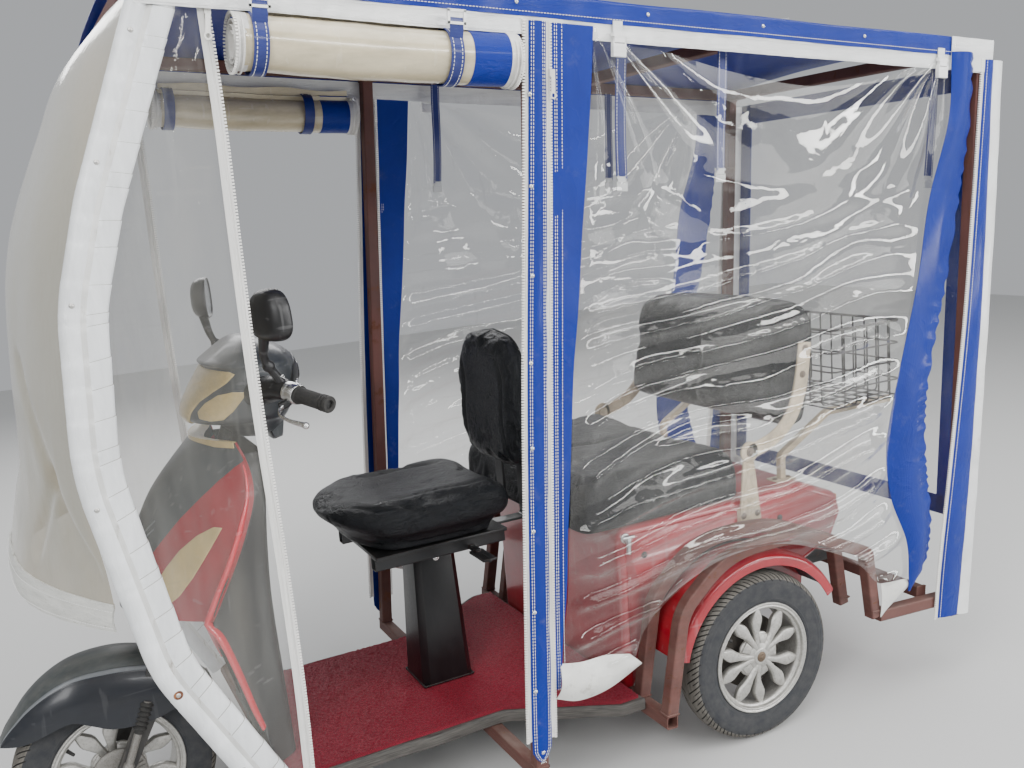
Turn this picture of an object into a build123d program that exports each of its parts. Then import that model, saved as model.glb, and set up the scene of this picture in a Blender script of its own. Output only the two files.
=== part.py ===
from build123d import *
import os
from math import cos, radians, sin, sqrt

# Electric tricycle with a home-made clear canopy on a welded square-tube frame.
# Millimetres. +X is forward, +Y is the vehicle's left, +Z is up.
# Lengths along X are measured from the rear axle; ORIGIN_X then moves the whole
# vehicle so that its origin is on the ground, midway between its two ends.

# Wheels
WHEELBASE = 1440.0
TYRE_R = 210.0
TYRE_HALF_W = 40.0
TREAD_HALF_W = 33.0
RIM_R = 127.0
RIM_WALL = 7.0
RIM_FLANGE_R = 139.0
RIM_FLANGE_T = 5.0
RIM_HALF_W = 40.0
RIM_HUB_R = 34.0
HUB_PLATE_R = 54.0
SPOKE_PAIRS = 5
SPOKE_T = 17.0
SPOKE_DRAFT = 7.0
BODY_HALF_W = 322.0
REAR_WHEEL_Y = BODY_HALF_W + 80
SEAT_GAP = 0.2
RUN_GAP = 0.05

# Rear axle and drive
HALF_SHAFT_R = 12.5
AXLE_BEAM_R = 26.0
AXLE_BEAM_END_Y = BODY_HALF_W + 16
MOTOR_R = 80.0
MOTOR_HALF_W = 95.0

# Steering line, given by its rake and by how far the front axle stands ahead of it
STEER_RAKE = 23.0
FORK_OFFSET = 28.5
FRONT_AXLE_R = 7.5
STEERER_R = 15.0
HEAD_TUBE_R = 26.0
HEAD_TUBE_FROM = 430.0
HEAD_TUBE_TO = 600.0
CROWN_FROM = 222.0
CROWN_TO = 245.0
FORK_LEG_Y = 63.0
FORK_LEG_T = 18.0
BAR_R = 11.0
BAR_HEIGHT = 850.0

# Deck and chassis
DECK_TOP = 188.0
DECK_T = 22.0
MAT_T = 12.0
DECK_FRONT_X = WHEELBASE - 310
DECK_REAR_X = 326.0
DECK_HALF_W = 262.0
DECK_FLARE_X = 620.0
DECK_FLARE_HALF_W = BODY_HALF_W + 78
RAIL_Y = 130.0
RAIL_SIZE = 36.0
RAIL_REAR_X = -505.0
RAIL_REAR_Z = 275.0
RAIL_RISE_X = 286.0
RAIL_RISE_LENGTH = 80.0
RAIL_BEND = 60.0
CROSS_MEMBER_X = (DECK_FRONT_X - 18, 760.0, 380.0)
DOWN_TUBE_R = 21.0
DOWN_TUBE_KNEE = (WHEELBASE - 280, 400.0)

# Red rear body
BODY_FRONT_X = 320.0
BODY_TOP = 575.0
BODY_WALL = 5.0
BODY_ROUND = 20.0
MUDGUARD_R = 258.0
MUDGUARD_T = 4.0
MUDGUARD_LIP = 30.0
MUDGUARD_OUT_Y = BODY_HALF_W + 126
BATTERY = (300.0, 290.0, 170.0)

# Seats
SEAT_X = 672.0
SEAT_PLATE_Z = 585.0
SEAT_PLATE_T = 8.0
CUSHION_T = 112.0
BENCH_HALF_W = BODY_HALF_W + 6
BENCH_TOP = 705.0
HINGE_X = -67.0
HINGE_Z = 696.0
HINGE_PIN_R = 6.0
BASKET_X = (-640.0, -385.0)
BASKET_HALF_W = 300.0
BASKET_Z = (740.0, 955.0)
WIRE = 5.0

# Canopy frame, which leans back a little against the vehicle
CANOPY_LEAN = 4.0
TUBE = 30.0
SIDE_Y = BODY_HALF_W + 148
RAIL_TOP = 1690.0
REAR_POST_X = -605.0
MID_POST_X = 655.0
HOOP_W = 75.0
SHEET_T = 3.0
ROOF_CROWN = 28.0

# Reach of the vehicle from the rear axle, front mudguard tip to canopy corner
GUARD_TIP = (30.0, 247.0)
COVER_TOP = 1612.0
REAR_COVER = ((-612.0, COVER_TOP), (-690.0, COVER_TOP), (-655.0, 214.0), (-532.0, 214.0))
lean_cos, lean_sin = cos(radians(CANOPY_LEAN)), sin(radians(CANOPY_LEAN))
front_reach = WHEELBASE + GUARD_TIP[1] * cos(radians(GUARD_TIP[0]))
rear_reach = min(x * lean_cos - z * lean_sin for x, z in REAR_COVER)
ORIGIN_X = (front_reach + rear_reach) / 2


def rake(t: float, forward: float = 0.0) -> tuple[float, float]:
    """Point (x, z) beside the steering line, t up it from the front axle's level."""
    a = radians(STEER_RAKE)
    foot_x = WHEELBASE - FORK_OFFSET * cos(a)
    foot_z = TYRE_R - FORK_OFFSET * sin(a)
    return (foot_x - t * sin(a) + forward * cos(a), foot_z + t * cos(a) + forward * sin(a))


def side(points: list[tuple[float, float]], half: float, y: float = 0.0) -> Part:
    """Side outline in (x, z), given thickness 2 * half across Y about y."""
    wire = Polyline([(x, 0, z) for x, z in points], close=True)
    plate = extrude(make_face(wire), amount=half, dir=(0, 1, 0), both=True)
    return Pos(0, y, 0) * plate


def tube(points: list[tuple[float, float, float]], radius: float, bends: float = 0) -> Part:
    """Round bar along straight runs, with tangent bends where a radius is given."""
    path = FilletPolyline(*points, radius=bends) if bends else Polyline(*points)
    start = Plane(origin=path @ 0, z_dir=path % 0)
    return sweep(start * Circle(radius), path=path)


def square_bar(points: list[tuple[float, float, float]], w: float, h: float, bends: float = 0) -> Part:
    """Square tube in the plane of the side view: w across Y, h in the plane."""
    path = FilletPolyline(*points, radius=bends) if bends else Polyline(*points)
    start = Plane(origin=path @ 0, x_dir=(0, 1, 0), z_dir=path % 0)
    return sweep(start * Rectangle(w, h), path=path)


def both(*pieces: Part) -> list[Part]:
    """The pieces and their mirror images on the other side of the vehicle."""
    return [p for piece in pieces for p in (piece, mirror(piece, about=Plane.XZ))]


def lean(*pieces: Part) -> list[Part]:
    """Canopy pieces are drawn upright, then leaned back about the rear axle's ground line."""
    return [Rot(0, -CANOPY_LEAN, 0) * piece for piece in pieces]


def write(name: str, *pieces: Part) -> None:
    """Writes one node of one or more solids, moved to the vehicle's origin."""
    placed = [Pos(-ORIGIN_X, 0, 0) * solid for piece in pieces for solid in piece.solids()]
    export_step(placed[0] if len(placed) == 1 else Compound(children=placed), f"parts/{name}.step")


os.makedirs("parts", exist_ok=True)


# Wheels

def tyre(x: float, y: float) -> Part:
    """Tyre ring: bead between the rim's flanges, bulged wall, nearly flat tread."""
    bead = RIM_R + SEAT_GAP
    bead_y = RIM_HALF_W - RIM_FLANGE_T - SEAT_GAP
    half = [(bead, 0), (bead, bead_y), (RIM_FLANGE_R + 1, bead_y), (158, TYRE_HALF_W),
            (182, TYRE_HALF_W), (202, TREAD_HALF_W), (TYRE_R, 14), (TYRE_R, 0)]
    loop = half + [(r, -w) for r, w in reversed(half[1:-1])]
    ring = revolve(make_face(Polyline([(r, w, 0) for r, w in loop], close=True)), Axis.Y)
    return Pos(x, y, TYRE_R) * ring


# A paddle spoke's stations: radius, half width there and angle from its pair's middle
SPOKE_STATIONS = ((26.0, 7.5, 8.0), (62.0, 8.0, 10.5), (90.0, 12.5, 13.5), (RIM_R - 4, 7.0, 16.5))
SPOKE_BACK_Y = 12.0


def spoke(hand: int) -> Part:
    """One spoke of a pair: widest two thirds out, with cast draft towards its outer face."""
    edges = ([], [])
    for radius, half, turn in SPOKE_STATIONS:
        a = radians(hand * turn)
        for edge, offset in zip(edges, (half, -half)):
            edge.append((radius * cos(a) - offset * sin(a), SPOKE_BACK_Y, radius * sin(a) + offset * cos(a)))
    paddle = make_face(Polyline(edges[0] + edges[1][::-1], close=True))
    return extrude(paddle, amount=SPOKE_T, dir=(0, 1, 0), taper=SPOKE_DRAFT)


def rim(x: float, y: float, outward: float, bore: float, shaft: float = 0.0) -> Part:
    """Cast rim: barrel with two flanges, hub, and paddle spokes in pairs."""
    inner = RIM_R - RIM_WALL
    step = RIM_HALF_W - RIM_FLANGE_T
    loop = [(inner, -RIM_HALF_W), (RIM_FLANGE_R, -RIM_HALF_W), (RIM_FLANGE_R, -step),
            (RIM_R, -step), (RIM_R, step), (RIM_FLANGE_R, step),
            (RIM_FLANGE_R, RIM_HALF_W), (inner, RIM_HALF_W)]
    wheel = revolve(make_face(Polyline([(r, w, 0) for r, w in loop], close=True)), Axis.Y)
    wheel += Rot(90, 0, 0) * Cylinder(RIM_HUB_R, 2 * RIM_HALF_W + 10)
    wheel += Pos(0, SPOKE_BACK_Y + 4, 0) * Rot(90, 0, 0) * Cylinder(HUB_PLATE_R, 8)
    for pair in range(SPOKE_PAIRS):
        for hand in (-1, 1):
            wheel += Rot(0, pair * 360 / SPOKE_PAIRS, 0) * spoke(hand)
    if bore:
        wheel -= Rot(90, 0, 0) * Cylinder(bore, 4 * RIM_HALF_W)
    if shaft:
        half_shaft = Cylinder(HALF_SHAFT_R, shaft - RIM_HALF_W + 20)
        wheel += Pos(0, -(shaft + RIM_HALF_W) / 2, 0) * Rot(90, 0, 0) * half_shaft
    if outward < 0:
        wheel = mirror(wheel, about=Plane.XZ)
    return Pos(x, y, TYRE_R) * wheel


write("front_tyre", tyre(WHEELBASE, 0))
write("front_rim", rim(WHEELBASE, 0, 1, FRONT_AXLE_R + RUN_GAP))
for name, hand in (("left", 1), ("right", -1)):
    write(f"rear_tyre_{name}", tyre(0, hand * REAR_WHEEL_Y))
    write(f"rear_rim_{name}", rim(0, hand * REAR_WHEEL_Y, hand, 0, shaft=150))

# Rear axle: beam with bores for the half shafts, drive motor, leaf springs

beam = Rot(90, 0, 0) * Cylinder(AXLE_BEAM_R, 2 * AXLE_BEAM_END_Y)
beam += Rot(90, 0, 0) * Cylinder(MOTOR_R, 2 * MOTOR_HALF_W)
shaft_bore = Rot(90, 0, 0) * Cylinder(HALF_SHAFT_R + RUN_GAP, 120)
for hand in (1, -1):
    beam -= Pos(0, hand * (AXLE_BEAM_END_Y - 40), 0) * shaft_bore
write("rear_axle", Pos(0, 0, TYRE_R) * beam)

SPRING_HALF_W = 22.0
SPRING_REACH = 165.0
SPRING_LEAF = 7.0
axle_top = TYRE_R + AXLE_BEAM_R
rail_under = RAIL_REAR_Z - RAIL_SIZE / 2
pad = 60.0
leaf = side([(-SPRING_REACH, rail_under - SPRING_LEAF), (-pad, axle_top), (pad, axle_top),
             (SPRING_REACH, rail_under - SPRING_LEAF), (SPRING_REACH, rail_under),
             (pad, axle_top + SPRING_LEAF), (-pad, axle_top + SPRING_LEAF), (-SPRING_REACH, rail_under)],
            SPRING_HALF_W, RAIL_Y)
write("rear_springs", *both(leaf))

# Chassis: two bent rails, cross members, head tube carried by a down tube

deck_under = DECK_TOP - DECK_T
rail_z = deck_under - RAIL_SIZE / 2
rail = square_bar([(DECK_FRONT_X, RAIL_Y, rail_z), (RAIL_RISE_X, RAIL_Y, rail_z),
                   (RAIL_RISE_X - RAIL_RISE_LENGTH, RAIL_Y, RAIL_REAR_Z), (RAIL_REAR_X, RAIL_Y, RAIL_REAR_Z)],
                  RAIL_SIZE, RAIL_SIZE, RAIL_BEND)
member_w = 2 * RAIL_Y - RAIL_SIZE
members = [Pos(x, 0, rail_z) * Box(TUBE, member_w, RAIL_SIZE) for x in CROSS_MEMBER_X]
left_rail, right_rail = both(rail)
write("chassis_rails", left_rail + right_rail + members[1] + members[2])

head_low, head_high = rake(HEAD_TUBE_FROM), rake(HEAD_TUBE_TO)
head_mid = rake((HEAD_TUBE_FROM + HEAD_TUBE_TO) / 2)
head = tube([(head_low[0], 0, head_low[1]), (head_high[0], 0, head_high[1])], HEAD_TUBE_R)
down_path = [(head_mid[0], 0, head_mid[1]), (DOWN_TUBE_KNEE[0], 0, DOWN_TUBE_KNEE[1]),
             (CROSS_MEMBER_X[0], 0, rail_z)]
down = tube(down_path, DOWN_TUBE_R, 150)
above, below = rake(HEAD_TUBE_TO + 50), rake(HEAD_TUBE_FROM - 50)
head_bore = tube([(below[0], 0, below[1]), (above[0], 0, above[1])], STEERER_R + RUN_GAP)
write("front_frame", head + down + members[0] - head_bore)

# Deck pan and the coil mat on it, flaring out towards the bench

def deck_outline(inset: float) -> list[tuple[float, float]]:
    """Half outline of the deck in plan, from its front to its rear edge."""
    return [(DECK_FRONT_X - inset, DECK_HALF_W - inset), (DECK_FLARE_X, DECK_HALF_W - inset),
            (DECK_REAR_X + inset + 60, DECK_FLARE_HALF_W - inset),
            (DECK_REAR_X + inset, DECK_FLARE_HALF_W - inset)]


def deck_slab(inset: float, low: float, high: float) -> Part:
    """Flat slab with the deck's outline between two heights."""
    half = deck_outline(inset)
    loop = half + [(x, -y) for x, y in reversed(half)]
    return Pos(0, 0, low) * extrude(make_face(Polyline(loop, close=True)), amount=high - low)


down_room = tube(down_path, DOWN_TUBE_R + 0.5, 150)
write("deck_pan", deck_slab(0, deck_under, DECK_TOP) - down_room)
write("deck_mat", deck_slab(9, DECK_TOP, DECK_TOP + MAT_T) - down_room)

# Red body under the bench, its mudguards, tail lamps and the battery inside

body_outline = [(BODY_FRONT_X, 175), (BODY_FRONT_X, BODY_TOP), (-255, BODY_TOP),
                (-372, 525), (-388, 470), (-350, 400), (-255, 362), (-235, 300), (235, 300)]
inner_outline = [(BODY_FRONT_X - BODY_WALL, 100), (BODY_FRONT_X - BODY_WALL, BODY_TOP - BODY_WALL),
                 (-252, BODY_TOP - BODY_WALL), (-366, 522), (-382, 471), (-346, 405), (-240, 362),
                 (-225, 100)]


def rounded_top(outline: list[tuple[float, float]], half: float, radius: float) -> Part:
    """Block with a side outline, its two long top edges rounded."""
    block = side(outline, half)
    long_edges = block.edges().filter_by(Axis.X).sort_by(Axis.Z)[-2:]
    return fillet(long_edges, radius)


shell = rounded_top(body_outline, BODY_HALF_W, BODY_ROUND)
shell -= rounded_top(inner_outline, BODY_HALF_W - BODY_WALL, BODY_ROUND - BODY_WALL)
write("rear_body", shell)

battery_z = RAIL_REAR_Z + RAIL_SIZE / 2 + BATTERY[2] / 2
write("battery", Pos(60, 0, battery_z) * Box(*BATTERY))


def arc_shell(low: float, high: float, start: float, end: float, y0: float, y1: float) -> Part:
    """Curved strip about the rear axle line between two radii, from one angle to another above +X."""
    strip = make_face(Polyline([(low, y0, 0), (high, y0, 0), (high, y1, 0), (low, y1, 0)], close=True))
    turned = revolve(Rot(0, -start, 0) * strip, Axis((0, 0, 0), (0, -1, 0)), revolution_arc=end - start)
    return Pos(0, 0, TYRE_R) * turned


GUARD_ARC = (14, 152)
guard = arc_shell(MUDGUARD_R, MUDGUARD_R + MUDGUARD_T, *GUARD_ARC, BODY_HALF_W, MUDGUARD_OUT_Y)
guard += arc_shell(MUDGUARD_R + MUDGUARD_T - MUDGUARD_LIP, MUDGUARD_R + MUDGUARD_T, *GUARD_ARC,
                   MUDGUARD_OUT_Y - MUDGUARD_T, MUDGUARD_OUT_Y)
write("rear_mudguards", *both(guard))

lamp = Pos(-384, 240, 490) * Box(24, 110, 46)
lamp -= side([(x, z) for x, z in body_outline], BODY_HALF_W)
write("tail_lamps", *both(lamp))

# Driver's seat on its tapered pedestal

plate_low = SEAT_PLATE_Z - SEAT_PLATE_T
mat_top = DECK_TOP + MAT_T
foot_plan = chamfer(Rectangle(132, 130).vertices(), 16)
head_plan = chamfer(Rectangle(106, 100).vertices(), 14)
pedestal = loft([Pos(SEAT_X, 0, mat_top) * foot_plan, Pos(SEAT_X, 0, plate_low - 30) * head_plan])
write("seat_pedestal", pedestal)

frame = Pos(SEAT_X, 0, plate_low - 15) * Box(40, 210, 30)
for y in (-120, 120):
    frame += Pos(SEAT_X + 15, y, plate_low - 15) * Box(330, 30, 30)
frame += Pos(SEAT_X + 15, 0, plate_low + SEAT_PLATE_T / 2) * Box(330, 300, SEAT_PLATE_T)
frame += Pos(SEAT_X - 60, 150, plate_low - 24) * Box(14, 50, 10)
frame += Pos(SEAT_X - 60, 196, plate_low - 28) * Box(34, 78, 6)
BACK_X = 430.0
STRAP_T = 6.0
strap = side([(SEAT_X - 140, plate_low - STRAP_T), (BACK_X - STRAP_T, plate_low - STRAP_T),
              (BACK_X - STRAP_T, 900),
              (BACK_X, 900), (BACK_X, plate_low), (SEAT_X - 140, plate_low)], 20, 60)
for piece in both(strap):
    frame += piece
write("seat_frame", frame)

cushion_front = ThreePointArc((838, -198), (935, 0), (838, 198))
cushion_rear = Polyline((838, 198), (560, 198), (520, 176), (505, 130), (505, -130), (520, -176), (560, -198),
                        (838, -198))
cushion = Pos(0, 0, SEAT_PLATE_Z) * extrude(make_face([cushion_front, cushion_rear]), amount=CUSHION_T)
cushion = fillet(cushion.faces().sort_by(Axis.Z)[-1].edges(), 34)
write("driver_cushion", cushion)

back_low = SEAT_PLATE_Z + CUSHION_T + 8
BACK_TOP = 1047.0
BACK_T = 62.0
back_x = BACK_X + 0.3
back_sides = Polyline((back_x, 162, 925), (back_x, 170, 820), (back_x, 146, back_low),
                      (back_x, -146, back_low),
                      (back_x, -170, 820), (back_x, -162, 925))
back_crown = ThreePointArc((back_x, -162, 925), (back_x, 0, BACK_TOP), (back_x, 162, 925))
back = extrude(make_face([back_sides, back_crown]), amount=BACK_T, dir=(1, 0, 0))
back = fillet(back.faces().sort_by(Axis.X)[-1].edges(), 22)
write("driver_backrest", back)

# Passenger bench, folding backrest on its hinge plates, wire basket

bench = side([(408, BODY_TOP + 0.3), (418, 640), (402, BENCH_TOP), (-60, BENCH_TOP), (-60, BODY_TOP + 0.3)],
             BENCH_HALF_W)
write("bench_cushion", bench)

PLATE_IN = BENCH_HALF_W + 0.4
PLATE_T = 5.0
ARM_IN = PLATE_IN + PLATE_T + 0.5
ARM_T = 6.0
PAD_LOW = BODY_TOP - 58
PAD_HIGH = BODY_TOP - BODY_ROUND - 4


def across(radius: float, y0: float, y1: float, x: float, z: float) -> Part:
    """Round pin or boss lying across the vehicle from y0 to y1."""
    return Pos(x, (y0 + y1) / 2, z) * Rot(90, 0, 0) * Cylinder(radius, y1 - y0)


def flat(points: list[tuple[float, float]], y0: float, y1: float) -> Part:
    """Plate with a side outline, from y0 to y1."""
    return side(points, (y1 - y0) / 2, (y0 + y1) / 2)


hinge = flat([(HINGE_X - 34, PAD_LOW), (HINGE_X + 34, PAD_LOW), (HINGE_X + 14, HINGE_Z),
              (HINGE_X - 14, HINGE_Z)], PLATE_IN, PLATE_IN + PLATE_T)
hinge += across(14, PLATE_IN, PLATE_IN + PLATE_T, HINGE_X, HINGE_Z)
hinge += flat([(HINGE_X - 34, PAD_LOW), (HINGE_X + 34, PAD_LOW), (HINGE_X + 34, PAD_HIGH),
               (HINGE_X - 34, PAD_HIGH)],
              BODY_HALF_W, PLATE_IN + PLATE_T)
hinge += across(HINGE_PIN_R, PLATE_IN, ARM_IN + ARM_T + 6, HINGE_X, HINGE_Z)
hinge += across(11, ARM_IN + ARM_T + 0.5, ARM_IN + ARM_T + 6, HINGE_X, HINGE_Z)
write("backrest_hinges", *both(hinge))

arm = flat([(HINGE_X, HINGE_Z + 26), (-175, 745), (-215, 800), (-235, 960), (-285, 960), (-325, 780),
            (-290, 735), (-190, 700), (HINGE_X, HINGE_Z - 26)], ARM_IN, ARM_IN + ARM_T)
arm += across(26, ARM_IN, ARM_IN + ARM_T, HINGE_X, HINGE_Z)
arm -= across(HINGE_PIN_R + RUN_GAP, ARM_IN - 1, ARM_IN + ARM_T + 1, HINGE_X, HINGE_Z)
write("backrest_arms", *both(arm))

bench_back = side([(-140, 712), (-200, 1040), (-300, 1030), (-258, 712)], ARM_IN - 0.3)
write("bench_backrest", bench_back)

rack = square_bar([(-235, 260, BODY_TOP), (-235, 260, 640), (-400, 260, BASKET_Z[0] - 9),
                   (BASKET_X[0] + 10, 260, BASKET_Z[0] - 9)], 18, 18, 20)
write("basket_rack", *both(rack))


def grid(length: float, height: float, pitch: float) -> Part:
    """Flat wire panel of the given size, drawn in X and Y, with square windows."""
    panel = Box(length, height, WIRE)
    across_n = round((length - WIRE) / pitch)
    up_n = round((height - WIRE) / pitch)
    hole_x = (length - WIRE) / across_n - WIRE
    hole_y = (height - WIRE) / up_n - WIRE
    for i in range(across_n):
        for j in range(up_n):
            x = -length / 2 + WIRE + hole_x / 2 + i * (hole_x + WIRE)
            y = -height / 2 + WIRE + hole_y / 2 + j * (hole_y + WIRE)
            panel -= Pos(x, y, 0) * Box(hole_x, hole_y, 2 * WIRE)
    return panel


PITCH = 70.0
basket_l = BASKET_X[1] - BASKET_X[0]
basket_h = BASKET_Z[1] - BASKET_Z[0]
basket_mx = (BASKET_X[0] + BASKET_X[1]) / 2
basket_mz = (BASKET_Z[0] + BASKET_Z[1]) / 2 + WIRE / 2
wall_x = grid(basket_l - 2 * WIRE - 0.6, basket_h - WIRE, PITCH)
wall_y = grid(2 * BASKET_HALF_W, basket_h - WIRE, PITCH)
floor = grid(basket_l, 2 * BASKET_HALF_W, PITCH)
basket = [Pos(basket_mx, 0, BASKET_Z[0] + WIRE / 2) * floor]
for hand in (1, -1):
    basket.append(Pos(basket_mx, hand * (BASKET_HALF_W - WIRE / 2), basket_mz + 0.3) * Rot(90, 0, 0) * wall_x)
for x in (BASKET_X[0] + WIRE / 2, BASKET_X[1] - WIRE / 2):
    basket.append(Pos(x, 0, basket_mz + 0.3) * Rot(0, 0, 90) * Rot(90, 0, 0) * wall_y)
write("luggage_basket", *basket)

# Leg shield: bowed sections, a dark middle and red wings, and the panel at the knees

SHIELD_WALL = 6.0
# Height, then how far the nose and the wings stand behind the front axle, and the half width
bar_z = rake(BAR_HEIGHT)[1]
shield_top, shield_shoulder = bar_z - 76.3, bar_z - 181.3
SHIELD_LEVELS = ((shield_top, 250, 312, 150), (shield_shoulder, 148, 328, 200), (680, 88, 272, 226),
                 (565, 55, 208, 228))


def bowed(z: float, nose: float, wing: float, half: float) -> Face:
    """Bowed strip in plan at height z: nose forward in the middle, wings swept back."""
    nose_x, wing_x = WHEELBASE - nose, WHEELBASE - wing
    outer = ThreePointArc((wing_x, -half, z), (nose_x, 0, z), (wing_x, half, z))
    inner = ThreePointArc((wing_x, half - SHIELD_WALL, z), (nose_x - SHIELD_WALL, 0, z),
                          (wing_x, -half + SHIELD_WALL, z))
    return make_face([outer, Line(outer @ 1, inner @ 0), inner, Line(inner @ 1, outer @ 0)])


shield = loft([bowed(*level) for level in SHIELD_LEVELS], ruled=True)
WING_EDGE = ((390, shield_top + 25), (320, shield_top), (40, 600), (40, 500), (390, 500))
wing_side = [(WHEELBASE - back, z) for back, z in WING_EDGE]
WING_FROM_Y = 75.0
wing_zone = side(wing_side, 120, WING_FROM_Y + 120) + side(wing_side, 120, -WING_FROM_Y - 120)
write("leg_shield_wings", shield & wing_zone)
write("leg_shield_middle", shield - wing_zone)

# Height, then the back wall's place behind the front axle and half width, and the same for the side walls'
# edges
KNEE_LEVELS = ((DECK_TOP + MAT_T, 356, 160, 308, 196), (565, 342, 186, 208, 228), (680, 346, 188, 272, 226),
               (shield_shoulder, 358, 178, 328, 200), (shield_top - 25, 366, 150, 317, 162))


def trough(z: float, back: float, back_half: float, edge: float, edge_half: float) -> Face:
    """Trough section in plan: a back wall at the knees and two side walls out to the shield's edges."""
    back_x, edge_x = WHEELBASE - back, WHEELBASE - edge
    right = [(edge_x - 0.3, edge_half), (back_x, back_half)]
    inner = [(back_x + SHIELD_WALL, back_half - SHIELD_WALL), (edge_x - 0.3, edge_half - SHIELD_WALL)]
    loop = right + [(x, -y) for x, y in reversed(right)] + [(x, -y) for x, y in reversed(inner)] + inner
    return make_face(Polyline([(x, y, z) for x, y in loop], close=True))


write("knee_panel", loft([trough(*level) for level in KNEE_LEVELS], ruled=True))

# Steering: fork with its steerer, mudguard, handlebar, head cover, grips, levers, mirrors


def beside(t: float, y: float, forward: float = 0.0) -> tuple[float, float, float]:
    """Point in space beside the steering line."""
    x, z = rake(t, forward)
    return (x, y, z)


crown_w = 2 * FORK_LEG_Y + FORK_LEG_T
fork = tube([beside(CROWN_FROM + 5, 0), beside(BAR_HEIGHT - 20, 0)], STEERER_R)
crown = side([rake(CROWN_FROM, -30), rake(CROWN_FROM, 40), rake(CROWN_TO, 40), rake(CROWN_TO, -30)],
             crown_w / 2)
fork += crown
for hand in (1, -1):
    leg = side([rake(CROWN_TO, -18), rake(CROWN_TO, 22), (WHEELBASE + 16, TYRE_R - 6),
                (WHEELBASE - 14, TYRE_R - 18)],
               FORK_LEG_T / 2, hand * FORK_LEG_Y)
    fork += leg
axle_half = FORK_LEG_Y + FORK_LEG_T / 2 + 12
fork += across(FRONT_AXLE_R, -axle_half, axle_half, WHEELBASE, TYRE_R)
for hand in (1, -1):
    y0 = hand * (FORK_LEG_Y + FORK_LEG_T / 2)
    y1 = hand * (FORK_LEG_Y + FORK_LEG_T / 2 + 8)
    fork += across(12, min(y0, y1), max(y0, y1), WHEELBASE, TYRE_R)
    y0 = hand * (RIM_HALF_W + 5.3)
    y1 = hand * (FORK_LEG_Y - FORK_LEG_T / 2)
    fork += across(12, min(y0, y1), max(y0, y1), WHEELBASE, TYRE_R)
write("front_fork", fork)

GUARD_HALF_W = 88.0
GUARD_WALL = 4.0
# Angle and radius about the front axle along the crown, then places of the skirt's edge from the axle's
# ground point
GUARD_TOP = ((150, 258), (125, 262), (100, 268), (80, 268), (62, 262), (45, 252), GUARD_TIP)
GUARD_SKIRT = ((178, 334), (126, 352), (70, 366), (7, 335), (-45, 327), (-130, 338))
GUARD_PLAN = ((-240, 76), (-40, GUARD_HALF_W), (50, GUARD_HALF_W - 2), (140, 66), (220, 24))


def around(angle: float, radius: float) -> tuple[float, float, float]:
    """Point about the front wheel's centre in the side view."""
    return (WHEELBASE + radius * cos(radians(angle)), 0, TYRE_R + radius * sin(radians(angle)))


def guard_side(wall: float) -> Part:
    """Mudguard's outline in the side view, its crown drawn in by a wall, as a block across the wheel."""
    crown = Spline(*[around(angle, radius - wall) for angle, radius in GUARD_TOP])
    low = 180.0 if wall else 0.0
    skirt = Spline(*[(WHEELBASE + x, 0, z - low) for x, z in GUARD_SKIRT])
    face = make_face([crown, Line(crown @ 1, skirt @ 0), skirt, Line(skirt @ 1, crown @ 0)])
    return extrude(face, amount=GUARD_HALF_W, dir=(0, 1, 0), both=True)


def guard_plan(wall: float) -> Part:
    """Mudguard's outline in plan, drawn in by a wall, as a tall block."""
    left = Spline(*[(WHEELBASE + x, half - wall, 0) for x, half in GUARD_PLAN])
    right = Spline(*[(WHEELBASE + x, wall - half, 0) for x, half in reversed(GUARD_PLAN)])
    face = make_face([left, Line(left @ 1, right @ 0), right, Line(right @ 1, left @ 0)])
    return extrude(face, amount=900, dir=(0, 0, 1))


front_guard = (guard_side(0) & guard_plan(0)) - (guard_side(GUARD_WALL) & guard_plan(GUARD_WALL))
front_guard -= tube([beside(CROWN_FROM, 0), beside(CROWN_TO + 60, 0)], STEERER_R + 0.3)
write("front_mudguard", front_guard)

bar_mid = beside(BAR_HEIGHT, 0)


def by_bar(forward: float, y: float, up: float) -> tuple[float, float, float]:
    """Point given from the middle of the handlebar."""
    return (bar_mid[0] + forward, y, bar_mid[2] + up)


BAR_RISE = by_bar(-36.6, 235, 36.7)
BAR_TIP = by_bar(-96.6, 366, 12.7)
half_bar = [(bar_mid[0], 60, bar_mid[2]), BAR_RISE, BAR_TIP]
bar_path = [(x, -y, z) for x, y, z in reversed(half_bar)] + half_bar
bar = tube(bar_path, BAR_R, 40)
clamp = tube([beside(BAR_HEIGHT - 20, 0), beside(BAR_HEIGHT + 14, 0)], 19)
write("handlebar", bar + clamp)


def along_grip(s: float, hand: int) -> tuple[float, float, float]:
    """Point on the outer run of the handlebar, s millimetres from its bend."""
    dx, dy, dz = (b - a for a, b in zip(BAR_RISE, BAR_TIP))
    run = sqrt(dx * dx + dy * dy + dz * dz)
    k = s / run
    return (BAR_RISE[0] + dx * k, hand * (BAR_RISE[1] + dy * k), BAR_RISE[2] + dz * k)


def off_grip(s: float, hand: int, forward: float, down: float) -> tuple[float, float, float]:
    """Point ahead of and below the grip."""
    x, y, z = along_grip(s, hand)
    return (x + forward, y, z - down)


grips = []
switches = []
for hand in (1, -1):
    core = tube([along_grip(10, hand), along_grip(140, hand)], BAR_R + RUN_GAP)
    rod = tube([along_grip(62, hand), along_grip(152, hand)], 16)
    grips.append(rod - tube([along_grip(50, hand), along_grip(146.3, hand)], BAR_R + RUN_GAP))
    ring = tube([along_grip(30, hand), along_grip(61.5, hand)], 21)
    lever_path = [off_grip(44, hand, 4, 14), off_grip(58, hand, 46, 30), off_grip(148, hand, 48, 34)]
    ring += tube(lever_path, 4, 18)
    ring += Pos(*lever_path[-1]) * Sphere(7)
    switches.append(ring - core)
write("handlebar_grips", *grips)
write("bar_switches", *switches)

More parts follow.
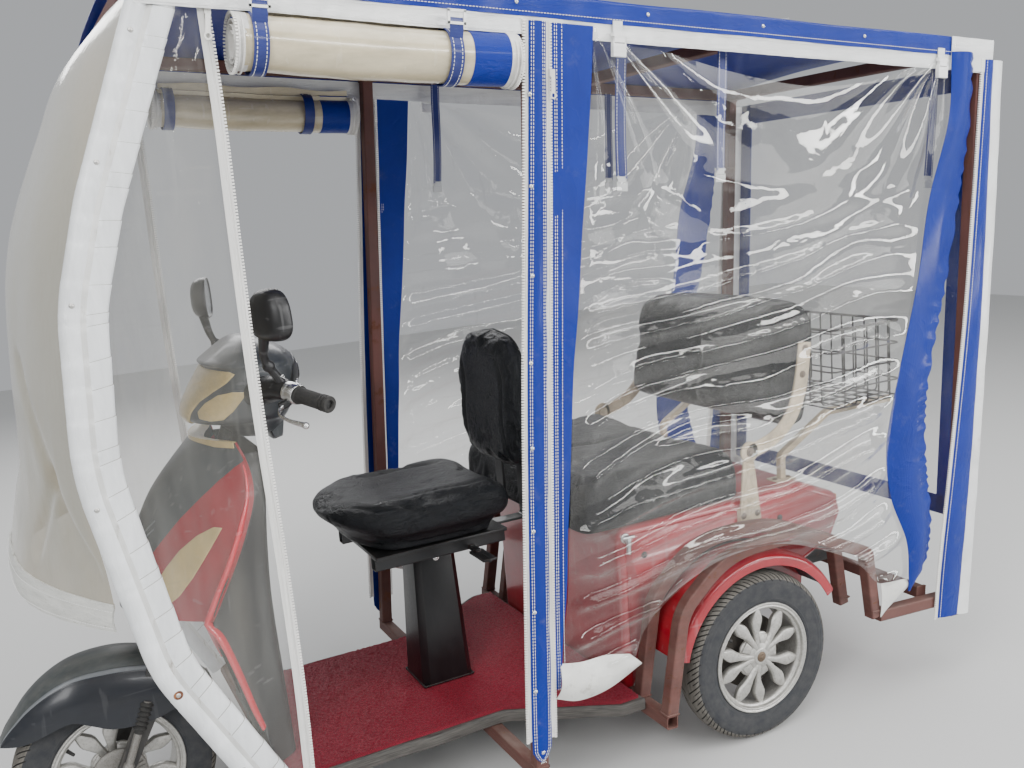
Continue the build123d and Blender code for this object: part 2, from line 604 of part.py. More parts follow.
# Sections of the head cover: forward of the bar, width, and its lower and upper edge from the bar
HEAD_SECTIONS = ((-132, 262, 5, 49), (-52, 326, -37, 109), (-8, 318, -50, 130), (48, 276, -54, 90),
                 (98, 196, -50, 30),
                 (124, 110, -44, -18))
LAMP_SIDE = ((50, 80), (150, 80), (150, -42), (98, -42), (62, 20))
LAMP_HALF_W = 68.0
SHROUD_SIDE = ((-28, 0), (-84, -46), (-58, -93), (-32, -93))


def head_section(forward: float, width: float, low: float, high: float) -> Face:
    """Rounded section of the head cover, across the vehicle."""
    centre = by_bar(forward, 0, (low + high) / 2)
    corner = min(38.0, 0.42 * (high - low))
    section = RectangleRounded(width, high - low, corner)
    return Plane(origin=centre, x_dir=(0, 1, 0), z_dir=(1, 0, 0)) * section


head_cover = loft([head_section(*row) for row in HEAD_SECTIONS])
head_cover += side([(bar_mid[0] + x, bar_mid[2] + z) for x, z in SHROUD_SIDE], 36)
head_cover -= tube(bar_path, BAR_R + 0.3, 40)
head_cover -= tube([beside(BAR_HEIGHT - 120, 0), beside(BAR_HEIGHT + 14.3, 0)], 19.3)
lamp_zone = side([(bar_mid[0] + x, bar_mid[2] + z) for x, z in LAMP_SIDE], LAMP_HALF_W)
write("headlight", head_cover & lamp_zone)
write("head_cover", head_cover - lamp_zone)

MIRROR_T = 40.0
mirrors = []
for hand in (1, -1):
    foot = along_grip(18, hand)
    stem = tube([foot, by_bar(-6.6, hand * 262, 103.7), by_bar(-3.6, hand * 318, 168.7)], 6)
    stem += tube([along_grip(9, hand), along_grip(28, hand)], 17)
    stem -= tube([along_grip(0, hand), along_grip(60, hand)], BAR_R + RUN_GAP)
    mirror_face = Plane(origin=by_bar(-30, hand * 330, 194.7), x_dir=(0, 1, 0), z_dir=(1, 0, 0))
    mirror_shell = extrude(mirror_face * RectangleRounded(114, 98, 42), amount=MIRROR_T)
    mirror_shell = fillet(mirror_shell.faces().sort_by(Axis.X)[-1].edges(), 20)
    mirrors.append(stem + mirror_shell)
write("mirrors", *mirrors)

# Canopy frame: drawn upright in its own frame, then leaned back

OUT = TUBE / 2
RAIL_MID = RAIL_TOP - TUBE / 2
OUTRIGGER_Z = 103.0
FRONT_OUTRIGGER_LEVEL = 148.95
front_foot_x = WHEELBASE - 320
FRONT_OUTRIGGER = (front_foot_x, (FRONT_OUTRIGGER_LEVEL - front_foot_x * lean_sin) / lean_cos)
FOOT_BAR = (300.0, 137.0)
LOW_RAIL_Z = 262.0
LOW_CROSS = (-510.0, 285.0)
ARCH = [(318, 137), (285, 390), (160, 505), (-60, 520), (-283, 437), (-318, LOW_RAIL_Z)]
ARCH_BENDS = [110, 230, 400, 25]
ARCH_Y = (SIDE_Y, BODY_HALF_W + 38)
ROOF_FRONT_X = WHEELBASE - 60


def post(x: float, low: float) -> Part:
    """Upright square tube from a height up to the roof rail, on the left side."""
    high = RAIL_TOP - TUBE
    return Pos(x, SIDE_Y, (low + high) / 2) * Box(TUBE, TUBE, high - low)


write("canopy_posts", *lean(*both(post(MID_POST_X, OUTRIGGER_Z + OUT), post(REAR_POST_X, 212))))

rail_front = ROOF_FRONT_X - 8
rail_length = rail_front - REAR_POST_X + OUT
roof_rail = Pos((rail_front + REAR_POST_X - OUT) / 2, SIDE_Y, RAIL_MID) * Box(rail_length, TUBE, TUBE)
low_rail_len = -318 - OUT - (REAR_POST_X + OUT)
low_rail = Pos(REAR_POST_X + OUT + low_rail_len / 2, SIDE_Y, LOW_RAIL_Z) * Box(low_rail_len, TUBE, TUBE)
write("canopy_side_rails", *lean(*both(roof_rail, low_rail)))

cross_w = 2 * (SIDE_Y - OUT)
cross_x = (rail_front - OUT, MID_POST_X, 25, REAR_POST_X)
crosses = [Pos(x, 0, RAIL_MID) * Box(TUBE, cross_w, TUBE) for x in cross_x]
crosses.append(Pos(LOW_CROSS[0], 0, LOW_CROSS[1]) * Box(TUBE, cross_w, TUBE))
write("canopy_cross_bars", *lean(*crosses))

foot_in = RAIL_Y + RAIL_SIZE / 2
foot_w = SIDE_Y + OUT - foot_in
feet = []
for x, z in ((MID_POST_X, OUTRIGGER_Z), FRONT_OUTRIGGER, (FOOT_BAR[0] + 18, FOOT_BAR[1])):
    feet.append(Pos(x, foot_in + foot_w / 2, z) * Box(TUBE, foot_w, TUBE))
write("canopy_feet", *lean(*both(*feet)))

arches = []
for y in ARCH_Y:
    arch = square_bar([(x, y, z) for x, z in ARCH], TUBE, TUBE, ARCH_BENDS)
    arch -= Pos(318, y, 100) * Box(200, 100, 2 * (FOOT_BAR[1] + OUT - 100))
    arches.append(arch)
write("canopy_arches", *lean(*both(*arches)))

HOOP = [(WHEELBASE + x, z) for x, z in ((-340, 40), (-55, 500), (42, 860), (44, 1130), (7, 1300),
                                        (-108, 1665))]
HOOP_BENDS = [300, 500, 400, 400]
hoop = square_bar([(x, SIDE_Y, z) for x, z in HOOP], TUBE, HOOP_W, HOOP_BENDS)
hoop -= Pos(HOOP[0][0], SIDE_Y, 0) * Box(600, 100, 2 * (FRONT_OUTRIGGER[1] + OUT))
hoop -= Pos(HOOP[-1][0], SIDE_Y, RAIL_TOP - TUBE + 100) * Box(400, 100, 200)
write("canopy_hoops", *lean(*both(hoop)))

# Canopy skin

band_y = SIDE_Y + OUT
skin_front = ROOF_FRONT_X
skin_rear = REAR_POST_X - OUT - 6


def roof_section(x: float) -> Face:
    """Bowed roof skin in section, with a side band folded down over each rail."""
    outer = ThreePointArc((x, -band_y - SHEET_T, RAIL_TOP + SHEET_T), (x, 0, RAIL_TOP + ROOF_CROWN + SHEET_T),
                          (x, band_y + SHEET_T, RAIL_TOP + SHEET_T))
    inner = ThreePointArc((x, band_y, RAIL_TOP), (x, 0, RAIL_TOP + ROOF_CROWN), (x, -band_y, RAIL_TOP))
    drop = RAIL_TOP - 42
    right = Polyline((x, band_y + SHEET_T, RAIL_TOP + SHEET_T), (x, band_y + SHEET_T, drop),
                     (x, band_y, drop),
                     (x, band_y, RAIL_TOP))
    left = Polyline((x, -band_y, RAIL_TOP), (x, -band_y, drop), (x, -band_y - SHEET_T, drop),
                    (x, -band_y - SHEET_T, RAIL_TOP + SHEET_T))
    return make_face([outer, right, inner, left])


roof = extrude(roof_section(skin_rear), amount=skin_front - skin_rear, dir=(1, 0, 0))
write("roof_sheet", *lean(roof))

valance = Pos((skin_front + skin_rear) / 2, band_y + SHEET_T / 2, RAIL_TOP - 42 - 17) * Box(
    skin_front - skin_rear, SHEET_T, 34)
write("roof_valance", *lean(*both(valance)))

# Height, then how far the windscreen's edges and its nose stand ahead of the front axle
SCREEN_LEVELS = ((1655, -88, -54), (1458, -10, 66), (1140, 74, 148), (810, 70, 160), (600, 30, 192),
                 (556, 22, 188))


def screen_section(z: float, edge: float, nose: float) -> Face:
    """Bowed strip of the bubble windscreen in plan at one height."""
    edge_x, nose_x = WHEELBASE + edge, WHEELBASE + nose
    half = SIDE_Y - OUT - 0.3
    outer = ThreePointArc((edge_x, -half, z), (nose_x, 0, z), (edge_x, half, z))
    inner = ThreePointArc((edge_x - SHEET_T, half, z), (nose_x - SHEET_T, 0, z), (edge_x - SHEET_T, -half, z))
    return make_face([outer, Line(outer @ 1, inner @ 0), inner, Line(inner @ 1, outer @ 0)])


screen = loft([screen_section(*level) for level in SCREEN_LEVELS], ruled=True)
write("windscreen", *lean(screen))

PANEL_TOP = 1652.0
PANEL_LOW = 200.0
ZIP_LINE = [(WHEELBASE - back, z) for back, z in ((174, PANEL_TOP), (193, 1437), (204, 1257), (218, 1051),
                                                  (233, 873),
                                                  (250, 687), (268, 436), (280, PANEL_LOW))]
ahead = WHEELBASE + 300
front_panel = side(ZIP_LINE + [(ahead, PANEL_LOW), (ahead, PANEL_TOP)], SHEET_T / 2, SIDE_Y)
front_panel -= square_bar([(x, SIDE_Y, z) for x, z in HOOP], TUBE, HOOP_W + 0.6, HOOP_BENDS)
front_panel -= side(HOOP + [(ahead, HOOP[-1][1]), (ahead, HOOP[0][1])], OUT, SIDE_Y)
write("front_side_windows", *lean(*both(front_panel)))

WINDOW_TOP = 1650.0
WINDOW_LOW = 290.0
BACK_WINDOW = (475.0, 1645.0)
window = side([(MID_POST_X - OUT, WINDOW_TOP), (MID_POST_X - OUT, WINDOW_LOW),
               (REAR_POST_X + OUT, WINDOW_LOW),
               (REAR_POST_X + OUT, WINDOW_TOP)], SHEET_T / 2, SIDE_Y)
arch_room = side(ARCH + [(ARCH[-1][0], 100)], OUT, SIDE_Y)
arch_room += square_bar([(x, SIDE_Y, z) for x, z in ARCH], TUBE, TUBE + 1, ARCH_BENDS)
window -= arch_room
back_window = Box(SHEET_T, cross_w, BACK_WINDOW[1] - BACK_WINDOW[0])
back_window = Pos(REAR_POST_X, 0, sum(BACK_WINDOW) / 2) * back_window
write("rear_windows", *lean(*both(window), back_window))

ROLL_R = 50.0
ROLL_Z = 1565.0
roll_rear, roll_front = MID_POST_X + OUT + 32, WHEELBASE - 218
roll_mid, roll_length = (roll_rear + roll_front) / 2, roll_front - roll_rear
roll = Pos(roll_mid, SIDE_Y, ROLL_Z) * Rot(0, 90, 0) * Cylinder(ROLL_R, roll_length)
roll += Pos(roll_mid, SIDE_Y, ROLL_Z + 65) * Box(roll_length, SHEET_T, 60)
write("rolled_doors", *lean(*both(roll)))

COVER_W = 76.0
COVER_LOW = 136.0
cover_edges = Polyline((MID_POST_X - COVER_W / 2, band_y, COVER_LOW + 26),
                       (MID_POST_X - COVER_W / 2, band_y, COVER_TOP),
                       (MID_POST_X + COVER_W / 2, band_y, COVER_TOP),
                       (MID_POST_X + COVER_W / 2, band_y, COVER_LOW + 26))
cover_foot = ThreePointArc(cover_edges @ 1, (MID_POST_X, band_y, COVER_LOW), cover_edges @ 0)
cover = extrude(make_face([cover_edges, cover_foot]), amount=SHEET_T, dir=(0, 1, 0))
rear_cover = flat(list(REAR_COVER), band_y, band_y + SHEET_T)
write("post_covers", *lean(*both(cover, rear_cover)))
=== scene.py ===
"""Looks of the three-wheeled canopy scooter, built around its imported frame.

Lengths are in metres. Vehicle places are measured from the ground under the rear axle, +X forward,
+Y to the vehicle's left, +Z up; canopy places are the same before the canopy's small backward lean.
"""

import logging
import math
from dataclasses import dataclass, field
from enum import Enum
from typing import Callable, Sequence

import bmesh
import bpy
import numpy as np
from mathutils import Matrix, Vector, noise


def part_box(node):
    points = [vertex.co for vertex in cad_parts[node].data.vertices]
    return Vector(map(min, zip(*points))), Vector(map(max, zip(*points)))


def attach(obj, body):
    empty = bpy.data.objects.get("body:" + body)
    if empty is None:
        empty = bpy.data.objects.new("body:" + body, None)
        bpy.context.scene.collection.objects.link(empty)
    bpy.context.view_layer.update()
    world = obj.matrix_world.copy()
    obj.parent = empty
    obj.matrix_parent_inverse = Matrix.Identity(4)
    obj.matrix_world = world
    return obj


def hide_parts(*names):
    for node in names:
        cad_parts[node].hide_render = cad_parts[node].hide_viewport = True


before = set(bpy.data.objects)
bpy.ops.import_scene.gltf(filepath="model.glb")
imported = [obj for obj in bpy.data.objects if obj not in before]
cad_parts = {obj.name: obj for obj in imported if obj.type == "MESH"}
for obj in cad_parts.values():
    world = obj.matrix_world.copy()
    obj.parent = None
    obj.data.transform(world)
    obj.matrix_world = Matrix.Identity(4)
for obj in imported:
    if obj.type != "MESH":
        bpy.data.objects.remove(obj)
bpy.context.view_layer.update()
LOG = logging.getLogger("tricycle")

Points = np.ndarray
Place = Sequence[float]

# Driving places shared by the sub-assemblies
WHEELBASE = 1.440
TYRE_R = 0.210
CANOPY_LEAN = math.radians(4.0)
STEER_RAKE = math.radians(23.0)
FORK_OFFSET = 0.0285
TUBE = 0.030
SIDE_Y = 0.470
BAND_Y = SIDE_Y + TUBE / 2
RAIL_TOP = 1.690
MID_POST_X = 0.655
REAR_POST_X = -0.605
HOOP_W = 0.075
HOOP = ((1.100, 0.040), (1.385, 0.500), (1.482, 0.860), (1.484, 1.130), (1.447, 1.300), (1.332, 1.665))
HOOP_BENDS = (0.300, 0.500, 0.400, 0.400)
ARCH = ((0.318, 0.137), (0.285, 0.390), (0.160, 0.505), (-0.060, 0.520), (-0.283, 0.437), (-0.318, 0.262))
ARCH_BENDS = (0.110, 0.230, 0.400, 0.025)

wheel_low, wheel_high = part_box("front_rim")
REAR_AXLE_X = (wheel_low.x + wheel_high.x) / 2 - WHEELBASE


class Body(Enum):
    """The moving bodies that a piece can ride on."""

    VEHICLE = "vehicle"
    STEERING = "steering"
    FRONT_WHEEL = "front_wheel"
    LEFT_WHEEL = "rear_wheel_left"
    RIGHT_WHEEL = "rear_wheel_right"
    BENCH_BACK = "bench_back"


def vehicle(points: Points) -> Points:
    """Moves vehicle places into the frame's own axes.

    Args:
        points: Array whose last axis is x, y, z.

    Returns:
        The same array shifted along X.
    """
    moved = np.array(points, float)
    moved[..., 0] += REAR_AXLE_X
    return moved


def canopy(points: Points) -> Points:
    """Leans canopy places back and moves them into the frame's own axes.

    Args:
        points: Array whose last axis is x, y, z.

    Returns:
        The leaned and shifted array.
    """
    upright = np.array(points, float)
    x, z = upright[..., 0].copy(), upright[..., 2].copy()
    upright[..., 0] = x * math.cos(CANOPY_LEAN) - z * math.sin(CANOPY_LEAN)
    upright[..., 2] = x * math.sin(CANOPY_LEAN) + z * math.cos(CANOPY_LEAN)
    return vehicle(upright)


def rake(t: float, forward: float = 0.0) -> tuple[float, float]:
    """Gives x and z beside the steering line, t up it from the front axle's level."""
    foot_x = WHEELBASE - FORK_OFFSET * math.cos(STEER_RAKE)
    foot_z = TYRE_R - FORK_OFFSET * math.sin(STEER_RAKE)
    return (foot_x - t * math.sin(STEER_RAKE) + forward * math.cos(STEER_RAKE),
            foot_z + t * math.cos(STEER_RAKE) + forward * math.sin(STEER_RAKE))


def curve_through(knots: Points, count: int) -> Points:
    """Runs a smooth curve through the knots.

    Args:
        knots: Points in order, one row each.
        count: How many points to give back.

    Returns:
        Evenly counted points of a Catmull-Rom curve.
    """
    knots = np.asarray(knots, float)
    spread = np.vstack([2 * knots[0] - knots[1], knots, 2 * knots[-1] - knots[-2]])
    at = np.linspace(0, len(knots) - 1, count)
    i = np.minimum(at.astype(int), len(knots) - 2)
    t = (at - i)[:, None]
    a, b, c, d = spread[i], spread[i + 1], spread[i + 2], spread[i + 3]
    return 0.5 * (2 * b + (c - a) * t + (2 * a - 5 * b + 4 * c - d) * t**2 + (3 * b - a - 3 * c + d) * t**3)


def filleted(points: Sequence[Place], radii: Sequence[float], turns: int = 10) -> Points:
    """Rounds the inner corners of a run of straight lines with tangent arcs.

    Args:
        points: Corners in order.
        radii: One radius for each inner corner.
        turns: Steps in each arc.

    Returns:
        Points along the rounded run.
    """
    corners = [np.asarray(p, float) for p in points]
    out = [corners[0]]
    for before, at, after, radius in zip(corners, corners[1:], corners[2:], radii):
        back, ahead = before - at, after - at
        back, ahead = back / np.linalg.norm(back), ahead / np.linalg.norm(ahead)
        half = math.acos(np.clip(back @ ahead, -1, 1)) / 2
        middle = back + ahead
        centre = at + middle / np.linalg.norm(middle) * radius / math.sin(half)
        first, last = at + back * radius / math.tan(half) - centre, at + ahead * radius / math.tan(half) - centre
        sweep = math.pi - 2 * half
        for k in range(turns + 1):
            s = sweep * k / turns
            out.append(centre + (first * math.sin(sweep - s) + last * math.sin(s)) / math.sin(sweep))
    out.append(corners[-1])
    return np.array(out)


def run_of(path: Points) -> Points:
    """Gives how far along a path each of its points lies."""
    return np.concatenate([[0.0], np.cumsum(np.linalg.norm(np.diff(path, axis=0), axis=1))])


def even(path: Points, step: float) -> Points:
    """Respaces a path to an even step.

    Args:
        path: Points in order.
        step: Wanted distance between points.

    Returns:
        Points on the same line, evenly spaced.
    """
    run = run_of(path)
    at = np.linspace(0, run[-1], max(2, round(run[-1] / step) + 1))
    return np.stack([np.interp(at, run, path[:, k]) for k in range(path.shape[1])], axis=1)


def along(path: Points) -> Points:
    """Gives the unit direction of a path at each of its points."""
    step = np.gradient(path, axis=0)
    return step / np.linalg.norm(step, axis=1, keepdims=True)


def ripple(points: Points, scale: float, seed: float = 0.0) -> Points:
    """Smooth random values at points.

    Args:
        points: Array whose last axis is x, y, z.
        scale: Waves in each metre.
        seed: Shifts the pattern.

    Returns:
        Values from about -1 to 1, one for each point.
    """
    flat = np.asarray(points, float).reshape(-1, 3) * scale + seed
    return np.array([noise.noise(Vector(p)) for p in flat]).reshape(points.shape[:-1])


class Form:
    """A mesh in the making: points, faces and a finish number for each face."""

    def __init__(self) -> None:
        """Starts with nothing in it."""
        self.points: list[Points] = []
        self.faces: list[tuple[int, ...]] = []
        self.marks: list[int] = []
        self.count = 0

    def add(self, points: Points, faces: Sequence[Sequence[int]], mark: int = 0) -> "Form":
        """Adds a set of points and faces.

        Args:
            points: The new points, one row each.
            faces: Faces by number within the new points.
            mark: Finish number of the new faces.

        Returns:
            This form.
        """
        rows = np.asarray(points, float).reshape(-1, 3)
        self.points.append(rows)
        self.faces.extend(tuple(self.count + i for i in face) for face in faces)
        self.marks.extend([mark] * len(faces))
        self.count += len(rows)
        return self

    def grid(self, rows: Points, mark: int = 0, around: bool = False, ends: bool = False) -> "Form":
        """Adds quads over rows of points.

        Args:
            rows: Array of rows, points and x, y, z.
            mark: Finish number.
            around: Whether each row closes on itself.
            ends: Whether the first and last rows get a cap.

        Returns:
            This form.
        """
        m, n = rows.shape[:2]
        last = n if around else n - 1
        faces = [(i * n + j, i * n + (j + 1) % n, (i + 1) * n + (j + 1) % n, (i + 1) * n + j)
                 for i in range(m - 1) for j in range(last)]
        if ends:
            faces.append(tuple(range(n - 1, -1, -1)))
            faces.append(tuple((m - 1) * n + j for j in range(n)))
        return self.add(rows, faces, mark)

    def slab(self, rows: Points, thick: float, mark: int = 0) -> "Form":
        """Adds a closed sheet: rows of points and a second skin behind them.

        Args:
            rows: Array of rows, points and x, y, z.
            thick: Distance to the second skin, along the surface's normal.
            mark: Finish number.

        Returns:
            This form.
        """
        across, down = np.gradient(rows, axis=1), np.gradient(rows, axis=0)
        normal = np.cross(across, down)
        normal /= np.maximum(np.linalg.norm(normal, axis=2, keepdims=True), 1e-12)
        m, n = rows.shape[:2]
        back = rows + normal * thick
        size = m * n
        faces = []
        for i in range(m - 1):
            for j in range(n - 1):
                a, b, c, d = i * n + j, i * n + j + 1, (i + 1) * n + j + 1, (i + 1) * n + j
                faces.append((a, d, c, b))
                faces.append((size + a, size + b, size + c, size + d))
        rim = [j for j in range(n)] + [i * n + n - 1 for i in range(1, m)]
        rim += [(m - 1) * n + j for j in range(n - 2, -1, -1)] + [i * n for i in range(m - 2, 0, -1)]
        faces.extend((a, b, size + b, size + a) for a, b in zip(rim, rim[1:] + rim[:1]))
        return self.add(np.concatenate([rows.reshape(-1, 3), back.reshape(-1, 3)]), faces, mark)

    def sweep(self, path: Points, section: Points, side: Place = (0, 1, 0), mark: int = 0,
              ends: bool = True, scale: Points | None = None) -> "Form":
        """Adds a section carried along a path.

        Args:
            path: Points in order.
            section: Outline points as (side, outward) distances.
            side: Direction that the section's first number follows.
            mark: Finish number.
            ends: Whether both ends are capped.
            scale: Size of the section at each point of the path.

        Returns:
            This form.
        """
        ahead = along(path)
        lateral = np.asarray(side, float) - ahead * (ahead @ np.asarray(side, float))[:, None]
        lateral /= np.linalg.norm(lateral, axis=1, keepdims=True)
        outward = np.cross(lateral, ahead)
        size = np.ones(len(path)) if scale is None else np.asarray(scale)
        rows = path[:, None, :] + size[:, None, None] * (
            section[None, :, :1] * lateral[:, None, :] + section[None, :, 1:] * outward[:, None, :])
        return self.grid(rows, mark, around=True, ends=ends)

    def rod(self, path: Sequence[Place], radius: float, sides: int = 12, mark: int = 0,
            scale: Points | None = None) -> "Form":
        """Adds a round rod along a path.

        Args:
            path: Points in order.
            radius: The rod's radius.
            sides: Faces around it.
            mark: Finish number.
            scale: Size of the rod at each point of the path.

        Returns:
            This form.
        """
        line = np.asarray(path, float)
        run = line[-1] - line[0]
        side = (0, 1, 0) if abs(run[1]) < 0.8 * np.linalg.norm(run) else (0, 0, 1)
        return self.sweep(line, circle(radius, sides), side, mark, scale=scale)

    def lathe(self, profile: Sequence[tuple[float, float]], centre: Place, axis: Place = (0, 1, 0),
              steps: int = 48, mark: int = 0) -> "Form":
        """Adds a turned shape.

        Args:
            profile: Points as (radius, distance along the axis), outside first.
            centre: Point on the axis that distances are measured from.
            axis: Direction of the axis.
            steps: Faces around it.
            mark: Finish number.

        Returns:
            This form.
        """
        line = Vector(axis).normalized()
        first = line.orthogonal().normalized()
        second = line.cross(first)
        turn = np.arange(steps) * 2 * math.pi / steps
        ring = np.outer(np.cos(turn), first) + np.outer(np.sin(turn), second)
        rows = np.array([np.asarray(centre) + r * ring + h * np.array(line) for r, h in profile])
        return self.grid(rows, mark, around=True, ends=False)

    def block(self, size: Place, centre: Place, turn: Matrix | None = None, mark: int = 0) -> "Form":
        """Adds a box, which a bevel rounds later.

        Args:
            size: Its three lengths.
            centre: Its middle.
            turn: Rotation about its middle.
            mark: Finish number.

        Returns:
            This form.
        """
        signs = [(-1, -1, -1), (1, -1, -1), (1, 1, -1), (-1, 1, -1), (-1, -1, 1), (1, -1, 1), (1, 1, 1), (-1, 1, 1)]
        corners = np.array(signs) * np.asarray(size) / 2
        if turn is not None:
            corners = corners @ np.array(turn.to_3x3()).T
        faces = [(0, 3, 2, 1), (4, 5, 6, 7), (0, 1, 5, 4), (1, 2, 6, 5), (2, 3, 7, 6), (3, 0, 4, 7)]
        return self.add(corners + np.asarray(centre), faces, mark)

    def mirrored(self) -> "Form":
        """Adds the same shape on the vehicle's other side."""
        whole = np.concatenate(self.points)
        faces, marks, size = list(self.faces), list(self.marks), self.count
        self.points.append(whole * (1, -1, 1))
        self.faces.extend(tuple(size + i for i in reversed(face)) for face in faces)
        self.marks.extend(marks)
        self.count += size
        return self

    def shift(self, move: Callable[[Points], Points]) -> "Form":
        """Moves every point by a function of the points."""
        whole = move(np.concatenate(self.points))
        self.points = [whole]
        return self

    def build(self, name: str, body: Body, finishes: Sequence["Finish"], stands_for: Sequence[str] = (),
              bevel: float = 0.0, rounds: int = 0, sharp: float = 38.0, outward: bool = True) -> bpy.types.Object:
        """Makes the Blender object and sets it on its body.

        Args:
            name: Name of the piece.
            body: Body that it rides on.
            finishes: Finishes by the faces' finish number.
            stands_for: Frame nodes that it replaces.
            bevel: Width of the rounding on sharp edges.
            rounds: Levels of subdivision.
            sharp: Angle in degrees from which an edge stays sharp.
            outward: Whether the faces are turned to face outward.

        Returns:
            The new object.
        """
        mesh = bpy.data.meshes.new(name)
        mesh.from_pydata(np.concatenate(self.points).tolist(), [], self.faces)
        mesh.polygons.foreach_set("material_index", self.marks)
        for finish in finishes:
            mesh.materials.append(finish.material())
        mesh.validate()
        piece = bpy.data.objects.new(name, mesh)
        bpy.context.scene.collection.objects.link(piece)
        if outward:
            turn_outward(mesh)
        if bevel:
            edge = piece.modifiers.new("edge", "BEVEL")
            edge.width, edge.segments, edge.limit_method, edge.angle_limit = bevel, 2, "ANGLE", math.radians(sharp)
        if rounds:
            smooth = piece.modifiers.new("rounds", "SUBSURF")
            smooth.levels = smooth.render_levels = rounds
        if bevel or rounds:
            settle(piece)
        piece.data.shade_smooth()
        piece.data.set_sharp_from_angle(angle=math.radians(sharp))
        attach(piece, body.value)
        if stands_for:
            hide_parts(*stands_for)
        LOG.info("%s: %d faces", name, len(piece.data.polygons))
        return piece


def circle(radius: float, sides: int = 12) -> Points:
    """Gives a round section."""
    turn = np.arange(sides) * 2 * math.pi / sides
    return radius * np.stack([np.cos(turn), np.sin(turn)], axis=1)


def rounded_section(wide: float, deep: float, corner: float, steps: int = 4) -> Points:
    """Gives a rectangular section with round corners.

    Args:
        wide: Length along the section's side direction.
        deep: Length outward.
        corner: Corner radius.
        steps: Points in each corner's arc, less one.

    Returns:
        Outline points in order.
    """
    out = []
    for k, (sx, sy) in enumerate(((1, 1), (-1, 1), (-1, -1), (1, -1))):
        for i in range(steps + 1):
            turn = math.pi / 2 * (k + i / steps)
            out.append((sx * (wide / 2 - corner) + corner * math.cos(turn),
                        sy * (deep / 2 - corner) + corner * math.sin(turn)))
    return np.array(out)


def turn_outward(mesh: bpy.types.Mesh) -> None:
    """Turns a mesh's faces so that they face outward."""
    work = bmesh.new()
    work.from_mesh(mesh)
    bmesh.ops.recalc_face_normals(work, faces=work.faces)
    work.to_mesh(mesh)
    work.free()


def settle(piece: bpy.types.Object) -> None:
    """Applies a piece's modifiers."""
    graph = bpy.context.evaluated_depsgraph_get()
    mesh = bpy.data.meshes.new_from_object(piece.evaluated_get(graph), preserve_all_data_layers=True, depsgraph=graph)
    piece.modifiers.clear()
    piece.data = mesh


class Nodes:
    """Adds and joins the nodes of one shader tree."""

    def __init__(self, tree: bpy.types.NodeTree) -> None:
        """Takes the tree to work in."""
        self.tree = tree

    def add(self, kind: str, inputs: dict | None = None, **settings: object) -> bpy.types.Node:
        """Adds a node.

        Args:
            kind: Node type, without its ShaderNode prefix.
            inputs: Values or sockets by input name or number.
            settings: The node's own settings.

        Returns:
            The new node.
        """
        node = self.tree.nodes.new("ShaderNode" + kind)
        for key, value in settings.items():
            setattr(node, key, value)
        for key, value in (inputs or {}).items():
            self.join(value, node.inputs[key])
        return node

    def join(self, value: object, socket: bpy.types.NodeSocket) -> None:
        """Links a socket to an input, or sets the input to a value."""
        if isinstance(value, bpy.types.NodeSocket):
            self.tree.links.new(value, socket)
        else:
            socket.default_value = value

    def math(self, operation: str, a: object, b: object = 0.0, clamp: bool = False) -> bpy.types.NodeSocket:
        """Joins two values by a sum, product or other operation."""
        return self.add("Math", {0: a, 1: b}, operation=operation, use_clamp=clamp).outputs[0]

    def mix(self, share: object, a: object, b: object) -> bpy.types.NodeSocket:
        """Mixes two colours."""
        tint = [v if isinstance(v, bpy.types.NodeSocket) else (*v, 1.0) for v in (a, b)]
        return self.add("Mix", {0: share, 6: tint[0], 7: tint[1]}, data_type="RGBA").outputs[2]

    def span(self, value: object, low: float, high: float, to_low: float = 0.0,
             to_high: float = 1.0) -> bpy.types.NodeSocket:
        """Maps a range of values to another, held at its ends."""
        return self.add("MapRange", {0: value, 1: low, 2: high, 3: to_low, 4: to_high}).outputs[0]

    def noise(self, scale: object, detail: float = 4.0, where: object = None,
              rough: float = 0.55) -> bpy.types.NodeSocket:
        """Adds a noise texture and gives its value."""
        inputs = {"Scale": scale, "Detail": detail, "Roughness": rough}
        if where is not None:
            inputs["Vector"] = where
        return self.add("TexNoise", inputs).outputs["Fac"]

    def here(self) -> bpy.types.NodeSocket:
        """Gives the place on the piece in its own axes."""
        return self.add("TexCoord").outputs["Object"]


_groups: dict[str, bpy.types.NodeTree] = {}


def node_group(name: str, inputs: dict[str, float], outputs: Sequence[str],
               make: Callable[[Nodes, dict, dict], None]) -> bpy.types.NodeTree:
    """Builds a shared effect once.

    Args:
        name: Name of the effect.
        inputs: Default value by input name.
        outputs: Names of the values that it puts out.
        make: Adds its nodes; gets the tree, the input sockets and the output sockets.

    Returns:
        The shader node group.
    """
    if name in _groups:
        return _groups[name]
    tree = bpy.data.node_groups.new(name, "ShaderNodeTree")
    for key, value in inputs.items():
        tree.interface.new_socket(key, in_out="INPUT", socket_type="NodeSocketFloat").default_value = value
    for key in outputs:
        tree.interface.new_socket(key, in_out="OUTPUT", socket_type="NodeSocketFloat")
    came, goes = tree.nodes.new("NodeGroupInput"), tree.nodes.new("NodeGroupOutput")
    make(Nodes(tree), {k: came.outputs[k] for k in inputs}, {k: goes.inputs[k] for k in outputs})
    _groups[name] = tree
    return tree


class Effect(Enum):
    """Shared surface effects."""

    WEAR = "edge_wear"
    DUST = "settled_dust"
    BLOTCH = "blotches"
    GRAIN = "leather_grain"
    WEAVE = "coated_weave"
    CREASE = "soft_creases"
    SCRATCH = "fine_scratches"
    RUST = "rust_patches"


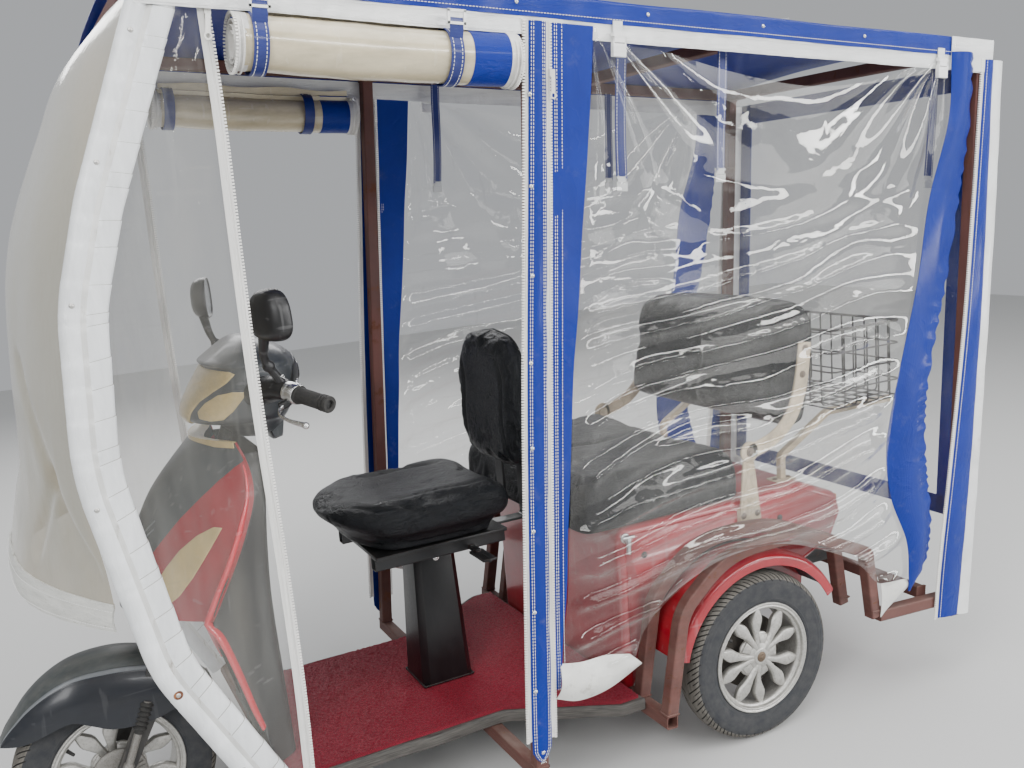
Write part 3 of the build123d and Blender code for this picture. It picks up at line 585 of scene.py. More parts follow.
def _wear(n: Nodes, a: dict, out: dict) -> None:
    """Bare or pale edges, broken up by noise."""
    soft = n.add("Bevel", {"Radius": a["Width"]}, samples=4).outputs[0]
    true = n.add("NewGeometry").outputs["Normal"]
    meet = n.add("VectorMath", {0: soft, 1: true}, operation="DOT_PRODUCT").outputs["Value"]
    edge = n.span(meet, 0.985, 0.86)
    broken = n.span(n.noise(90.0, 6.0), 0.42, 0.62)
    n.join(n.math("MULTIPLY", n.math("MULTIPLY", edge, broken), a["Amount"], clamp=True), out["Mask"])


def _dust(n: Nodes, a: dict, out: dict) -> None:
    """Dust that lies on faces that look up and gathers low down."""
    geometry = n.add("NewGeometry")
    up = n.add("SeparateXYZ", {0: geometry.outputs["Normal"]}).outputs["Z"]
    height = n.add("SeparateXYZ", {0: n.here()}).outputs["Z"]
    lies = n.span(up, 0.1, 1.0, 0.25, 1.0)
    low = n.span(height, 0.1, 0.9, 1.0, 0.35)
    patch = n.span(n.noise(n.math("MULTIPLY", a["Scale"], 1.0), 8.0, rough=0.62), 0.35, 0.72)
    n.join(n.math("MULTIPLY", n.math("MULTIPLY", n.math("MULTIPLY", lies, low), patch), a["Amount"], clamp=True),
           out["Mask"])


def _blotch(n: Nodes, a: dict, out: dict) -> None:
    """Broad uneven colour."""
    wide = n.noise(a["Scale"], 3.0)
    fine = n.noise(n.math("MULTIPLY", a["Scale"], 6.0), 6.0)
    n.join(n.span(n.math("ADD", n.math("MULTIPLY", wide, 0.7), n.math("MULTIPLY", fine, 0.3)), 0.35, 0.65), out["Mask"])


def _grain(n: Nodes, a: dict, out: dict) -> None:
    """Small raised cells of moulded leatherette."""
    bent = n.add("VectorMath", {0: n.here(), 1: n.add("VectorMath", {
        0: n.add("TexNoise", {"Scale": 160.0}).outputs["Color"], 1: (0.0016, 0.0016, 0.0016)},
        operation="MULTIPLY").outputs[0]}, operation="ADD").outputs[0]
    cells = n.add("TexVoronoi", {"Vector": bent, "Scale": a["Scale"]}, feature="DISTANCE_TO_EDGE").outputs["Distance"]
    n.join(n.span(cells, 0.0, 0.22), out["Height"])


def _weave(n: Nodes, a: dict, out: dict) -> None:
    """The cloth that shows faintly through a coated sheet."""
    place = n.add("SeparateXYZ", {0: n.here()})
    waves = []
    for key in ("X", "Y", "Z"):
        turn = n.math("MULTIPLY", place.outputs[key], a["Threads"])
        waves.append(n.math("SINE", turn))
    total = n.math("ADD", n.math("ADD", waves[0], waves[1]), waves[2])
    n.join(n.math("MULTIPLY", total, 0.33), out["Height"])


def _crease(n: Nodes, a: dict, out: dict) -> None:
    """Soft folds and sharp little creases of a handled sheet."""
    bent = n.add("TexNoise", {"Scale": n.math("MULTIPLY", a["Scale"], 0.5), "Detail": 2.0}).outputs["Color"]
    where = n.add("VectorMath", {0: n.here(), 1: n.add("VectorMath", {0: bent, 1: (0.2, 0.2, 0.2)},
                                 operation="MULTIPLY").outputs[0]}, operation="ADD").outputs[0]
    fold = n.noise(a["Scale"], 3.0, where)
    ridge = n.math("SUBTRACT", 1.0, n.math("ABSOLUTE", n.math("MULTIPLY", n.math("SUBTRACT", fold, 0.5), 6.0)),
                   clamp=True)
    n.join(n.math("ADD", fold, n.math("MULTIPLY", n.math("POWER", ridge, 3.0), 0.25)), out["Height"])
    n.join(n.math("POWER", ridge, 4.0, clamp=True), out["Mask"])


def _scratch(n: Nodes, a: dict, out: dict) -> None:
    """Thin scuffs that run in a few directions."""
    masks = []
    for scale, turn in (((60.0, 60.0, 3.0), 0.5), ((4.0, 50.0, 70.0), -0.4)):
        where = n.add("Mapping", {"Vector": n.here(), "Scale": scale, "Rotation": (turn, 0.2, turn)}).outputs[0]
        masks.append(n.span(n.noise(1.0, 2.0, where, 0.4), 0.66, 0.72))
    n.join(n.math("MULTIPLY", n.math("ADD", masks[0], masks[1]), a["Amount"], clamp=True), out["Mask"])


def _rust(n: Nodes, a: dict, out: dict) -> None:
    """Patches where rust has come through the paint."""
    patch = n.noise(a["Scale"], 8.0, rough=0.68)
    edge = n.math("SUBTRACT", 0.72, n.math("MULTIPLY", a["Amount"], 0.3))
    n.join(n.add("MapRange", {0: patch, 1: edge, 2: n.math("ADD", edge, 0.06)}).outputs[0], out["Mask"])


EFFECTS: dict[Effect, tuple[dict[str, float], tuple[str, ...], Callable]] = {
    Effect.WEAR: ({"Amount": 0.5, "Width": 0.003}, ("Mask",), _wear),
    Effect.DUST: ({"Amount": 0.5, "Scale": 9.0}, ("Mask",), _dust),
    Effect.BLOTCH: ({"Scale": 8.0}, ("Mask",), _blotch),
    Effect.GRAIN: ({"Scale": 420.0}, ("Height",), _grain),
    Effect.WEAVE: ({"Threads": 5200.0}, ("Height",), _weave),
    Effect.CREASE: ({"Scale": 9.0}, ("Height", "Mask"), _crease),
    Effect.SCRATCH: ({"Amount": 0.5}, ("Mask",), _scratch),
    Effect.RUST: ({"Amount": 0.3, "Scale": 22.0}, ("Mask",), _rust),
}


def effect(n: Nodes, which: Effect, output: str = "Mask", **values: object) -> bpy.types.NodeSocket:
    """Places a shared effect in a material.

    Args:
        n: The material's nodes.
        which: The effect.
        output: Which of its outputs is wanted.
        values: Its inputs by name.

    Returns:
        The wanted output.
    """
    inputs, outputs, make = EFFECTS[which]
    node = n.tree.nodes.new("ShaderNodeGroup")
    node.node_tree = node_group(which.value, inputs, outputs, make)
    for key, value in values.items():
        n.join(value, node.inputs[key])
    return node.outputs[output]


_materials: dict[str, bpy.types.Material] = {}


@dataclass(frozen=True)
class Finish:
    """A surface finish: a name, the record's slot, a colour and its shine."""

    name: str
    slot: str
    colour: tuple[float, float, float]
    rough: float = 0.5

    def material(self) -> bpy.types.Material:
        """Gives the Blender material, built on first use."""
        if self.name not in _materials:
            made = bpy.data.materials.new(self.name)
            made.use_nodes = True
            made.diffuse_color = (*self.colour, 1.0)
            tree = made.node_tree
            shader = next(node for node in tree.nodes if node.type == "BSDF_PRINCIPLED")
            self.dress(Nodes(tree), shader)
            _materials[self.name] = made
        return _materials[self.name]

    def dress(self, n: Nodes, shader: bpy.types.Node) -> None:
        """Fills the material's nodes.

        Args:
            n: The material's nodes.
            shader: Its surface shader.
        """
        raise NotImplementedError

    def relief(self, n: Nodes, shader: bpy.types.Node, height: object, depth: float, strength: float = 1.0) -> None:
        """Feeds a height into the shader's normal."""
        bump = n.add("Bump", {"Height": height, "Distance": depth, "Strength": strength})
        n.join(bump.outputs[0], shader.inputs["Normal"])


@dataclass(frozen=True)
class Paint(Finish):
    """Paint on steel, with rust coming through and worn edges."""

    rust: float = 0.2
    wear: float = 0.4
    dust: float = 0.35
    under: tuple[float, float, float] = (0.12, 0.045, 0.025)
    shine: float = 0.0

    def dress(self, n: Nodes, shader: bpy.types.Node) -> None:
        """Mixes paint, rust, bare edges and dust."""
        shade = effect(n, Effect.BLOTCH, Scale=7.0)
        base = n.mix(shade, tuple(c * 0.72 for c in self.colour), tuple(min(1.0, c * 1.25) for c in self.colour))
        bare = effect(n, Effect.WEAR, Amount=self.wear, Width=0.0025)
        rusty = effect(n, Effect.RUST, Amount=self.rust, Scale=24.0)
        base = n.mix(n.math("MAXIMUM", bare, rusty), base, self.under)
        dusty = effect(n, Effect.DUST, Amount=self.dust, Scale=11.0)
        base = n.mix(dusty, base, (0.36, 0.32, 0.27))
        n.join(base, shader.inputs["Base Color"])
        dull = n.math("ADD", n.math("MULTIPLY", n.math("MAXIMUM", rusty, dusty), 0.35), self.rough, clamp=True)
        n.join(n.math("ADD", dull, n.math("MULTIPLY", shade, 0.06)), shader.inputs["Roughness"])
        shader.inputs["Coat Weight"].default_value = self.shine
        shader.inputs["Coat Roughness"].default_value = 0.18
        height = n.math("ADD", n.math("MULTIPLY", rusty, 0.6), n.math("MULTIPLY", n.noise(240.0, 3.0), 0.3))
        self.relief(n, shader, height, 0.0006)


@dataclass(frozen=True)
class Plastic(Finish):
    """Moulded plastic, with scuffs, a fine texture and dust."""

    dust: float = 0.3
    scuff: float = 0.35
    texture: float = 0.25
    shine: float = 0.0

    def dress(self, n: Nodes, shader: bpy.types.Node) -> None:
        """Mixes the colour with scuffs and dust."""
        shade = effect(n, Effect.BLOTCH, Scale=5.0)
        base = n.mix(shade, tuple(c * 0.85 for c in self.colour), tuple(min(1.0, c * 1.15) for c in self.colour))
        scuffs = effect(n, Effect.SCRATCH, Amount=self.scuff)
        base = n.mix(n.math("MULTIPLY", scuffs, 0.5), base, tuple(0.5 * c + 0.25 for c in self.colour))
        dusty = effect(n, Effect.DUST, Amount=self.dust, Scale=7.0)
        base = n.mix(dusty, base, (0.38, 0.35, 0.30))
        n.join(base, shader.inputs["Base Color"])
        dull = n.math("ADD", n.math("MULTIPLY", n.math("MAXIMUM", scuffs, dusty), 0.4), self.rough, clamp=True)
        n.join(dull, shader.inputs["Roughness"])
        shader.inputs["Coat Weight"].default_value = self.shine
        shader.inputs["Coat Roughness"].default_value = 0.12
        height = n.math("ADD", n.math("MULTIPLY", n.noise(420.0, 2.0), self.texture), n.math("MULTIPLY", scuffs, -0.3))
        self.relief(n, shader, height, 0.0003 if self.texture else 0.0001)


@dataclass(frozen=True)
class CoatedSheet(Finish):
    """Coated cloth sheet: a glossy skin over a faint weave, creased and dirty."""

    dirt: float = 0.4
    dirt_colour: tuple[float, float, float] = (0.30, 0.27, 0.22)
    creases: float = 0.5
    shine: float = 0.35

    def dress(self, n: Nodes, shader: bpy.types.Node) -> None:
        """Mixes the colour with dirt and creases."""
        shade = effect(n, Effect.BLOTCH, Scale=6.0)
        base = n.mix(shade, tuple(c * 0.86 for c in self.colour), tuple(min(1.0, c * 1.1) for c in self.colour))
        spots = n.span(n.noise(26.0, 10.0, rough=0.7), 0.58, 0.74)
        height_here = n.add("SeparateXYZ", {0: n.here()}).outputs["Z"]
        low = n.span(height_here, 0.15, 0.8, 1.0, 0.3)
        dirty = n.math("MULTIPLY", n.math("MULTIPLY", spots, low), self.dirt, clamp=True)
        base = n.mix(dirty, base, self.dirt_colour)
        n.join(base, shader.inputs["Base Color"])
        n.join(n.math("ADD", n.math("MULTIPLY", dirty, 0.4), self.rough, clamp=True), shader.inputs["Roughness"])
        shader.inputs["Coat Weight"].default_value = self.shine
        shader.inputs["Specular IOR Level"].default_value = min(0.5, self.shine * 1.4)
        shader.inputs["Coat Roughness"].default_value = 0.15
        weave = effect(n, Effect.WEAVE, "Height")
        fold = effect(n, Effect.CREASE, "Height", Scale=14.0)
        height = n.math("ADD", n.math("MULTIPLY", weave, 0.05), n.math("MULTIPLY", fold, self.creases))
        self.relief(n, shader, height, 0.004)


@dataclass(frozen=True)
class ClearVinyl(Finish):
    """Clear or milky vinyl sheet: a little haze, and a skin that mirrors the light on its folds."""

    haze: float = 0.06
    cloud: float = 0.08
    folds: float = 0.5
    fold_scale: float = 7.0
    mirror: float = 1.0
    stain: tuple[float, float, float] = (0.42, 0.33, 0.20)

    def dress(self, n: Nodes, shader: bpy.types.Node) -> None:
        """Sets how much shows through; the mirror grows at grazing angles and takes the place of haze."""
        fold = effect(n, Effect.CREASE, "Height", Scale=self.fold_scale)
        fine = n.noise(30.0, 1.0)
        height = n.math("ADD", n.math("MULTIPLY", fold, self.folds), n.math("MULTIPLY", fine, 0.035))
        bump = n.add("Bump", {"Height": height, "Distance": 0.02}).outputs[0]
        n.join(bump, shader.inputs["Normal"])
        facing = n.add("LayerWeight", {"Blend": 0.5, "Normal": bump}).outputs["Facing"]
        gleam = n.math("ADD", n.math("POWER", facing, 3.0), 0.045)
        gleam = n.math("MULTIPLY", gleam, self.mirror, clamp=True)
        shade = effect(n, Effect.BLOTCH, Scale=3.0)
        scuffs = effect(n, Effect.SCRATCH, Amount=1.0)
        veil = n.math("ADD", n.math("MULTIPLY", shade, self.cloud), n.math("MULTIPLY", scuffs, 0.04))
        veil = n.math("ADD", veil, self.haze, clamp=True)
        cover = n.math("ADD", veil, gleam, clamp=True)
        n.join(cover, shader.inputs["Alpha"])
        share = n.math("DIVIDE", gleam, n.math("MAXIMUM", cover, 0.001), clamp=True)
        n.join(share, shader.inputs["Metallic"])
        dull = n.mix(n.math("MULTIPLY", n.span(n.noise(2.2, 5.0), 0.45, 0.75), 0.6), self.colour, self.stain)
        n.join(n.mix(share, dull, (0.96, 0.96, 0.94)), shader.inputs["Base Color"])
        shader.inputs["Roughness"].default_value = self.rough
        shader.inputs["Specular IOR Level"].default_value = 0.0


@dataclass(frozen=True)
class Leatherette(Finish):
    """Black leatherette with a fine grain, creases and a dusty bloom."""

    def dress(self, n: Nodes, shader: bpy.types.Node) -> None:
        """Mixes grain, creases and dust."""
        shade = effect(n, Effect.BLOTCH, Scale=9.0)
        base = n.mix(shade, self.colour, tuple(c * 1.5 + 0.002 for c in self.colour))
        dusty = effect(n, Effect.DUST, Amount=0.09, Scale=8.0)
        base = n.mix(dusty, base, (0.20, 0.18, 0.15))
        n.join(base, shader.inputs["Base Color"])
        n.join(n.math("ADD", n.math("MULTIPLY", n.math("ADD", shade, dusty), 0.12), self.rough, clamp=True),
               shader.inputs["Roughness"])
        shader.inputs["Specular IOR Level"].default_value = 0.22
        grain = effect(n, Effect.GRAIN, "Height", Scale=520.0)
        fold = effect(n, Effect.CREASE, "Height", Scale=16.0)
        self.relief(n, shader, n.math("ADD", n.math("MULTIPLY", grain, 0.10), n.math("MULTIPLY", fold, 1.2)), 0.0034)


@dataclass(frozen=True)
class Rubber(Finish):
    """Dusty rubber."""

    dust: float = 0.6

    def dress(self, n: Nodes, shader: bpy.types.Node) -> None:
        """Mixes black rubber with grey road dust."""
        dusty = n.span(n.noise(16.0, 9.0, rough=0.66), 0.36, 0.74, 0.15, 1.0)
        base = n.mix(n.math("MULTIPLY", dusty, self.dust), self.colour, (0.24, 0.225, 0.20))
        n.join(base, shader.inputs["Base Color"])
        n.join(n.math("ADD", n.math("MULTIPLY", dusty, 0.2), self.rough, clamp=True), shader.inputs["Roughness"])
        self.relief(n, shader, n.noise(500.0, 4.0), 0.0005, 0.6)


@dataclass(frozen=True)
class CastMetal(Finish):
    """Cast alloy with patches of brake dust."""

    metal: float = 0.85
    dust: float = 0.6

    def dress(self, n: Nodes, shader: bpy.types.Node) -> None:
        """Mixes metal, stains and dust."""
        shade = effect(n, Effect.BLOTCH, Scale=18.0)
        base = n.mix(shade, tuple(c * 0.8 for c in self.colour), self.colour)
        stain = n.span(n.noise(45.0, 8.0, rough=0.7), 0.50, 0.72)
        dirty = n.math("MULTIPLY", stain, self.dust, clamp=True)
        base = n.mix(dirty, base, (0.16, 0.13, 0.10))
        n.join(base, shader.inputs["Base Color"])
        n.join(n.math("SUBTRACT", self.metal, n.math("MULTIPLY", dirty, 0.6), clamp=True), shader.inputs["Metallic"])
        n.join(n.math("ADD", n.math("MULTIPLY", dirty, 0.4), self.rough, clamp=True), shader.inputs["Roughness"])
        self.relief(n, shader, n.noise(380.0, 4.0), 0.0003)


@dataclass(frozen=True)
class CoilMat(Finish):
    """Looped red vinyl mat, with painted shade down in the gaps between its loops."""

    def dress(self, n: Nodes, shader: bpy.types.Node) -> None:
        """Mixes bright loops, painted shade in the gaps, paler worn patches and deeper painted shade in scattered
        holes.
        """
        loops = n.add("TexVoronoi", {"Scale": 190.0}, feature="DISTANCE_TO_EDGE").outputs["Distance"]
        worn = effect(n, Effect.BLOTCH, Scale=5.0)
        # The gaps between loops get a darker copy of the mat's red: painted shade.
        base = n.mix(n.span(loops, 0.02, 0.3), tuple(c * 0.20 for c in self.colour), self.colour)
        base = n.mix(n.math("MULTIPLY", worn, 0.12), base, (0.42, 0.10, 0.09))
        # Scattered near-black red speckles: deeper painted shade in the holes between loops.
        base = n.mix(n.span(n.noise(140.0, 4.0, rough=0.6), 0.55, 0.64, 0.0, 0.82), base, (0.055, 0.010, 0.014))
        n.join(base, shader.inputs["Base Color"])
        shader.inputs["Roughness"].default_value = self.rough
        self.relief(n, shader, n.math("ADD", loops, n.math("MULTIPLY", n.noise(180.0, 3.0), 0.6)), 0.006)


@dataclass(frozen=True)
class Lens(Finish):
    """Tinted clear plastic over a fluted reflector."""

    def dress(self, n: Nodes, shader: bpy.types.Node) -> None:
        """Sets a glossy tinted skin with flutes, their bands of light and shade painted into the colour."""
        place = n.add("SeparateXYZ", {0: n.here()}).outputs["Z"]
        flute = n.math("SINE", n.math("MULTIPLY", place, 900.0))
        # Darker and brighter bands along the flutes: painted shade and painted highlight.
        base = n.mix(n.span(flute, -1.0, 1.0), tuple(c * 0.6 for c in self.colour), self.colour)
        n.join(base, shader.inputs["Base Color"])
        shader.inputs["Roughness"].default_value = self.rough
        shader.inputs["Coat Weight"].default_value = 1.0
        self.relief(n, shader, flute, 0.0004)


@dataclass(frozen=True)
class Stage(Finish):
    """Plain pale floor."""

    def dress(self, n: Nodes, shader: bpy.types.Node) -> None:
        """Sets a matt colour."""
        shader.inputs["Base Color"].default_value = (*self.colour, 1.0)
        shader.inputs["Roughness"].default_value = self.rough
        shader.inputs["Specular IOR Level"].default_value = 0.15


# The vehicle's finishes
FLOOR = Stage("floor_paint", "", (0.60, 0.60, 0.59), 0.9)
BLUE = CoatedSheet("blue_coated_sheet", "blue_sheet", (0.0018, 0.020, 0.235), 0.34, dirt=0.3, shine=0.12)
WHITE = CoatedSheet("white_coated_sheet", "white_sheet", (0.78, 0.79, 0.78), 0.42, dirt=0.75)
WRAP = CoatedSheet("white_tape_wrap", "white_wrap", (0.80, 0.82, 0.83), 0.30, dirt=0.35, creases=0.25)
ZIP_TAPE = CoatedSheet("zip_tape", "white_sheet", (0.74, 0.73, 0.70), 0.75, dirt=0.5, creases=0.1)
OXIDE = Paint("oxide_primer", "oxide_paint", (0.108, 0.038, 0.030), 0.62, rust=0.45, wear=0.5)
CHASSIS = Paint("worn_chassis_paint", "chassis_paint", (0.022, 0.022, 0.022), 0.6, rust=0.4)
BLACK = Paint("chipped_black_paint", "black_paint", (0.0055, 0.006, 0.007), 0.30, rust=0.10, dust=0.06)
FORK = Paint("dusty_fork_paint", "fork_paint", (0.03, 0.03, 0.03), 0.5, dust=0.5)
BEIGE = Paint("worn_beige_paint", "beige_paint", (0.52, 0.43, 0.30), 0.5, rust=0.2)
BAR = Paint("satin_bar_paint", "bar_paint", (0.012, 0.012, 0.012), 0.35, rust=0.05, dust=0.2)
WIRE = Paint("wire_coating", "wire", (0.015, 0.015, 0.016), 0.4, rust=0.1)
RED = Plastic("red_body_gloss", "red_body", (0.31, 0.004, 0.014), 0.28, shine=0.6, dust=0.16, texture=0.0)
DARK = Plastic("dark_grey_plastic", "dark_plastic", (0.040, 0.045, 0.050), 0.40, dust=0.22, texture=0.0, shine=0.2)
SOOT = Plastic("black_plastic_skin", "black_plastic", (0.012, 0.012, 0.013), 0.38, dust=0.15, texture=0.0)
SAND = Plastic("beige_insert", "beige_insert", (0.56, 0.42, 0.17), 0.32, dust=0.1, texture=0.0, shine=0.5)
MILKY = ClearVinyl("milky_vinyl", "clear_sheet", (0.26, 0.24, 0.18), 0.14, haze=0.70, cloud=0.12, folds=0.10,
                   fold_scale=3.0, mirror=0.7)
CLEAR = ClearVinyl("clear_vinyl", "clear_sheet", (0.50, 0.50, 0.46), 0.05, haze=0.03, cloud=0.10, folds=0.10,
                   mirror=0.75)
ROLLED = Plastic("rolled_vinyl", "rolled_sheet", (0.55, 0.48, 0.33), 0.22, shine=0.8, dust=0.1)
LEATHER = Leatherette("black_leatherette", "leatherette", (0.0050, 0.0058, 0.0072), 0.27)
TYRE = Rubber("road_worn_tyre", "tyre", (0.014, 0.017, 0.023), 0.70, dust=0.20)
TREAD = Rubber("dusty_tread", "tyre", (0.075, 0.068, 0.058), 0.85, dust=0.7)
HUB_CAP = CastMetal("rusty_hub_cap", "cast_alloy", (0.20, 0.15, 0.11), 0.55, dust=0.8)
DRUM = CastMetal("brake_drum", "cast_alloy", (0.12, 0.11, 0.10), 0.7, dust=0.9)
PIPING = Leatherette("seat_piping", "leatherette", (0.012, 0.012, 0.013), 0.5)
# Near-black rubber for the tread's grooves: painted shade in the grooves.
GROOVE_SHADE = Rubber("tread_groove", "tyre", (0.006, 0.006, 0.006), 0.9, dust=0.12)
# Brighter red for the bead on the leg shield's wing edge: painted highlight on the body's red.
RED_EDGE_HIGHLIGHT = Plastic("bright_red_edge", "red_body", (0.66, 0.020, 0.040), 0.24, shine=0.8, dust=0.05, texture=0.0)
GUARD_CROWN = Plastic("dusty_guard_crown", "dark_plastic", (0.040, 0.047, 0.048), 0.46, dust=0.22, scuff=0.2,
                      texture=0.0)
# Near-black navy for the front guard's flanks and the rear guards' undersides: dark plastic, darkened further as
# painted shade.
GUARD_FLANK = Plastic("navy_guard_flank", "dark_plastic", (0.006, 0.008, 0.013), 0.36, dust=0.06, scuff=0.12,
                      texture=0.0, shine=0.15)
# Pale grey for crisp moulded ribs and ridge lines on dark plastic: painted highlight.
RIB_HIGHLIGHT = Plastic("pale_rib", "dark_plastic", (0.13, 0.14, 0.15), 0.42, dust=0.1, texture=0.0)
GAUGE = Plastic("gauge_glass", "black_plastic", (0.010, 0.011, 0.013), 0.06, shine=1.0, dust=0.05, texture=0.0)
GLASS = CastMetal("mirror_glass", "black_plastic", (0.80, 0.82, 0.84), 0.04, metal=1.0, dust=0.05)
GRIP = Rubber("ribbed_grip", "grip_rubber", (0.012, 0.012, 0.012), 0.6, dust=0.15)
SILL = Rubber("deck_edging", "deck_sill", (0.016, 0.014, 0.014), 0.6, dust=0.6)
ALLOY = CastMetal("grey_cast_alloy", "cast_alloy", (0.55, 0.54, 0.51), 0.42)
DRIVE = CastMetal("dusty_cast_drive", "cast_drive", (0.30, 0.29, 0.27), 0.6, dust=0.9)
BRIGHT = CastMetal("bright_metal", "switch_metal", (0.78, 0.78, 0.77), 0.18, metal=1.0, dust=0.15)
MAT = CoilMat("red_coil_mat", "coil_mat", (0.98, 0.034, 0.105), 0.55)
AMBER = Lens("amber_lens", "lamp_lens", (0.80, 0.20, 0.02), 0.12)
CLEAR_FOLDED = ClearVinyl("clear_folded_vinyl", "clear_sheet", (0.56, 0.55, 0.50), 0.05, haze=0.01, cloud=0.04,
                          folds=0.09, fold_scale=6.0, mirror=1.0)
WHITE_DIRTY = CoatedSheet("soiled_white_sheet", "white_sheet", (0.74, 0.74, 0.70), 0.45, dirt=1.0)
# Darker, grimy tape for the crease between lobe and band: real grime, and painted shade in the crease.
CREASE_GRIME_AND_SHADE = CoatedSheet("tape_seam", "white_wrap", (0.68, 0.68, 0.66), 0.5, dirt=2.2, dirt_colour=(0.17, 0.11, 0.06),
                        creases=0.1)
GRIMY = CoatedSheet("grimy_hem", "white_sheet", (0.66, 0.66, 0.62), 0.5, dirt=2.4, dirt_colour=(0.15, 0.12, 0.07))
# Dark grey for the step at each tape lap's edge: painted shade of the step, with some grime.
TAPE_EDGE = CoatedSheet("tape_edge", "white_wrap", (0.30, 0.29, 0.26), 0.7, dirt=0.3, creases=0.0)
THREAD = Rubber("white_thread", "white_sheet", (0.82, 0.82, 0.80), 0.7, dust=0.15)
TOOTH = Plastic("zip_teeth", "white_sheet", (0.82, 0.81, 0.77), 0.4, dust=0.15, texture=0.0)
SCREW = CastMetal("screw_head", "white_wrap", (0.62, 0.61, 0.58), 0.35, metal=1.0, dust=0.4)
RUST_RING = Paint("rusted_washer", "white_wrap", (0.28, 0.11, 0.04), 0.7, rust=0.9)
STUD = CastMetal("snap_stud", "blue_sheet", (0.72, 0.73, 0.75), 0.22, metal=1.0, dust=0.1)
WEBBING = CoatedSheet("blue_webbing", "blue_sheet", (0.006, 0.018, 0.16), 0.6, dirt=0.3, creases=0.1)
BUCKLE_WHITE = Plastic("white_buckle", "white_sheet", (0.80, 0.80, 0.79), 0.3, dust=0.2)
BUCKLE_CLEAR = Plastic("clear_buckle", "white_sheet", (0.62, 0.63, 0.62), 0.2, dust=0.1, shine=0.5)

NODE_FINISHES: dict[str, Finish] = {
    "front_tyre": TYRE, "rear_tyre_left": TYRE, "rear_tyre_right": TYRE, "front_rim": ALLOY,
    "rear_rim_left": ALLOY, "rear_rim_right": ALLOY, "rear_axle": DRIVE, "rear_springs": BLACK,
    "chassis_rails": CHASSIS, "front_frame": CHASSIS, "deck_pan": SILL,
    "deck_mat": MAT, "rear_body": RED, "battery": SOOT, "rear_mudguards": RED, "tail_lamps": AMBER,
    "seat_pedestal": BLACK, "seat_frame": BLACK, "driver_cushion": LEATHER,
    "driver_backrest": LEATHER, "bench_cushion": LEATHER, "bench_backrest": LEATHER, "backrest_hinges": BEIGE,
    "backrest_arms": BEIGE, "basket_rack": BEIGE, "luggage_basket": WIRE, "leg_shield_wings": RED,
    "leg_shield_middle": DARK, "knee_panel": SOOT, "canopy_posts": OXIDE, "canopy_side_rails": OXIDE,
    "canopy_cross_bars": OXIDE, "canopy_feet": OXIDE, "canopy_arches": OXIDE, "canopy_hoops": WRAP,
    "roof_sheet": BLUE, "roof_valance": WHITE, "windscreen": MILKY, "front_side_windows": CLEAR,
    "rear_windows": CLEAR, "rolled_doors": ROLLED, "post_covers": BLUE, "front_fork": FORK,
    "front_mudguard": DARK, "handlebar": BAR, "handlebar_grips": GRIP, "bar_switches": BRIGHT,
    "head_cover": DARK, "headlight": SAND, "mirrors": SOOT,
}


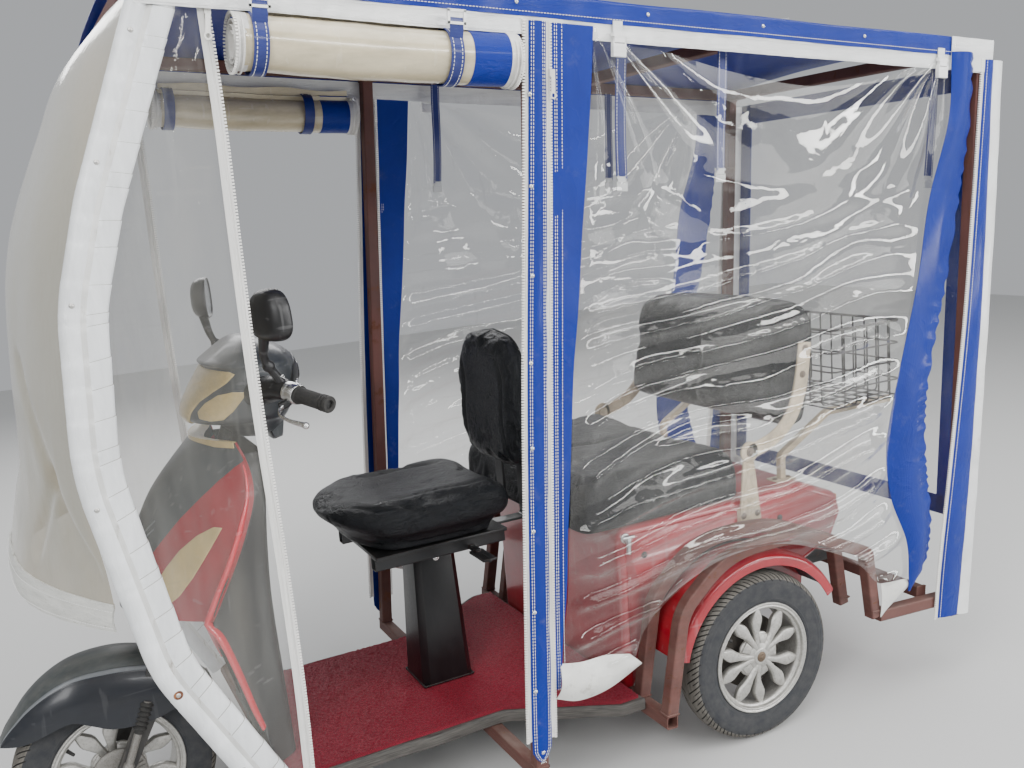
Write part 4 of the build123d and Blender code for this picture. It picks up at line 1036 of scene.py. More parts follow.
@dataclass
class Studio:
    """Pale floor, soft lights and the photograph's camera."""

    eye: tuple[float, float, float] = (1.612, 2.230, 1.245)
    focal: float = 1006.0
    image_width: float = 1024.0
    yaw: float = 27.24
    pitch: float = 8.58
    roll: float = 0.99
    floor: float = 16.0
    lights: tuple[tuple[str, tuple[float, float, float], tuple[float, float], float], ...] = (
        ("overhead", (0.2, 1.2, 4.6), (4.5, 3.5), 190.0),
        ("key", (3.6, 3.6, 3.2), (2.2, 2.6), 170.0),
        ("fill", (-3.4, 3.2, 2.6), (2.4, 2.4), 55.0),
        ("glint", (-2.4, 4.4, 2.9), (5.2, 0.34), 150.0),
        ("low_glint", (-3.6, 3.4, 0.7), (3.0, 0.22), 60.0),
        ("back", (-0.5, -4.2, 3.4), (4.0, 1.6), 135.0),
    )

    def build(self) -> None:
        """Makes the camera, the floor, the lights and the pale surroundings."""
        self.camera()
        half = self.floor / 2
        corners = np.array([[(-half, -half, 0), (half, -half, 0)], [(-half, half, 0), (half, half, 0)]], float)
        mesh = bpy.data.meshes.new("studio_floor")
        mesh.from_pydata(corners.reshape(-1, 3).tolist(), [], [(0, 1, 3, 2)])
        mesh.materials.append(FLOOR.material())
        floor = bpy.data.objects.new("studio_floor", mesh)
        bpy.context.scene.collection.objects.link(floor)
        for name, place, size, watts in self.lights:
            self.light(name, place, size, watts)
        world = bpy.data.worlds.new("studio_air")
        world.use_nodes = True
        sky = world.node_tree.nodes["Background"]
        sky.inputs["Color"].default_value = (0.80, 0.82, 0.85, 1.0)
        sky.inputs["Strength"].default_value = 0.55
        bpy.context.scene.world = world

    def light(self, name: str, place: Place, size: tuple[float, float], watts: float) -> None:
        """Adds one softbox that looks at the vehicle's middle."""
        lamp = bpy.data.lights.new(name, "AREA")
        lamp.shape, lamp.size, lamp.size_y, lamp.energy = "RECTANGLE", size[0], size[1], watts
        box = bpy.data.objects.new(name, lamp)
        box.location = place
        box.rotation_euler = (Vector((0.0, 0.0, 0.7)) - Vector(place)).to_track_quat("-Z", "Y").to_euler()
        bpy.context.scene.collection.objects.link(box)

    def camera(self) -> None:
        """Sets the camera at the photograph's place and angle."""
        yaw, pitch, roll = (math.radians(a) for a in (self.yaw, self.pitch, self.roll))
        ahead = np.array([-math.sin(yaw) * math.cos(pitch), -math.cos(yaw) * math.cos(pitch), -math.sin(pitch)])
        right = np.array([-math.cos(yaw), math.sin(yaw), 0.0])
        down = np.cross(ahead, right)
        right_rolled = right * math.cos(roll) + down * math.sin(roll)
        down_rolled = down * math.cos(roll) - right * math.sin(roll)
        axes = [self.leaned(v) for v in (right_rolled, -down_rolled, -ahead)]
        lens = bpy.data.cameras.new("photo_camera")
        lens.sensor_fit, lens.sensor_width = "HORIZONTAL", 36.0
        lens.lens = self.focal / self.image_width * lens.sensor_width
        eye = bpy.data.objects.new("photo_camera", lens)
        pose = Matrix.Identity(4)
        for k, axis in enumerate(axes):
            for i in range(3):
                pose[i][k] = axis[i]
        for i, value in enumerate(canopy(np.array(self.eye))):
            pose[i][3] = value
        eye.matrix_world = pose
        bpy.context.scene.collection.objects.link(eye)
        bpy.context.scene.camera = eye

    @staticmethod
    def leaned(direction: Points) -> Points:
        """Turns a direction by the canopy's lean."""
        x, y, z = direction
        return np.array([x * math.cos(CANOPY_LEAN) - z * math.sin(CANOPY_LEAN), y,
                         x * math.sin(CANOPY_LEAN) + z * math.cos(CANOPY_LEAN)])


def ruled(left: Points, right: Points, count: int) -> Points:
    """Fills the strip between two edges with rows of points.

    Args:
        left: Points down one edge.
        right: As many points down the other edge.
        count: Points in each row.

    Returns:
        Array of rows, points and x, y, z.
    """
    share = np.linspace(0, 1, count)[None, :, None]
    return left[:, None, :] * (1 - share) + right[:, None, :] * share


def upright(line: Sequence[tuple[float, float]], count: int, y: float = BAND_Y) -> Points:
    """Gives a smooth edge in the side view from a few (x, z) places, on the canopy's side."""
    return curve_through(np.array([(x, y, z) for x, z in line]), count)


def many_blocks(form: Form, size: Place, centres: Points, ahead: Points, out: Place, mark: int) -> None:
    """Adds many small blocks in a row, such as teeth or stitches.

    Args:
        form: The form that gets them.
        size: Lengths along the row, across it and out from the surface.
        centres: Middles, one row each.
        ahead: Direction of the row at each block.
        out: Direction out of the surface.
        mark: Finish number.
    """
    out_axis = np.asarray(out, float)
    side = np.cross(out_axis, ahead)
    side /= np.linalg.norm(side, axis=1, keepdims=True)
    signs = np.array([(-1, -1, -1), (1, -1, -1), (1, 1, -1), (-1, 1, -1), (-1, -1, 1), (1, -1, 1), (1, 1, 1),
                      (-1, 1, 1)]) / 2 * np.asarray(size)
    corners = (centres[:, None, :] + signs[None, :, :1] * ahead[:, None, :] + signs[None, :, 1:2] * side[:, None, :]
               + signs[None, :, 2:] * out_axis[None, None, :])
    quads = [(0, 3, 2, 1), (4, 5, 6, 7), (0, 1, 5, 4), (1, 2, 6, 5), (2, 3, 7, 6), (3, 0, 4, 7)]
    faces = [tuple(8 * i + j for j in quad) for i in range(len(centres)) for quad in quads]
    form.add(corners, faces, mark)


def stitches(form: Form, line: Points, out: Place, mark: int, length: float = 0.0042, gap: float = 0.0026) -> None:
    """Adds a row of thread stitches along a line."""
    spots = even(line, length + gap)
    many_blocks(form, (length, 0.0011, 0.0009), spots, along(spots), out, mark)


def stud(form: Form, centre: Place, out: Place, radius: float, mark: int) -> None:
    """Adds one domed rivet or snap."""
    form.lathe([(0.0001, radius * 0.55), (radius * 0.55, radius * 0.48), (radius * 0.9, radius * 0.2), (radius, 0.0),
                (radius, -0.001)], centre, out, 14, mark)


@dataclass
class Zip:
    """A zip's tape with coarse moulded teeth along one edge."""

    width: float = 0.020
    thick: float = 0.0014
    pitch: float = 0.0056
    tooth: tuple[float, float, float] = (0.0033, 0.0060, 0.0034)

    def lay(self, form: Form, line: Points, toward: Points, out: Place, marks: tuple[int, int]) -> None:
        """Lays the zip along a line.

        Args:
            form: The form that gets it.
            line: Where the teeth run.
            toward: From each point of the line to the tape's other edge, one metre long.
            out: Direction out of the sheet.
            marks: Finish numbers of the tape and of the teeth.
        """
        lift = np.asarray(out, float)
        shares = np.array([0.0, 0.18, 0.30, 0.42, 1.0])
        swell = np.array([0.0016, 0.0026, 0.0010, 0.0022, 0.0006])
        rows = (line[:, None, :] + shares[None, :, None] * self.width * toward[:, None, :]
                + swell[None, :, None] * lift[None, None, :])
        form.slab(rows, self.thick, marks[0])
        spots = even(line - 0.0018 * toward, self.pitch)
        spots = spots + 0.0012 * lift
        many_blocks(form, self.tooth, spots, along(spots), out, marks[1])

    @staticmethod
    def slider(form: Form, at: Place, down: Place, out: Place, mark: int) -> None:
        """Adds the slider with its long pull.

        Args:
            form: The form that gets it.
            at: Where the slider sits.
            down: Direction in which the pull hangs.
            out: Direction out of the sheet.
            mark: Finish number.
        """
        place, low, lift = (np.asarray(v, float) for v in (at, down, out))
        many_blocks(form, (0.014, 0.011, 0.007), (place + 0.003 * lift)[None], low[None], out, mark)
        many_blocks(form, (0.030, 0.0085, 0.0022), (place + 0.022 * low + 0.008 * lift)[None], low[None], out, mark)
        ring = [(0.0068, -0.0012), (0.0068, 0.0012), (0.0040, 0.0012), (0.0040, -0.0012), (0.0068, -0.0012)]
        form.lathe(ring, place + 0.042 * low + 0.008 * lift, out, 18, mark)


@dataclass
class Buckle:
    """Side-release buckle on its webbing."""

    width: float = 0.030
    height: float = 0.052
    deep: float = 0.010

    def add(self, form: Form, centre: Place, out: Place, mark: int) -> None:
        """Adds the buckle's two halves and its prongs, standing upright.

        Args:
            form: The form that gets it.
            centre: Its middle.
            out: Direction out of the webbing.
            mark: Finish number.
        """
        lift, up = np.asarray(out, float), np.array([0.0, 0.0, 1.0])
        side = np.cross(up, lift)
        middle = np.asarray(centre, float) + lift * self.deep / 2
        for offset, tall, wide, deep in ((-0.13, 0.48, 1.0, 1.0), (0.26, 0.22, 0.78, 0.8), (0.44, 0.14, 1.0, 0.9)):
            size = (self.height * tall, self.width * wide, self.deep * deep)
            many_blocks(form, size, (middle + up * self.height * offset)[None], up[None], out, mark)
        for hand in (-1, 1):
            prong = middle + side * hand * self.width * 0.46 + up * self.height * 0.02
            many_blocks(form, (self.height * 0.34, 0.0030, self.deep * 0.8), prong[None], up[None], out, mark)


@dataclass
class Hoops:
    """Front hoops: a smooth outer lobe beside an inner band, wound with tape."""

    low: float = 0.086
    high: float = RAIL_TOP - TUBE
    step: float = 0.011
    lobe_r: float = 0.0186
    crease: float = 0.0005
    lip: float = 0.0013
    slant: float = 0.22
    laps: tuple[float, ...] = (0.052, 0.046, 0.058, 0.019, 0.049, 0.061, 0.043, 0.056, 0.024, 0.050)
    screws: tuple[float, ...] = (0.035, 0.150, 0.265, 0.480, 0.680, 0.815, 0.945)
    rusted: int = 2

    def line(self) -> Points:
        """Gives the middle of the left hoop."""
        path = even(filleted([(x, SIDE_Y, z) for x, z in HOOP], HOOP_BENDS, 24), 0.004)
        return path[(path[:, 2] >= self.low) & (path[:, 2] <= self.high)]

    def section(self) -> Points:
        """Gives the section as (across the vehicle, outward) places, from the inner edge round."""
        inner = -HOOP_W / 2
        band = [(0.0, inner), (0.0104, inner + 0.0008), (0.0142, inner + 0.0055), (0.0148, inner + 0.017),
                (0.0147, inner + 0.027), (0.0142, self.crease - 0.004), (0.0131, self.crease)]
        middle = HOOP_W / 2 - self.lobe_r
        turns = np.radians(np.linspace(-46, 90, 11))
        half = band + [(self.lobe_r * 0.86 * math.cos(a), middle + self.lobe_r * math.sin(a)) for a in turns]
        return np.array(half + [(-y, v) for y, v in reversed(half[1:-1])])

    def stations(self, length: float) -> tuple[Points, Points, Points]:
        """Works out where the rings of points lie along the hoop.

        Args:
            length: The hoop's length.

        Returns:
            Distances along the hoop, the tape's height at each, and whether a ring starts a lap's edge.
        """
        places, heights, edges = [0.0], [0.0], [False]
        at, k = 0.03, 0
        while at < length - 0.02:
            start = places[-1]
            gap = at - start
            for i in range(1, max(2, round(gap / self.step))):
                places.append(start + gap * i / max(2, round(gap / self.step)))
                heights.append(self.lip * i / max(2, round(gap / self.step)))
                edges.append(False)
            places += [at - 0.0004, at + 0.0004]
            heights += [self.lip, 0.0]
            edges += [True, False]
            at += self.laps[k % len(self.laps)]
            k += 1
        places.append(length)
        heights.append(0.0)
        edges.append(False)
        return np.array(places), np.array(heights), np.array(edges)

    def build(self) -> None:
        """Makes both hoops and their screws."""
        path, section = self.line(), self.section()
        run = run_of(path)
        outward = np.cross((0.0, 1.0, 0.0), along(path))
        places, heights, edges = self.stations(run[-1])
        inner = np.clip(self.crease - section[:, 1], 0, None)
        share = 0.25 + 0.75 * np.clip(inner / 0.004, 0, 1)
        where = np.clip(places[:, None] + self.slant * inner[None, :], 0, run[-1])
        beside = np.roll(section, -1, axis=0) - np.roll(section, 1, axis=0)
        normal = np.stack([-beside[:, 1], beside[:, 0]], axis=1)
        normal /= -np.linalg.norm(normal, axis=1, keepdims=True)
        lift = heights[:, None] * share[None, :]
        spread = section[None, :, 0] + lift * normal[None, :, 0]
        reach = section[None, :, 1] + lift * normal[None, :, 1]
        rows = np.zeros((*where.shape, 3))
        rows[..., 0] = np.interp(where, run, path[:, 0]) + reach * np.interp(where, run, outward[:, 0])
        rows[..., 1] = SIDE_Y + spread
        rows[..., 2] = np.interp(where, run, path[:, 2]) + reach * np.interp(where, run, outward[:, 2])
        rows[..., 1] += np.sign(spread) * 0.0007 * ripple(rows, 16.0, 4.0)
        form = Form().grid(rows, 0, around=True, ends=True)
        size, seam = len(section), (5, 6)
        for index in range((len(places) - 1) * size):
            column = index % size
            # The crease between lobe and band: grime and painted shade.
            if column in seam or size - 1 - column in seam:
                form.marks[index] = 1
            # Each lap's edge step: dark grey painted shade, with some grime.
            elif edges[index // size] and (column < 6 or column > size - 7):
                form.marks[index] = 4
        for k, along_share in enumerate(self.screws):
            i = int(along_share * (len(path) - 1))
            spot = path[i] + outward[i] * (HOOP_W / 2 - self.lobe_r) + (0, self.lobe_r * 0.86 - 0.0008, 0)
            form.lathe([(0.0001, 0.0026), (0.0028, 0.0022), (0.0044, 0.0010), (0.0047, 0.0)], spot, (0, 1, 0), 16, 2)
            if k == self.rusted:
                form.lathe([(0.0001, 0.0013), (0.0078, 0.0011), (0.0086, -0.0006)], spot, (0, 1, 0), 18, 3)
        form.mirrored().shift(canopy)
        form.build("hoop_wraps", Body.VEHICLE, [WRAP, CREASE_GRIME_AND_SHADE, SCREW, RUST_RING, TAPE_EDGE], ["canopy_hoops"],
                   sharp=50)


@dataclass
class Bubble:
    """Bowed milky windscreen between the hoops, with its dirty white hem."""

    levels: tuple[tuple[float, float, float], ...] = (
        (1.655, 1.352, 1.386), (1.560, 1.392, 1.462), (1.458, 1.430, 1.506), (1.290, 1.478, 1.566),
        (1.140, 1.500, 1.588), (0.960, 1.506, 1.594), (0.810, 1.500, 1.598), (0.690, 1.478, 1.618),
        (0.620, 1.468, 1.630))
    half: float = 0.4545
    # Ends of each crease as (share of the half width, height), its depth and its width
    creases: tuple[tuple[tuple[float, float], tuple[float, float], float, float], ...] = (
        ((0.35, 1.02), (0.70, 0.83), 0.010, 0.020), ((0.70, 0.83), (0.94, 0.68), 0.013, 0.017),
        ((0.70, 0.83), (0.52, 0.68), 0.009, 0.019), ((-0.30, 1.10), (-0.62, 0.80), 0.008, 0.024))
    rows: int = 110
    cols: int = 110
    hem: float = 0.042

    def surface(self) -> Points:
        """Gives the screen's rows of points from top to bottom."""
        knots = curve_through(np.array(self.levels), self.rows)
        share = np.linspace(-1, 1, self.cols)
        out = np.zeros((self.rows, self.cols, 3))
        for i, (z, edge, nose) in enumerate(knots):
            depth = nose - edge
            out[i, :, 0] = edge + depth * (1 - np.abs(share) ** 2.15)
            out[i, :, 1] = share * self.half
            out[i, :, 2] = z
        fade = (1 - share**2)[None, :] * np.clip((1.655 - out[..., 2]) / 0.3, 0, 1)
        soft = ripple(out * (1.0, 1.0, 0.55), 4.2, 3.0) * 0.012 + ripple(out, 11.0, 8.0) * 0.0028
        out[..., 0] += soft * fade - 0.006 * fade
        for (u0, z0), (u1, z1), deep, wide in self.creases:
            run = np.array([(u1 - u0) * self.half, z1 - z0])
            off = np.stack([(share[None, :] - u0) * self.half + 0 * out[..., 2], out[..., 2] - z0], axis=-1)
            t = np.clip((off @ run) / (run @ run), 0, 1)
            gap = np.linalg.norm(off - t[..., None] * run, axis=-1)
            out[..., 0] -= deep * np.exp(-(gap / wide) ** 2) * np.minimum(1, (1 - share**2)[None, :] * 6)
        return out

    def build(self) -> None:
        """Makes the screen and its hem."""
        skin = self.surface()
        screen = Form().grid(skin).shift(canopy).build(
            "bubble_windscreen", Body.VEHICLE, [MILKY], ["windscreen"], sharp=180, outward=False)
        low = skin[-1]
        droop = 0.012 * np.cos(np.linspace(-1, 1, self.cols) * math.pi / 2)
        rows = []
        for k, share in enumerate(np.linspace(-0.35, 1, 9)):
            line = low.copy()
            line[:, 2] -= share * (self.hem + droop) * (1 if share > 0 else 0.5)
            line[:, 0] += 0.0022 + 0.0035 * math.sin(math.pi * max(0.0, share))
            line[:, 0] += 0.0022 * ripple(line + (0, 0, k * 0.01), 24.0, 2.0)
            rows.append(line)
        hem = Form().slab(np.array(rows), 0.0035, 0)
        for share in (0.12, 0.82):
            line = low.copy()
            line[:, 0] += 0.0072
            line[:, 2] -= share * (self.hem + droop)
            stitches(hem, line, (1, 0, 0), 1)
        hem.shift(canopy).build("windscreen_hem", Body.VEHICLE, [GRIMY, THREAD], sharp=60)


@dataclass
class FrontWindows:
    """Clear panels between the hoops and the front zips."""

    zip_line: tuple[tuple[float, float], ...] = (
        (1.266, 1.652), (1.246, 1.437), (1.234, 1.257), (1.219, 1.051), (1.203, 0.873), (1.184, 0.687),
        (1.162, 0.436), (1.148, 0.200))
    rows: int = 120
    cols: int = 40

    def build(self) -> None:
        """Makes the panels, their zips and the zip sliders."""
        edge = upright(self.zip_line, self.rows, SIDE_Y)
        hoop = Hoops().line()
        order = np.argsort(hoop[:, 2])
        inner = np.interp(edge[:, 2], hoop[order, 2], hoop[order, 0]) - HOOP_W / 2 / 0.95
        front = edge.copy()
        front[:, 0] = np.maximum(inner, edge[:, 0] + 0.004)
        rows = ruled(edge, front, self.cols)
        share = np.sin(np.linspace(0, 1, self.cols) * math.pi)[None, :]
        fold = np.sin((rows[..., 2] * 22 + rows[..., 0] * 34) + 2.2 * ripple(rows, 3.0)) * 0.0028
        rows[..., 1] += (0.009 * ripple(rows, 4.0, 5.0) + fold) * share - 0.003 * share
        left = Form().grid(rows)
        left.mirrored().shift(canopy)
        panel = left.build("front_clear_panels", Body.VEHICLE, [CLEAR], ["front_side_windows"], sharp=180,
                           outward=False)
        form = Form()
        toward = np.tile((1.0, 0.0, 0.0), (self.rows, 1))
        wide = Zip(width=0.0165)
        line = edge + (-0.004, 0.003, 0.0)
        wide.lay(form, line, toward, (0, 1, 0), (0, 1))
        wide.slider(form, line[3], (0.05, 0, -1), (0, 1, 0), 1)
        form.mirrored().shift(canopy).build("front_zips", Body.VEHICLE, [ZIP_TAPE, TOOTH], sharp=40)


@dataclass
class RolledDoors:
    """Side doors rolled up under the roof and held by two straps each."""

    rear: float = 0.694
    front: float = 1.222
    centre_z: float = 1.565
    outer_r: float = 0.0470
    inner_r: float = 0.016
    turns: float = 3.2
    strap_at: tuple[float, float] = (0.829, 1.182)
    strap_w: float = 0.026
    blue_to: float = 0.792

    def spiral(self, grow: float = 0.0, seed: float = 0.0) -> Points:
        """Gives the wound section as (y, z) places, from the outside in."""
        turn = np.linspace(0, self.turns * 2 * math.pi, int(self.turns * 36))
        radius = self.outer_r + grow - (self.outer_r - self.inner_r) * turn / turn[-1]
        radius = radius * (1 + 0.03 * np.sin(turn * 1.7 + seed))
        angle = math.pi * 0.62 - turn
        return np.stack([radius * np.cos(angle), radius * np.sin(angle) * 1.04], axis=1)

    def skin(self, form: Form, x0: float, x1: float, grow: float, mark: int, steps: int) -> None:
        """Adds a length of the roll."""
        section = self.spiral(grow)
        lines = []
        for x in np.linspace(x0, x1, steps):
            loose = 1 + 0.018 * math.sin(x * 23.0) + 0.010 * math.sin(x * 61.0)
            sag = -0.004 * math.sin(math.pi * (x - self.rear) / (self.front - self.rear))
            lines.append([(x, SIDE_Y + y * loose, self.centre_z + sag + z * (2 - loose)) for y, z in section])
        form.slab(np.array(lines), -0.0016, mark)

    def ring(self, form: Form, x: float, wide: float, radius: float, mark: int) -> None:
        """Adds a band round the roll."""
        turn = np.linspace(0, 2 * math.pi, 49)[:-1]
        rows = [[(x + dx, SIDE_Y + r * math.cos(a), self.centre_z + r * math.sin(a)) for a in turn]
                for dx, r in ((-wide / 2, radius - 0.002), (-wide / 2, radius), (wide / 2, radius),
                              (wide / 2, radius - 0.002), (-wide / 2, radius - 0.002))]
        form.grid(np.array(rows), mark, around=True)

    def build(self) -> None:
        """Makes the rolls with their zip edges, blue ends, straps and buckles."""
        form = Form()
        self.skin(form, self.rear + 0.012, self.front - 0.012, 0.0, 0, 26)
        self.skin(form, self.rear + 0.010, self.blue_to, 0.0011, 1, 6)
        for x, sign in ((self.rear, 1), (self.front, -1)):
            self.skin(form, x, x + sign * 0.022, 0.0016, 2, 3)
            for k in range(2):
                self.ring(form, x + sign * (0.004 + 0.008 * k), 0.0026, self.outer_r + 0.0036, 2)
            turn = np.arange(0, 2 * math.pi, 0.0056 / self.outer_r)
            radius = self.outer_r + 0.0024
            spots = np.stack([np.full_like(turn, x), SIDE_Y + radius * np.cos(turn),
                              self.centre_z + radius * np.sin(turn)], axis=1)
            many_blocks(form, (0.0030, 0.0030, 0.0042), spots, along(spots), (1, 0, 0), 3)
        self.flap(form)
        for x in self.strap_at:
            self.strap(form, x)
        form.mirrored().shift(canopy)
        roll = form.build("rolled_side_doors", Body.VEHICLE,
                          [ROLLED, BLUE, ZIP_TAPE, TOOTH, WEBBING, THREAD, BUCKLE_WHITE], ["rolled_doors"], sharp=60)

    def flap(self, form: Form) -> None:
        """Adds the sheet that runs from the roof rail down onto the roll."""
        xs = np.linspace(self.rear + 0.02, self.front - 0.02, 24)
        drop = [(0.0, 0.0), (0.004, -0.030), (0.012, -0.052), (0.030, -0.066)]
        rows = np.array([[(x, SIDE_Y - 0.012 + dy, RAIL_TOP - 0.062 + dz + 0.003 * math.sin(x * 30))
                          for x in xs] for dy, dz in drop])
        form.slab(rows, 0.0014, 0)

    def strap(self, form: Form, x: float) -> None:
        """Adds one strap round the roll, up to its buckle on the roof band."""
        radius = self.outer_r + 0.0050
        self.ring(form, x, self.strap_w, radius, 4)
        turn = np.linspace(-0.5 * math.pi, 0.62 * math.pi, 60)
        for dx in (-0.008, 0.008):
            line = np.stack([np.full_like(turn, x + dx), SIDE_Y + (radius + 0.0004) * np.cos(turn),
                             self.centre_z + (radius + 0.0004) * np.sin(turn)], axis=1)
            spots = even(line, 0.0068)
            facing = spots - (0, SIDE_Y, self.centre_z)
            facing[:, 0] = 0
            for spot, ahead, out in zip(spots, along(spots), facing / np.linalg.norm(facing, axis=1, keepdims=True)):
                many_blocks(form, (0.0042, 0.0011, 0.0009), spot[None], ahead[None], out, 5)
        top = self.centre_z + radius * 0.55
        tail = np.array([[(x + dx, SIDE_Y + radius * 0.80 + dy, z) for dx in (-self.strap_w / 2, self.strap_w / 2)]
                         for dy, z in ((0.0, top - 0.004), (0.004, top + 0.012), (0.002, top + 0.034))])
        form.slab(tail, -0.0018, 4)
        frame_w, bar = self.strap_w + 0.010, 0.0045
        middle = np.array([x, SIDE_Y + radius * 0.80 + 0.005, top + 0.034])
        up = np.array([[0.0, 0.0, 1.0]])
        for dz in (-0.010, 0.012):
            many_blocks(form, (bar, frame_w, bar), (middle + (0, 0, dz))[None], up, (0, 1, 0), 6)
        for dx in (-1, 1):
            many_blocks(form, (0.026, bar, bar), (middle + (dx * (frame_w - bar) / 2, 0, 0))[None], up, (0, 1, 0), 6)


@dataclass
class PostCovers:
    """Blue strips over the side posts, with zips and double stitching."""

    top: float = 1.640
    rows: int = 110

    def build(self) -> None:
        """Makes the centre covers, the rear covers and their zips."""
        form = Form()
        self.centre(form)
        self.rear(form)
        form.mirrored().shift(canopy)
        covers = form.build("post_cover_strips", Body.VEHICLE, [BLUE, ZIP_TAPE, TOOTH, THREAD, STUD, WHITE],
                            ["post_covers"], sharp=50)

    def strip(self, form: Form, left: Points, right: Points, lift: float, mark: int, cols: int = 7) -> Points:
        """Adds a strip of sheet between two edges, a little bowed outward."""
        rows = ruled(left, right, cols)
        bow = np.sin(np.linspace(0, math.pi, cols))[None, :]
        rows[..., 1] += lift + 0.0035 * bow + 0.0016 * ripple(rows, 12.0, 6.0)
        form.slab(rows, -0.0016, mark)
        return rows

    def centre(self, form: Form) -> None:
        """Adds the cover of the centre post, rounded at its foot."""
        front = upright([(0.668, self.top), (0.674, 1.306), (0.682, 0.915), (0.684, 0.499), (0.683, 0.200),
                         (0.677, 0.155), (0.662, 0.138)], self.rows)
        rear = upright([(0.632, self.top), (0.634, 1.306), (0.638, 0.909), (0.639, 0.488), (0.637, 0.205),
                        (0.642, 0.158), (0.655, 0.138)], self.rows)
        self.strip(form, front, rear, 0.0050, 0)
        for line, hand in ((front, 1.0), (rear, -1.0)):
            keep = line[:, 2] > 0.185
            edge = line[keep] + (0.0085 * hand, 0.0042, 0.0)
            toward = np.tile((-hand, 0.0, 0.0), (len(edge), 1))
            Zip(width=0.0095).lay(form, edge, toward, (0, 1, 0), (1, 2))
            for inset in (0.004, 0.0085):
                stitches(form, line + (-inset * hand, 0.0102 if inset > 0.005 else 0.0094, 0.0), (0, 1, 0), 3)
        Zip().slider(form, (0.622, BAND_Y + 0.008, 1.545), (0, 0, -1), (0, 1, 0), 1)
        for z in np.arange(0.30, 1.55, 0.172):
            stud(form, (0.669 + 0.006 * (z < 1.0), BAND_Y + 0.0098, z), (0, 1, 0), 0.0048, 4)
        stud(form, (0.659, BAND_Y + 0.009, 0.160), (0, 1, 0), 0.0050, 4)

    def rear(self, form: Form) -> None:
        """Adds the cover of the rear post: a zip, a blue strip and a white outer edge."""
        first = upright([(-0.608, 1.645), (-0.600, 1.305), (-0.588, 0.978), (-0.561, 0.615), (-0.541, 0.376),
                         (-0.534, 0.220)], self.rows)
        blue_end = upright([(-0.636, 1.645), (-0.641, 1.305), (-0.640, 0.975), (-0.630, 0.607), (-0.617, 0.363),
                            (-0.607, 0.216)], self.rows)
        last = upright([(-0.672, 1.645), (-0.676, 1.305), (-0.672, 0.972), (-0.664, 0.600), (-0.656, 0.355),
                        (-0.652, 0.212)], self.rows)
        self.strip(form, first, blue_end, 0.0045, 0)
        self.strip(form, blue_end, last, 0.0030, 5, 5)
        wrap = ruled(last, last + (0.004, -0.046, 0.0), 4)
        wrap[..., 1] += 0.002
        form.slab(wrap, -0.0016, 5)
        edge = first + (0.009, 0.004, 0.0)
        Zip(width=0.011).lay(form, edge, np.tile((-1.0, 0.0, 0.0), (self.rows, 1)), (0, 1, 0), (1, 2))
        stitches(form, first + (-0.005, 0.0090, 0.0), (0, 1, 0), 3)


